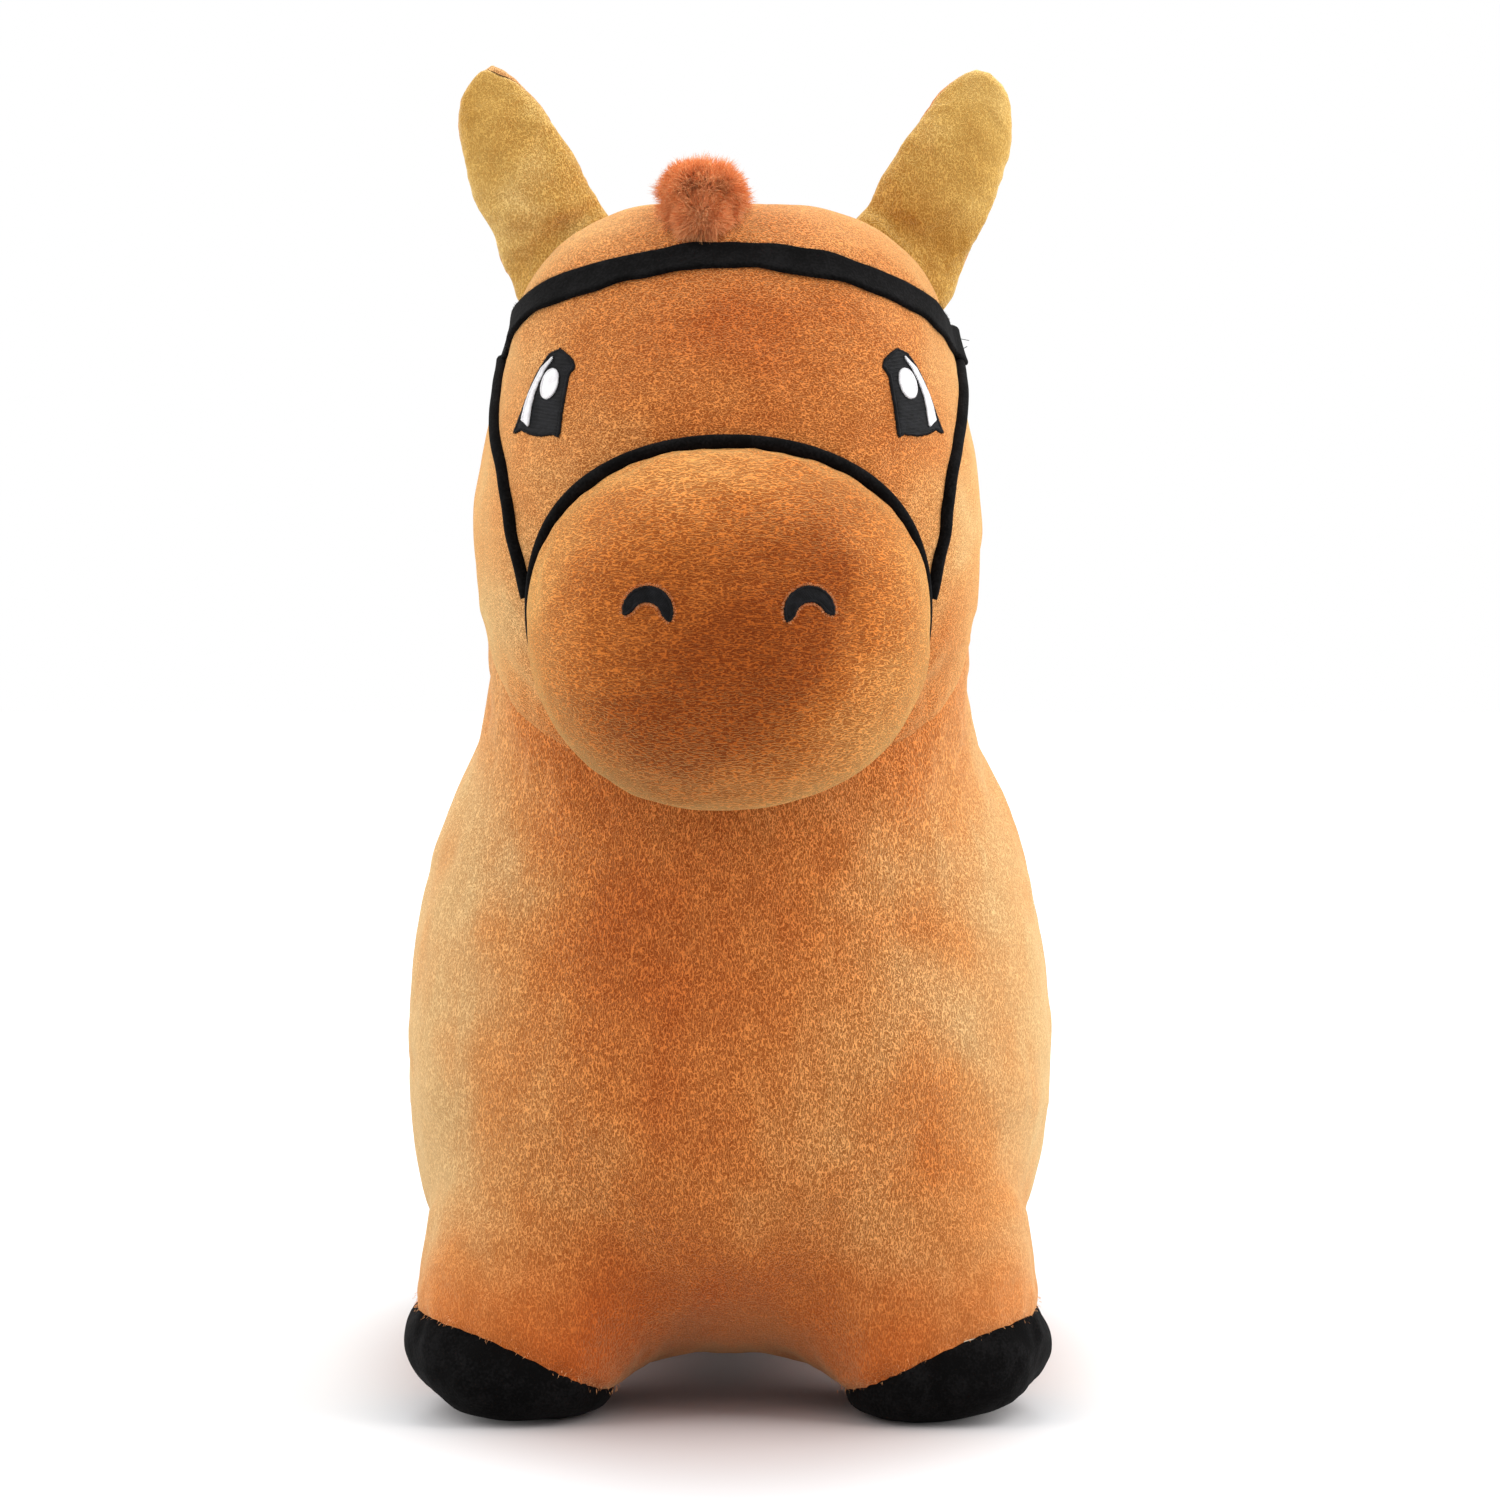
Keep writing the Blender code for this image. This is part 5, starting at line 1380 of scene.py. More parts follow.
@dataclass
class Muzzle:
    """The stuffed plush nose, sewn into the head along a tilted ring."""

    wardrobe: Wardrobe
    shape: MuzzleShape
    horse: Form
    voxel: float = 0.0040
    overlap: float = 0.0040
    allowance: float = 0.0030
    filling: Filling = Filling(hold=(0.001, 0.012), fold=0.0004, seam_fold=0.0012, seam_reach=0.015)
    seam_groove: Pair = (0.0012, 0.003)

    def build(self) -> None:
        """Make, cut and dress the muzzle."""
        whole = self.shape.form().piece("muzzle_whole")
        remesh(whole, self.voxel)
        sewn = self.horse.depth(points_of(whole))
        inflate(whole, self.filling.held(sewn), sewn, self.filling)
        keep = lambda p: self.horse.depth(p) + self.overlap
        cut_along(whole, keep)
        mark_panels(whole, (keep(middles_of(whole)) > 0).astype(int))
        self.piece, _ = panel_of(whole, 1, "muzzle_plush")
        discard(whole)
        subdivide(self.piece)
        points = points_of(self.piece)
        depth = self.horse.depth(points)
        lift = Waves(61, 0.055, 0.0004).at(points) + Waves(62, 0.020, 0.00016).at(points)
        folds = Puckers(63, 16, 40, 0.0006).at(self.shape.turns(points))
        lift += folds * near_zero(depth, 0.007) + groove(depth, *self.seam_groove)
        push(self.piece, lift)
        turn_in_edges(self.piece, self.allowance)
        show(self.piece, self.wardrobe.muzzle, "orange_plush", "horse", "muzzle_cover")


# Ears


@dataclass
class EarShape:
    """One ear: sections from its base in the head to its tip."""

    side: Side
    middle: float = 0.0027
    y: float = -0.1050
    base_outer: Pair = (0.0893, 0.4532)
    base_inner: Pair = (0.0511, 0.4906)
    base_radius: float = 0.0115
    sections: tuple[Section, ...] = (
        Section((0.0952, 0.4650), (0.0542, 0.4955), 0.0082),
        Section((0.1012, 0.4805), (0.0582, 0.5015), 0.0100),
        Section((0.1088, 0.4969), (0.0652, 0.5135), 0.0105),
        Section((0.1142, 0.5135), (0.0747, 0.5290), 0.0098),
        Section((0.1169, 0.5295), (0.0837, 0.5425), 0.0080),
        Section((0.1147, 0.5425), (0.0932, 0.5505), 0.0058),
    )
    tip: Pair = (0.1052, 0.5535)
    power: float = 2.4
    spacing: float = 0.0016
    around: int = 64

    def form(self) -> Form:
        """The ear's outer form."""
        along = np.subtract(self.base_outer, self.base_inner)
        along /= np.linalg.norm(along)
        down = np.array([along[1], -along[0]])
        down *= -np.sign(down[1]) if down[1] > 0 else 1.0
        sunk = []
        for turn in (0.75, 0.0):
            shift = down * self.base_radius * math.sin(turn)
            ends = np.add(self.base_outer, shift), np.add(self.base_inner, shift)
            sunk.append(Section(*ends, self.base_radius * math.cos(turn)))
        rows = [section.row() for section in (*sunk, *self.sections)]
        rows.append(pole_row(self.sections[-1], self.tip))
        rings = dense_rings(rows, self.spacing, self.around, self.power)
        placed = [self.middle + rings[..., 0] * self.side.value, self.y + rings[..., 2], rings[..., 1]]
        return loft(np.stack(placed, axis=2))

    def along_across(self, points: Rows) -> tuple[Rows, Rows]:
        """How far from base to tip some points lie, from 0 to 1, and how far outside the middle line."""
        base = np.add(self.base_outer, self.base_inner) / 2
        line = np.subtract(self.tip, base)
        flat = np.column_stack([(points[:, 0] - self.middle) * self.side.value, points[:, 2]]) - base
        return flat @ line / float(line @ line), flat @ (np.array([line[1], -line[0]]) / np.linalg.norm(line))


@dataclass
class Ears:
    """Both ears: a gold front panel and an orange back panel, seamed along the edge and stuffed."""

    wardrobe: Wardrobe
    shapes: list[EarShape]
    voxel: float = 0.0026
    allowance: float = 0.0018
    filling: Filling = Filling(3.0, slack=0.06, hold=(0.001, 0.005), fold=0.0010, seam_fold=0.0)
    base_hold: Pair = (0.0, 0.12)
    edge_groove: Pair = (0.0009, 0.0012)

    def build(self) -> None:
        """Make both ears."""
        for shape in self.shapes:
            whole = shape.form().piece("ear_whole")
            remesh(whole, self.voxel)
            corners = points_of(whole)
            seams = np.abs(corners[:, 1] - self.seam_y(shape, corners))
            base = 1.0 - smoothstep(*self.base_hold, shape.along_across(corners)[0])
            inflate(whole, np.maximum(self.filling.held(seams) * 0.7, base), seams, self.filling)
            cut_along(whole, lambda p: p[:, 1] - self.seam_y(shape, p))
            middles = middles_of(whole)
            mark_panels(whole, np.where(middles[:, 1] < self.seam_y(shape, middles), 1, 2))
            self.panel(whole, shape, "front", 1, self.wardrobe.gold, "gold_plush")
            self.panel(whole, shape, "back", 2, self.wardrobe.body, "orange_plush")
            discard(whole)

    def seam_y(self, shape: EarShape, points: Rows) -> Rows:
        """Where the edge seam lies; near the right ear's tip the back panel folds forwards over it."""
        along, across = shape.along_across(points)
        fold = smoothstep(0.86, 0.97, along) * smoothstep(0.0, -0.006, across)
        back = smoothstep(0.80, 1.0, along)
        return shape.y + (-0.006 * fold if shape.side is Side.RIGHT else 0.0016 * back)

    def panel(
        self, whole: Piece, shape: EarShape, name: str, number: int, finish: Material, slot: str
    ) -> None:
        """Make one panel of an ear."""
        made, _ = panel_of(whole, number, f"ear_{name}_plush_{shape.side.label}")
        subdivide(made)
        points = points_of(made)
        along, across = shape.along_across(points)
        edge = points[:, 1] - self.seam_y(shape, points)
        lift = Waves(71, 0.022, 0.0004).at(points) + groove(edge, *self.edge_groove)
        dimple = np.exp(-(((along - 0.80) / 0.13) ** 2) - ((across + 0.002) / 0.009) ** 2)
        lift -= 0.0022 * dimple * (number == 1)
        lift -= 0.0007 * np.exp(-(((along - 0.02) / 0.05) ** 2))
        push(made, lift)
        turn_in_edges(made, self.allowance)
        show(made, finish, slot, f"ear_{shape.side.label}", f"ear_{name}_{shape.side.label}")


# Straps and embroidery


def sweep(path: Rows, normals: Rows, outline: Rows) -> Form:
    """Sweep an outline along a path.

    Args:
        path: The points that the outline follows.
        normals: The outward direction at each.
        outline: The outline's points, across and outwards, or one set for each point of the path.

    Returns:
        The closed form.
    """
    ahead = np.gradient(path, axis=0)
    across = unit(np.cross(ahead, normals))
    if outline.ndim == 2:
        outline = np.repeat(outline[None], len(path), axis=0)
    rings = path[:, None] + across[:, None] * outline[..., 0:1] + normals[:, None] * outline[..., 1:2]
    return loft(rings)


def tube_outline(radius: float, lift: float, facets: int = 12) -> Rows:
    """A round outline, lifted from the surface that it lies on."""
    turns = turns_round(facets)
    return np.column_stack([radius * np.cos(turns), lift + radius * np.sin(turns)])


@dataclass
class Drape:
    """Lays routes and patches on the plush that is already there."""

    pieces: list[Piece]
    centre: Place = (0.0, -0.1300, 0.4080)

    def __post_init__(self) -> None:
        """Keep a search tree over the pieces."""
        parts = [(points_of(piece), [face.vertices for face in piece.data.polygons]) for piece in self.pieces]
        points, faces = gathered(parts)
        self.tree = BVHTree.FromPolygons(points.tolist(), faces)

    def from_centre(self, turns: Rows, lifts: Rows) -> tuple[Rows, Rows]:
        """Points and normals on the plush in directions from the head's centre, in degrees."""
        found = []
        for turn, lift in zip(np.radians(turns), np.radians(lifts)):
            ray = Vector((math.sin(turn) * math.cos(lift), -math.cos(turn) * math.cos(lift), math.sin(lift)))
            start = Vector(self.centre) + ray * 0.5
            hit, normal, _, _ = self.tree.ray_cast(start, -ray)
            found.append((hit, normal if normal.dot(ray) > 0 else -normal))
        return np.array([hit for hit, _ in found]), np.array([normal for _, normal in found])

    def from_front(self, flat: Rows) -> tuple[Rows, Rows]:
        """Points and normals on the plush behind points that are seen from the front, as x and z."""
        hits, normals = [], []
        for x, z in flat:
            hit, normal, _, _ = self.tree.ray_cast(Vector((x, -1.0, z)), Vector((0.0, 1.0, 0.0)))
            if hit is None:
                hit, normal, _, _ = self.tree.find_nearest(Vector((x, -0.2, z)))
            hits.append(hit)
            normals.append(normal if normal.y < 0 else -normal)
        return np.array(hits), np.array(normals)


def smoothed(values: Rows, rounds: int) -> Rows:
    """Rows averaged with their neighbours, with the two ends kept."""
    values = values.copy()
    for _ in range(rounds):
        values[1:-1] = values[1:-1] * 0.5 + (values[:-2] + values[2:]) * 0.25
    return values


@dataclass
class Bridle:
    """The browband, crown strap, cheek straps and noseband, all of black velour."""

    wardrobe: Wardrobe
    drape: Drape
    horse: Form
    muzzle: MuzzleShape
    browband_width: float = 0.0136
    browband_thickness: float = 0.0026
    browband_route: tuple[Pair, ...] = (
        (93, 16), (80, 19.4), (66, 22.3), (54, 26.2), (41, 30.1), (24, 35.0), (10, 38.2), (0, 39.0),
    )
    crown_width: float = 0.0080
    crown_thickness: float = 0.0020
    crown_route: tuple[Pair, ...] = (
        (96, 12), (112, 11), (126, 18), (140, 30), (156, 41), (168, 46), (180, 48),
    )
    cheek_radius: float = 0.0028
    cheek_route: tuple[Pair, ...] = (
        (90, 13), (82, 8.5), (72.5, 1.5), (62.5, -7), (55.5, -15), (52, -25), (49.5, -36),
    )
    flap_length: float = 0.0150
    flap_lift: float = 0.0035
    fuzz_length: float = 0.0012
    fuzz_spacing: float = 0.00010
    noseband_radius: float = 0.0030
    noseband_half_turn: float = math.radians(100.0)
    spacing: float = 0.0016

    def __post_init__(self) -> None:
        """Keep a search tree over the muzzle."""
        self.muzzle_tree = self.muzzle.form().tree

    def build(self) -> None:
        """Make every strap."""
        self.browband()
        self.crown_strap()
        for side in Side:
            self.cheek_strap(side)
        self.noseband()

    def route(self, route: Sequence[Pair], side: Side) -> tuple[Rows, Rows]:
        """A smooth line on the plush along a route of directions."""
        table = np.array(route, float)
        dense = smooth_rows(table, self.spacing, np.radians(places_along(table)) * 0.1)
        points, normals = self.drape.from_centre(dense[:, 0] * side.value, dense[:, 1])
        return smoothed(points, 3), unit(smoothed(normals, 6))

    def both_sides(self, route: Sequence[Pair]) -> tuple[Rows, Rows]:
        """A route on the left followed by its mirror on the right."""
        left, left_normals = self.route(route, Side.LEFT)
        right, right_normals = self.route(route, Side.RIGHT)
        points = np.concatenate([left, right[-2::-1]])
        normals = np.concatenate([left_normals, right_normals[-2::-1]])
        return smoothed(points, 4), smoothed(normals, 4)

    def strap_outline(self, half: float, thickness: float, count: int = 9) -> Rows:
        """A flat strap's outline, with thick folded edges and a slightly hollow face."""
        turns = np.linspace(0.0, math.pi, 7)
        right = [(half - 0.0011 + 0.0011 * math.sin(t), thickness * (1 - math.cos(t)) / 2) for t in turns]
        middle = np.linspace(half - 0.0014, -half + 0.0014, count)[1:-1]
        face = [(x, thickness * (0.90 + 0.10 * (x / half) ** 2)) for x in middle]
        left = [(-x, y) for x, y in reversed(right)]
        outline = right + face + left
        return np.array(outline) - np.array([0.0, 0.0004])

    def strap(self, name: str, node: str, points: Rows, normals: Rows, outline: Rows) -> None:
        """Sweep an outline along a line on the plush, and dress it as one of the frame's straps."""
        made = sweep(points, normals, outline).piece(name)
        show(made, self.wardrobe.velour, "black_plush", "horse", node)

    def browband(self) -> None:
        """The wide strap across the forehead, with a loose flap at its left end."""
        points, normals = self.both_sides(self.browband_route)
        outline = self.strap_outline(self.browband_width / 2, self.browband_thickness)
        shares = np.linspace(0.0, 1.0, len(points))
        flap = 1.0 - smoothstep(0.0, self.flap_length, places_along(points))
        points = points + normals * (self.flap_lift * flap)[:, None]
        swell = 1.0 + 0.05 * np.sin(shares * 37.0) + 0.03 * np.sin(shares * 91.0 + 1.0) + 0.22 * flap
        rings = outline[None] * np.stack([swell, np.ones_like(swell)], axis=1)[:, None]
        forms = [sweep(points, normals, rings)] + self.loose_threads(points[0], normals[0])
        made = joined("browband_strap", forms)
        show(made, self.wardrobe.velour, "black_plush", "horse", "browband")
        self.fuzz("browband_fuzz", points, normals, self.browband_width / 2, self.browband_thickness)

    def fuzz(self, name: str, points: Rows, normals: Rows, half: float, thickness: float) -> None:
        """Short black fibres along both edges of a strap."""
        draw = np.random.default_rng(33)
        count = int(len(points) * self.spacing / self.fuzz_spacing)
        place = draw.uniform(0.0, len(points) - 1.001, count)
        k = place.astype(int)
        across = unit(np.cross(np.gradient(points, axis=0), normals))
        side = draw.choice((-1.0, 1.0), count)[:, None]
        root = points[k] + (points[k + 1] - points[k]) * (place - k)[:, None]
        raised = normals[k] * draw.uniform(0.2, 0.8, (count, 1)) * thickness
        root = root + across[k] * side * half * 0.96 + raised
        first = across[k] * side + normals[k] * 0.4 + draw.normal(size=(count, 3)) * 0.5
        second = first + draw.normal(size=(count, 3)) * 0.5
        lengths = self.fuzz_length * draw.uniform(0.3, 1.0, count)
        made = Strands(34, 0.00016, 3).build(name, root, first, second, lengths)
        show(made, self.wardrobe.velour, "black_plush", "horse")

    def loose_threads(self, start: Rows, outward: Rows) -> list[Form]:
        """A few frayed threads at the flap's cut end."""
        draw = np.random.default_rng(31)
        forms = []
        for _ in range(4):
            way = outward * 0.6 + np.array([0.5, -0.2, -0.6]) + draw.normal(size=3) * 0.5
            curl = draw.normal(size=3) * 0.0012
            shares = np.linspace(0.0, 1.0, 8)[:, None]
            root = start + draw.normal(size=3) * np.array([0.0005, 0.0010, 0.0030])
            path = root + way / np.linalg.norm(way) * 0.0030 * shares + curl * np.sin(shares * 4.0)
            normals = np.repeat(outward[None], len(path), axis=0)
            forms.append(sweep(path, normals, tube_outline(0.00018, 0.0, 6)))
        return forms

    def crown_strap(self) -> None:
        """The narrow strap behind the ears."""
        outline = self.strap_outline(self.crown_width / 2, self.crown_thickness)
        self.strap("crown_strap_band", "crown_strap", *self.both_sides(self.crown_route), outline)

    def cheek_strap(self, side: Side) -> None:
        """A thin tubular strap from the browband to the noseband."""
        outline = tube_outline(self.cheek_radius, self.cheek_radius * 0.3)
        name, node = f"cheek_strap_tube_{side.label}", f"cheek_strap_{side.label}"
        self.strap(name, node, *self.route(self.cheek_route, side), outline)

    def noseband(self) -> None:
        """The thin tubular strap in the crease between the muzzle and the head."""
        turns = np.linspace(-self.noseband_half_turn, self.noseband_half_turn, 140)
        found = [self.crease(turn) for turn in turns]
        points, normals = (smoothed(np.array(rows), 6) for rows in zip(*found))
        outline = tube_outline(self.noseband_radius, self.noseband_radius * 0.5)
        self.strap("noseband_tube", "noseband", points, unit(normals), outline)

    def crease(self, turn: float) -> tuple[Vector, Vector]:
        """Where a line along the muzzle's skin runs into the head, at an angle round the muzzle."""
        ahead, upward = self.muzzle.axes()
        side = Vector(upward * math.cos(turn) + np.array([math.sin(turn), 0.0, 0.0]))
        low, high = -self.muzzle.backward * 0.8, self.muzzle.forward * 0.9
        for _ in range(22):
            middle = (low + high) / 2
            start = Vector(self.muzzle.centre) + Vector(ahead) * middle
            point, normal, _, _ = self.muzzle_tree.ray_cast(start, side)
            near, outward, _, _ = self.horse.tree.find_nearest(point)
            if (point - near).dot(outward) > 0:
                high = middle
            else:
                low = middle
        normal = normal if normal.dot(side) > 0 else -normal
        return point, (normal + outward).normalized()


@dataclass
class Embroidery:
    """Rows of thread laid over an outline, and short stitches across its edge."""

    drape: Drape
    base: float = 0.0
    pitch: float = 0.00055
    radius: float = 0.00034
    lift: float = 0.00045
    stitch: float = 0.0042
    step: float = 0.0007
    border: float = 0.0013
    border_pitch: float = 0.00048

    def rows(self, outline: Rows, turn: float) -> list[Rows]:
        """The two ends of each row across an outline, at an angle in its plane."""
        spin = np.array([[math.cos(turn), math.sin(turn)], [-math.sin(turn), math.cos(turn)]])
        flat = outline @ spin.T
        rows = []
        for level in np.arange(flat[:, 1].min() + self.pitch / 2, flat[:, 1].max(), self.pitch):
            crossings = []
            for a, b in zip(flat, np.roll(flat, -1, axis=0)):
                if (a[1] - level) * (b[1] - level) < 0:
                    crossings.append(a[0] + (b[0] - a[0]) * (level - a[1]) / (b[1] - a[1]))
            crossings.sort()
            for low, high in zip(crossings[::2], crossings[1::2]):
                rows.append(np.array([[low, level], [high, level]]) @ spin)
        return rows

    def thread(self, flat: Rows, heights: Rows, radius: float) -> Form:
        """One thread through points that are seen from the front."""
        points, normals = self.drape.from_front(flat)
        return sweep(points + normals * heights[:, None], normals, tube_outline(radius, 0.0, 6))

    def row_threads(self, outline: Rows, turn: float) -> list[Form]:
        """The rows of thread that cover an outline."""
        forms = []
        for number, (start, end) in enumerate(self.rows(outline, turn)):
            length = float(np.linalg.norm(end - start))
            shares = np.linspace(0.0, 1.0, max(3, int(length / self.step) + 1))
            flat = start + (end - start) * shares[:, None]
            dips = np.abs(np.sin(math.pi * (shares * length / self.stitch + (number % 4) / 4))) ** 0.4
            ends = np.minimum(1.0, np.minimum(shares, 1 - shares) * length / 0.0009)
            heights = self.base + self.lift * (0.25 + 0.75 * ends) * (0.65 + 0.35 * dips)
            forms.append(self.thread(flat, heights, self.radius))
        return forms

    def border_threads(self, outline: Rows, seed: int) -> list[Form]:
        """Short uneven stitches across the edge of an outline."""
        draw = np.random.default_rng(seed)
        loop = np.concatenate([outline, outline[:1]])
        places = places_along(loop)
        wanted = np.arange(0.0, places[-1], self.border_pitch)
        flat = np.column_stack([np.interp(wanted, places, loop[:, i]) for i in range(2)])
        ahead = unit(np.roll(flat, -2, axis=0) - np.roll(flat, 2, axis=0))
        across = np.column_stack([ahead[:, 1], -ahead[:, 0]])
        forms = []
        for place, way, lean in zip(flat, across, ahead):
            reach = self.border / 2 * draw.uniform(0.75, 1.2, 2)
            shares = np.array([-reach[0], 0.0, reach[1]])[:, None]
            stitch = place + way * shares + lean * shares * 0.25
            heights = self.base + self.lift * np.array([0.5, 1.7, 0.3])
            forms.append(self.thread(stitch, heights, self.radius * 0.9))
        return forms

    def fill(self, name: str, outline: Rows, turn: float, border: bool = True) -> Piece:
        """Cover an outline with rows of thread.

        Args:
            name: The patch's name.
            outline: Its corners as x and z.
            turn: The angle of the rows.
            border: Whether short stitches follow the edge.

        Returns:
            The patch as one object.
        """
        forms = self.row_threads(outline, turn)
        if border:
            forms += self.border_threads(outline, 51)
        return joined(name, forms)


@dataclass
class Face:
    """The embroidered eyes and nostrils, seen from the front as x outwards and z up."""

    wardrobe: Wardrobe
    head: Drape
    muzzle: Drape
    eye_centre: Pair = (0.0735, 0.4132)
    eye: tuple[Pair, ...] = (
        (-0.0067, 0.0169), (-0.0113, 0.0128), (-0.0122, 0.0099), (-0.0097, 0.0061),
        (-0.0077, -0.0062), (-0.0062, -0.0179), (-0.0045, -0.0166), (0.0010, -0.0171),
        (0.0053, -0.0163), (0.0093, -0.0142), (0.0119, -0.0156), (0.0096, -0.0099),
        (0.0069, -0.0028), (0.0041, 0.0042), (0.0010, 0.0101), (-0.0027, 0.0153),
    )
    white: tuple[Pair, ...] = (
        (-0.0040, 0.0137), (0.0003, 0.0095), (0.0028, 0.0047), (0.0053, -0.0007),
        (0.0070, -0.0056), (0.0082, -0.0108), (0.0058, -0.0132), (0.0054, -0.0099),
        (0.0047, -0.0053), (0.0036, -0.0007), (0.0020, 0.0036), (-0.0008, 0.0092),
    )
    glint_centre: Pair = (-0.0030, 0.0032)
    glint_half: Pair = (0.0030, 0.0060)
    glint_tilt: float = math.radians(16.0)
    nostril_centre: Pair = (0.0308, 0.3262)
    nostril_radius: float = 0.0092
    nostril_thick: float = 0.0052
    nostril_thin: float = 0.0026
    nostril_inner_end: float = math.radians(-112.0)
    nostril_outer_end: float = math.radians(96.0)
    rim_fibres: int = 1500

    def build(self) -> None:
        """Embroider both sides of the face."""
        for side in Side:
            self.build_eye(side)
            self.build_nostril(side)

    def placed(self, outline: Sequence[Pair], centre: Pair, side: Side) -> Rows:
        """An outline on one side of the face, as x and z."""
        flat = np.array(outline) + np.array(centre)
        return flat * np.array([side.value, 1.0])

    def build_eye(self, side: Side) -> None:
        """The black patch of an eye, its white crescent and its glint."""
        base = Embroidery(self.head)
        raised = Embroidery(self.head, base=0.00075, border=0.0007)
        patch = base.fill(f"eye_threads_{side.label}", self.placed(self.eye, self.eye_centre, side), 0.0)
        show(patch, self.wardrobe.black_thread, "black_thread", "horse", f"eye_patch_{side.label}")
        turns = turns_round(28)
        x, z = self.glint_half[0] * np.cos(turns), self.glint_half[1] * np.sin(turns)
        lean = self.glint_tilt
        oval = np.column_stack([
            x * math.cos(lean) - z * math.sin(lean),
            x * math.sin(lean) + z * math.cos(lean),
        ])
        outlines = {"white": np.array(self.white), "glint": oval + np.array(self.glint_centre)}
        for label, outline in outlines.items():
            placed = self.placed(outline, self.eye_centre, side)
            made = raised.fill(f"eye_{label}_threads_{side.label}", placed, side.value * 0.5)
            show(made, self.wardrobe.white_thread, "white_thread", "horse", f"eye_{label}_{side.label}")

    def build_nostril(self, side: Side) -> None:
        """The arch of a nostril, thick at the top and thin at its ends."""
        shares = np.linspace(-1.0, 1.0, 25)
        turns = np.interp(shares, (-1.0, 1.0), (self.nostril_inner_end, self.nostril_outer_end))
        thick = self.nostril_thick + (self.nostril_thin - self.nostril_thick) * shares**2
        thick *= np.sqrt(np.minimum(1.0, (1.0 - np.abs(shares)) * 9.0 + 0.15))
        outer = np.column_stack([np.sin(turns), np.cos(turns)]) * self.nostril_radius
        inner = outer * ((self.nostril_radius - thick) / self.nostril_radius)[:, None]
        outline = np.concatenate([outer, inner[::-1]])
        outline = self.placed(outline, self.nostril_centre, side)
        made = Embroidery(self.muzzle).fill(f"nostril_threads_{side.label}", outline, side.value * 1.1)
        show(made, self.wardrobe.black_thread, "black_thread", "horse", f"nostril_{side.label}")
        self.parted_pile(f"nostril_pile_{side.label}", outline)

    def parted_pile(self, name: str, outline: Rows) -> None:
        """The muzzle's own pile, parted and standing up round a nostril's stitches."""
        draw = np.random.default_rng(61)
        loop = np.concatenate([outline, outline[:1]])
        k = draw.integers(0, len(outline), self.rim_fibres)
        share = draw.uniform(0.0, 1.0, (self.rim_fibres, 1))
        flat = loop[k] * (1 - share) + loop[k + 1] * share
        ahead = loop[k + 1] - loop[k]
        away = np.column_stack([ahead[:, 1], -ahead[:, 0]]) / np.linalg.norm(ahead, axis=1)[:, None]
        turned = np.cross(*(np.roll(outline, -step, axis=0) - outline for step in (1, 2))).sum()
        away *= 1.0 if turned > 0 else -1.0
        flat = flat + away * draw.uniform(0.0003, 0.0012, (self.rim_fibres, 1))
        roots, normals = self.muzzle.from_front(flat)
        outward = np.column_stack([away[:, 0], np.zeros(len(away)), away[:, 1]])
        first = normals + outward * 0.5 + draw.normal(size=roots.shape) * 0.25
        second = outward + normals * 0.7 + draw.normal(size=roots.shape) * 0.35
        lengths = draw.uniform(0.0007, 0.0016, self.rim_fibres)
        made = Strands(62, 0.00016, 3).build(name, roots - normals * 0.0002, first, second, lengths)
        show(made, self.wardrobe.pile, "orange_plush", "horse")


# Long pile


@dataclass
class Strands:
    """Thin tapering fibres, each bent from its first direction towards a second."""

    seed: int
    width: float
    steps: int = 4

    def build(self, name: str, roots: Rows, first: Rows, second: Rows, lengths: Rows) -> Piece:
        """Make the fibres.

        Args:
            name: The piece's name.
            roots: Where each fibre starts.
            first: The direction in which it leaves.
            second: The direction in which it ends.
            lengths: How long it is.

        Returns:
            The fibres as one object.
        """
        draw = np.random.default_rng(self.seed)
        count = len(roots)
        first, second = unit(first), unit(second)
        across = unit(np.cross(first + second * 0.5, draw.normal(size=(count, 3))))
        curl = draw.normal(size=(count, 3)) * 0.05
        points = np.zeros((count, self.steps * 2 + 1, 3))
        place = roots.copy()
        for step in range(self.steps + 1):
            share = step / self.steps
            half = self.width / 2 * (1.0 - 0.7 * share)
            if step < self.steps:
                points[:, 2 * step] = place - across * half
                points[:, 2 * step + 1] = place + across * half
            else:
                points[:, -1] = place
            way = unit(first * (1 - share) + second * share + curl * math.sin(share * 6.0))
            place = place + way * (lengths / self.steps)[:, None]
        starts = np.arange(count)[:, None] * (self.steps * 2 + 1)
        faces = []
        for step in range(self.steps - 1):
            quad = np.array([2 * step, 2 * step + 1, 2 * step + 3, 2 * step + 2])
            faces += (starts + quad).tolist()
        last = 2 * (self.steps - 1)
        faces += (starts + np.array([last, last + 1, last + 2])).tolist()
        return new_piece(name, points.reshape(-1, 3), faces)


@dataclass(frozen=True)
class Lobe:
    """One rounded part of the forelock."""

    centre: Place
    half: Place
    count: int


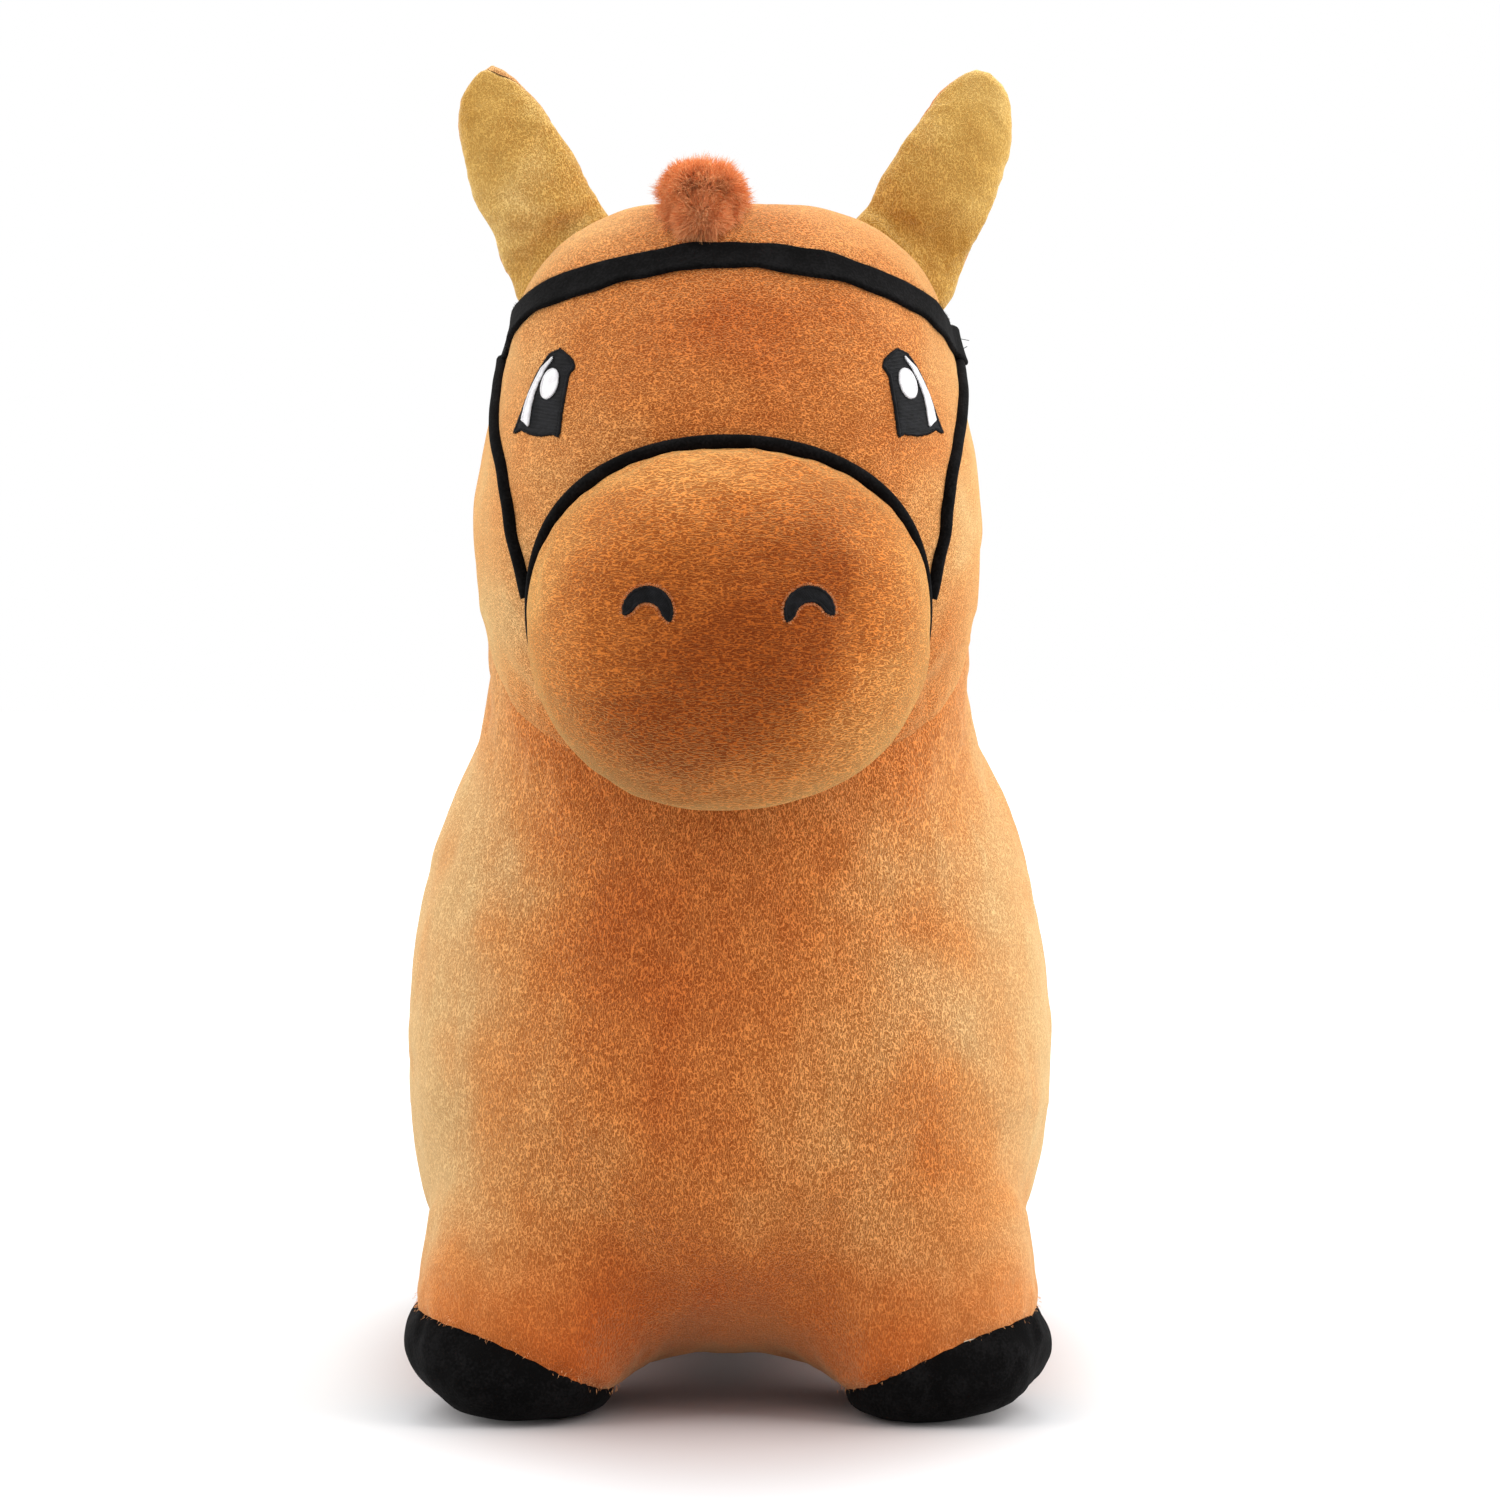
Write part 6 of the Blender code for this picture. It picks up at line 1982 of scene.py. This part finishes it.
@dataclass
class Forelock:
    """The fluffy tuft between the ears, which hangs over the forehead down to the browband."""

    wardrobe: Wardrobe
    lobes: tuple[Lobe, ...] = (
        Lobe((-0.0108, -0.1755, 0.4903), (0.0192, 0.0262, 0.0198), 14000),
        Lobe((-0.0168, -0.1800, 0.4965), (0.0122, 0.0190, 0.0122), 3500),
        Lobe((-0.0030, -0.1800, 0.4950), (0.0118, 0.0190, 0.0116), 3500),
        Lobe((-0.0108, -0.1930, 0.4835), (0.0136, 0.0130, 0.0128), 5000),
    )
    parting: float = -0.0045
    core_share: float = 0.58

    def build(self) -> None:
        """Make the tuft."""
        draw = np.random.default_rng(81)
        parts = [self.lobe(lobe, draw) for lobe in self.lobes]
        roots, first, second, lengths = (np.concatenate(part) for part in zip(*parts))
        made = Strands(83, 0.00028).build("forelock_fibres", roots, first, second, lengths)
        cores = joined("cores", [self.core(lobe) for lobe in self.lobes])
        with editing(made) as work:
            work.from_mesh(cores.data)
        discard(cores)
        show(made, self.wardrobe.pile, "long_pile", "horse", "forelock")

    def core(self, lobe: Lobe) -> Form:
        """The dense middle of a lobe, which keeps light from falling through it."""
        steps = np.linspace(0.15, math.pi - 0.15, 12)
        turns = turns_round(20)
        across, up = np.sin(steps)[:, None], np.cos(steps)[:, None]
        ball = np.stack([across * np.cos(turns), across * np.sin(turns), up * np.ones_like(turns)], axis=2)
        return loft(np.array(lobe.centre) + ball * np.array(lobe.half) * self.core_share)

    def lobe(self, lobe: Lobe, draw: np.random.Generator) -> tuple[Rows, Rows, Rows, Rows]:
        """Roots, first and second directions and lengths of a lobe's fibres."""
        way = unit(draw.normal(size=(lobe.count, 3)))
        way[:, 1] -= 0.15
        centre, half = np.array(lobe.centre), np.array(lobe.half)
        core = draw.uniform(0.45, 0.75, lobe.count)
        roots = centre + way * half * core[:, None]
        clumps = 1.0 + Waves(82, 0.009, 0.07).at(centre + way * half)
        lengths = np.linalg.norm(way * half, axis=1) * (clumps - core) * draw.uniform(0.80, 1.12, lobe.count)
        low = smoothstep(0.490, 0.478, roots[:, 2]) * smoothstep(0.0, -0.4, way[:, 1])
        apart = (roots[:, 0] - self.parting) / 0.003
        first = way.copy()
        first[:, 0] += low * np.sign(apart) * np.exp(-(apart**2)) * 0.6
        second = first + draw.normal(size=(lobe.count, 3)) * 0.42
        second[:, 2] -= 0.35 * smoothstep(-0.1, -0.8, way[:, 1])
        return roots, first, second, np.maximum(lengths, 0.0035)


@dataclass
class Mane:
    """The strip of long pile from the poll down the back of the neck."""

    wardrobe: Wardrobe
    horse: HorseShape
    half_width: float = 0.0165
    height: float = 0.0225
    count: int = 28000

    def build(self) -> None:
        """Make the mane."""
        draw = np.random.default_rng(91)
        nape = self.horse.nape()[4:-6]
        place = draw.uniform(0.0, len(nape) - 1.001, self.count)
        k = place.astype(int)
        share = (place - k)[:, None]
        row = nape[k] * (1 - share) + nape[k + 1] * share
        swell = np.sqrt(np.sin(math.pi * (0.06 + 0.88 * place / (len(nape) - 1))))
        across = np.clip(draw.normal(size=self.count) * 0.42, -1.0, 1.0)
        outward = np.column_stack([np.zeros(self.count), row[:, 2:]])
        roots = np.column_stack([across * self.half_width * 0.80 * swell, row[:, :2]]) - outward * 0.0030
        sideways = np.column_stack([across * 0.9, np.zeros(self.count), np.full(self.count, -0.15)])
        first = outward + sideways * 0.6 + draw.normal(size=(self.count, 3)) * 0.16
        second = outward * 0.35 + sideways * 1.1 + draw.normal(size=(self.count, 3)) * 0.28
        clumps = 1.0 + Waves(93, 0.012, 0.12).at(roots)
        lengths = self.height * 1.10 * swell * clumps * draw.uniform(0.66, 1.05, self.count)
        made = Strands(92, 0.00038).build("mane_fibres", roots, first, second, lengths)
        show(made, self.wardrobe.pile, "long_pile", "horse", "mane")


@dataclass
class Tail:
    """The lock of long hair that hangs behind the rump."""

    wardrobe: Wardrobe
    count: int = 9000
    half_width: float = 0.0085
    half_depth: float = 0.0070
    sewn_in: float = 0.006

    def build(self) -> None:
        """Make the tail's hair from the frame's own solid."""
        low, high = (np.array(corner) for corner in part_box("tail_hair"))
        draw = np.random.default_rng(95)
        turn = draw.uniform(0.0, 2 * math.pi, self.count)
        spread = np.sqrt(draw.uniform(0.0, 1.0, self.count))
        middle = (low[1] + high[1]) / 2
        top = high[2] - self.sewn_in
        rise = draw.uniform(0.0, 1.0, self.count) ** 1.7
        x = np.cos(turn) * spread * self.half_width
        y = middle - 0.001 + np.sin(turn) * spread * self.half_depth
        roots = np.column_stack([x, y, top - rise * (top - low[2]) * 0.55])
        level = np.zeros(self.count)
        round_lock = np.column_stack([np.cos(turn) * spread, np.sin(turn) * spread * 0.8, level])
        sway = np.column_stack([Waves(97, 0.030).at(roots), Waves(98, 0.030).at(roots), level])
        down = np.array([0.0, 0.0, -1.0])
        first = down + round_lock * 0.34 + sway * 0.06 + draw.normal(size=(self.count, 3)) * 0.10
        second = down - round_lock * 0.25 + sway * 0.10 + draw.normal(size=(self.count, 3)) * 0.16
        lengths = (roots[:, 2] - low[2]) * draw.uniform(0.70, 1.0, self.count)
        made = Strands(96, 0.00050, 6).build("tail_fibres", roots, first, second, np.maximum(lengths, 0.012))
        points = points_of(made)
        thick = high[1] - low[1]
        beyond = np.maximum(points[:, 1] - (low[1] + thick * 0.7), 0.0)
        points[:, 1] = np.maximum(points[:, 1] - beyond * 0.8, low[1] + 0.0002)
        set_points(made, points)
        show(made, self.wardrobe.pile, "long_pile", "tail_hair", "tail_hair")


@dataclass
class Fringe:
    """Fibres of the plush's own pile that overhang the hoof seams."""

    wardrobe: Wardrobe
    skin: Skin
    seam_length: float = 0.30
    spacing: float = 0.00042
    length: float = 0.0019

    def build(self) -> None:
        """Make a fringe for each leg."""
        for i, leg in enumerate(self.skin.legs):
            piece = self.skin.pieces[f"leg_plush_{leg.label}"]
            points, normals = points_of(piece), normals_of(piece)
            low = np.abs(leg.above_seam(points)) < 0.0030
            rim, outward = points[low], normals[low]
            draw = np.random.default_rng(101 + i)
            count = int(self.seam_length / self.spacing)
            pick = draw.integers(0, len(rim), count)
            down = -leg.seam_normal()
            roots = rim[pick] + draw.normal(size=(count, 3)) * 0.0009 - outward[pick] * 0.0002
            first = outward[pick] * 0.9 + down * 0.7 + draw.normal(size=(count, 3)) * 0.35
            second = down + outward[pick] * 0.3 + draw.normal(size=(count, 3)) * 0.35
            lengths = self.length * draw.uniform(0.5, 1.1, count)
            name = f"hoof_fringe_{leg.label}"
            made = Strands(111 + i, 0.00022, 3).build(name, roots, first, second, lengths)
            show(made, self.wardrobe.pile, "orange_plush", f"hoof_{leg.label}")


# What is inside, and the zip


@dataclass
class Inside:
    """What fills the plush: the stuffing, the air bladder with its leg chambers, and the neck partition."""

    wardrobe: Wardrobe
    skin: Skin
    covers: Drape
    lump: float = 0.0012
    crease: float = 0.0006
    clearance: float = 0.0012
    hoof_travel: float = 0.0075

    def make_room(self, bladder: Piece) -> None:
        """Raise the bladder's floor over the legs, where the hooves slide up."""
        points = points_of(bladder)
        for leg in self.skin.legs:
            close = smoothstep(-0.012, 0.004, leg.near(points))
            points[:, 2] += self.hoof_travel * close * smoothstep(0.090, 0.060, points[:, 2])
        set_points(bladder, points)

    def tuck(self, piece: Piece) -> None:
        """Draw a piece in wherever it would come through the plush."""
        points = points_of(piece)
        for i, point in enumerate(points):
            near, normal, _, distance = self.covers.tree.find_nearest(Vector(point))
            height = (Vector(point) - near).dot(normal)
            if distance < self.clearance * 4 and height > -self.clearance:
                points[i] = near - normal * self.clearance
        set_points(piece, points)

    def build(self) -> None:
        """Make everything inside the plush from the frame's plain solids."""
        self.stuffing("head_filling", "horse", 0.0045, 0.0)
        for side in Side:
            self.stuffing(f"ear_filling_{side.label}", f"ear_{side.label}", 0.0022, 0.3)
        bladder = self.copied("air_bladder", "air_bladder_skin")
        self.make_room(bladder)
        show(bladder, self.wardrobe.vinyl, "bladder_vinyl", "horse", "air_bladder")
        for leg in self.skin.legs:
            chamber = self.copied(f"bladder_leg_{leg.label}", f"bladder_leg_skin_{leg.label}")
            show(chamber, self.wardrobe.vinyl, "bladder_vinyl", None, f"bladder_leg_{leg.label}")
            f"hoof_{leg.label}"
            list(self.skin.spans[leg.label])
            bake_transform(chamber)
        self.partition()

    def copied(self, node: str, name: str) -> Piece:
        """A finer, slightly creased copy of one of the frame's solids."""
        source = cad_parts[node]
        mesh = source.data.copy()
        mesh.transform(source.matrix_world)
        mesh.name = name
        made = bpy.data.objects.new(name, mesh)
        bpy.context.scene.collection.objects.link(made)
        subdivide(made, "SIMPLE")
        points = points_of(made)
        inward = unit(points.mean(axis=0) - points)
        depth = self.crease * np.clip(0.5 + Waves(121, 0.030, 0.4).at(points), 0.0, 1.0)
        set_points(made, points + inward * depth[:, None])
        self.tuck(made)
        made.data.set_sharp_from_angle(angle=SHARP_ANGLE)
        return made

    def stuffing(self, node: str, body: str, voxel: float, calm: float) -> None:
        """Loose stuffing, a little smaller and lumpier than the frame's solid."""
        made = self.copied(node, node.replace("filling", "stuffing"))
        remesh(made, voxel, 0.4, 3)
        lumps = np.clip(0.5 + Waves(131, 0.016, 0.4).at(points_of(made)), 0.0, 1.0)
        push(made, -(self.lump * (1.0 - calm) * lumps))
        show(made, self.wardrobe.stuffing, "stuffing", body, node)

    def partition(self) -> None:
        """The cloth disc sewn across the neck."""
        made = self.copied("neck_partition", "neck_partition_cloth")
        show(made, self.wardrobe.lining, "lining", "horse", "neck_partition")


@dataclass
class ZipTeeth:
    """Two rows of moulded teeth along the belly zip."""

    wardrobe: Wardrobe
    pitch: float = 0.0017
    tooth: float = 0.0010
    profile: tuple[Pair, ...] = (
        (0.0, 0.55), (0.08, 0.9), (0.30, 1.0), (0.52, 0.72), (0.78, 0.80), (1.0, 0.75),
    )
    facets: int = 12

    def build(self) -> None:
        """Make both rows, each tooth opposite a gap of the other row."""
        for side in Side:
            low, high = (np.array(corner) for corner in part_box(f"zip_teeth_{side.label}"))
            inner, outer = sorted((abs(low[0]), abs(high[0])))
            start = low[1] + self.pitch * (0.35 if side is Side.LEFT else 0.85)
            forms = []
            for y in np.arange(start, high[1] - self.tooth / 2, self.pitch):
                forms.append(self.one(side, float(y), inner + 0.0001, outer, low[2], high[2]))
            place, level = side.value * (outer - 0.0005), (low[2] + high[2]) / 2
            cord = np.array([(place, y, level) for y in (low[1], high[1])])
            upward = np.repeat([[0.0, 0.0, 1.0]], 2, axis=0)
            forms.append(sweep(cord, upward, tube_outline(0.00045, 0.0, 8)))
            made = joined(f"zip_teeth_row_{side.label}", forms)
            show(made, self.wardrobe.zip_nylon, "zip_black", "horse", f"zip_teeth_{side.label}")

    def one(self, side: Side, y: float, inner: float, outer: float, low: float, high: float) -> Form:
        """A tooth with a narrow waist and a rounded head."""
        rings = []
        turns = turns_round(self.facets)
        middle, half = (low + high) / 2, (high - low) / 2
        for share, size in self.profile:
            x = side.value * (inner + (outer - inner) * share)
            width = signed_power(np.cos(turns), 0.6) * self.tooth / 2 * size
            height = signed_power(np.sin(turns), 0.6) * half * (0.70 + 0.25 * size)
            rings.append(np.column_stack([np.full(self.facets, x), y + width, middle + height]))
        return loft(np.array(rings))


@dataclass
class Frame:
    """The frame's own nodes that stay as they are, each with its finish."""

    wardrobe: Wardrobe

    def build(self) -> None:
        """Dress the nodes that stay."""
        finishes = {
            "valve": self.wardrobe.vinyl,
            "zip_tape": self.wardrobe.zip_tape,
            "zip_stop": self.wardrobe.zip_metal,
            "zip_slider": self.wardrobe.zip_metal,
            "zip_pull": self.wardrobe.zip_metal,
            "tail_tape": self.wardrobe.velour,
        }
        for name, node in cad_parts.items():
            for start, finish in finishes.items():
                if name.startswith(start):
                    dress(node, finish)
                    node.data.shade_smooth()
                    node.data.set_sharp_from_angle(angle=SHARP_ANGLE)


# The studio


@dataclass
class Studio:
    """A pale floor, soft lamps and the camera of the photograph."""

    camera_place: Place = (0.0, -2.1, 0.33)
    sensor: float = 36.0
    focus: float = 1.98
    view_width: float = 0.6231
    shift: Pair = (0.0143, -0.0990)
    reach: float = 12.0
    lamps: tuple[tuple[str, Place, float, float], ...] = (
        ("key_left", (-1.5, -0.20, 1.35), 2.0, 28.0),
        ("key_right", (1.5, -0.20, 1.35), 2.0, 44.0),
        ("top", (0.0, 0.95, 1.8), 1.6, 30.0),
    )
    aim: Place = (0.0, -0.05, 0.28)
    ambient: float = 0.78

    def build(self) -> None:
        """Set up the floor, lamps, world and camera."""
        self.floor()
        for lamp in self.lamps:
            self.lamp(*lamp)
        self.world()
        self.camera()
        bpy.context.scene.view_settings.view_transform = "Standard"

    def floor(self) -> None:
        """A wide pale floor that keeps the horse's shadow, with a painted shadow round its feet."""
        square = np.array([(-1.0, -1.0, 0.0), (1.0, -1.0, 0.0), (1.0, 1.0, 0.0), (-1.0, 1.0, 0.0)])
        made = new_piece("floor", square * self.reach, [(0, 1, 2, 3)])
        recipe = Recipe("pale_floor")
        path = recipe.node("ShaderNodeLightPath")
        rays = {i: path.outputs[name] for i, name in enumerate(("Is Camera Ray", "Is Glossy Ray"))}
        seen = recipe.node("ShaderNodeMath", {"operation": "MAXIMUM"}, rays)
        # Painted shadow: close to the horse the floor is painted darker and its glow is off, which deepens
        # the shadow round the feet.
        squeezed = recipe.stretched((2.0, 0.85, 1.0))
        away = recipe.node("ShaderNodeVectorMath", {"operation": "LENGTH"}, {0: squeezed})
        near = Value(recipe, away.outputs["Value"]).rise(0.19, 0.36)
        far = recipe.distance((0.0, 0.0, 0.0)).rise(0.5, 3.5)
        glow = recipe.mix(near, (0.0, 0.0, 0.0), (0.20, 0.20, 0.20))
        glow = recipe.mix(far, glow, (0.85, 0.85, 0.85))
        colour = recipe.mix(near, (0.49, 0.445, 0.44), (0.575, 0.585, 0.595))
        recipe.finish(base_color=colour, roughness=1.0, specular_ior_level=0.0)
        dress(made, recipe.finish(emission_color=glow, emission_strength=seen.outputs[0]))

    def lamp(self, name: str, place: Place, size: float, power: float) -> None:
        """A square soft lamp that looks at the horse."""
        light = bpy.data.lights.new(name, "AREA")
        light.size = size
        light.energy = power
        holder = bpy.data.objects.new(name, light)
        holder.location = place
        holder.rotation_euler = (Vector(self.aim) - Vector(place)).to_track_quat("-Z", "Y").to_euler()
        bpy.context.scene.collection.objects.link(holder)

    def world(self) -> None:
        """An even world that the camera sees as white."""
        world = bpy.data.worlds.new("studio")
        bpy.context.scene.world = world
        world.use_nodes = True
        tree = world.node_tree
        background = tree.nodes["Background"]
        path = tree.nodes.new("ShaderNodeLightPath")
        mix = tree.nodes.new("ShaderNodeMapRange")
        tree.links.new(path.outputs["Is Camera Ray"], mix.inputs["Value"])
        mix.inputs["To Min"].default_value = self.ambient
        mix.inputs["To Max"].default_value = 1.0
        tree.links.new(mix.outputs["Result"], background.inputs["Strength"])
        background.inputs["Color"].default_value = (1.0, 1.0, 1.0, 1.0)

    def camera(self) -> None:
        """The camera at the photograph's place, level with the muzzle."""
        data = bpy.data.cameras.new("camera")
        data.sensor_width = self.sensor
        data.lens = self.sensor * self.focus / self.view_width
        data.shift_x, data.shift_y = self.shift
        holder = bpy.data.objects.new("camera", data)
        holder.location = self.camera_place
        holder.rotation_euler = (math.pi / 2, 0.0, 0.0)
        bpy.context.scene.collection.objects.link(holder)
        bpy.context.scene.camera = holder


def corners(box: tuple[Vector, Vector]) -> list[list[float]]:
    """A box's two corners as plain lists."""
    return [list(corner) for corner in box]


def main() -> None:
    """Build the horse round the frame and light it."""
    logging.basicConfig(level=logging.INFO, format="%(name)s: %(message)s")
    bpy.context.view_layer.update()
    wardrobe = Wardrobe()
    horse = HorseShape()
    muzzle_shape = MuzzleShape()
    legs = [LegShape(side, end) for end in End for side in Side]
    skin = Skin(wardrobe, horse, legs, muzzle_shape.form())
    skin.build()
    muzzle = Muzzle(wardrobe, muzzle_shape, skin.form)
    muzzle.build()
    Ears(wardrobe, [EarShape(side) for side in Side]).build()
    head_drape = Drape([skin.pieces[name] for name in ("head_plush", "body_plush_left", "body_plush_right")])
    Bridle(wardrobe, head_drape, skin.form, muzzle_shape).build()
    Face(wardrobe, head_drape, Drape([muzzle.piece])).build()
    Forelock(wardrobe).build()
    Mane(wardrobe, horse).build()
    Tail(wardrobe).build()
    Fringe(wardrobe, skin).build()
    Inside(wardrobe, skin, Drape([*skin.pieces.values(), muzzle.piece])).build()
    ZipTeeth(wardrobe).build()
    Frame(wardrobe).build()
    Studio().build()


if __name__ == "__main__":
    main()
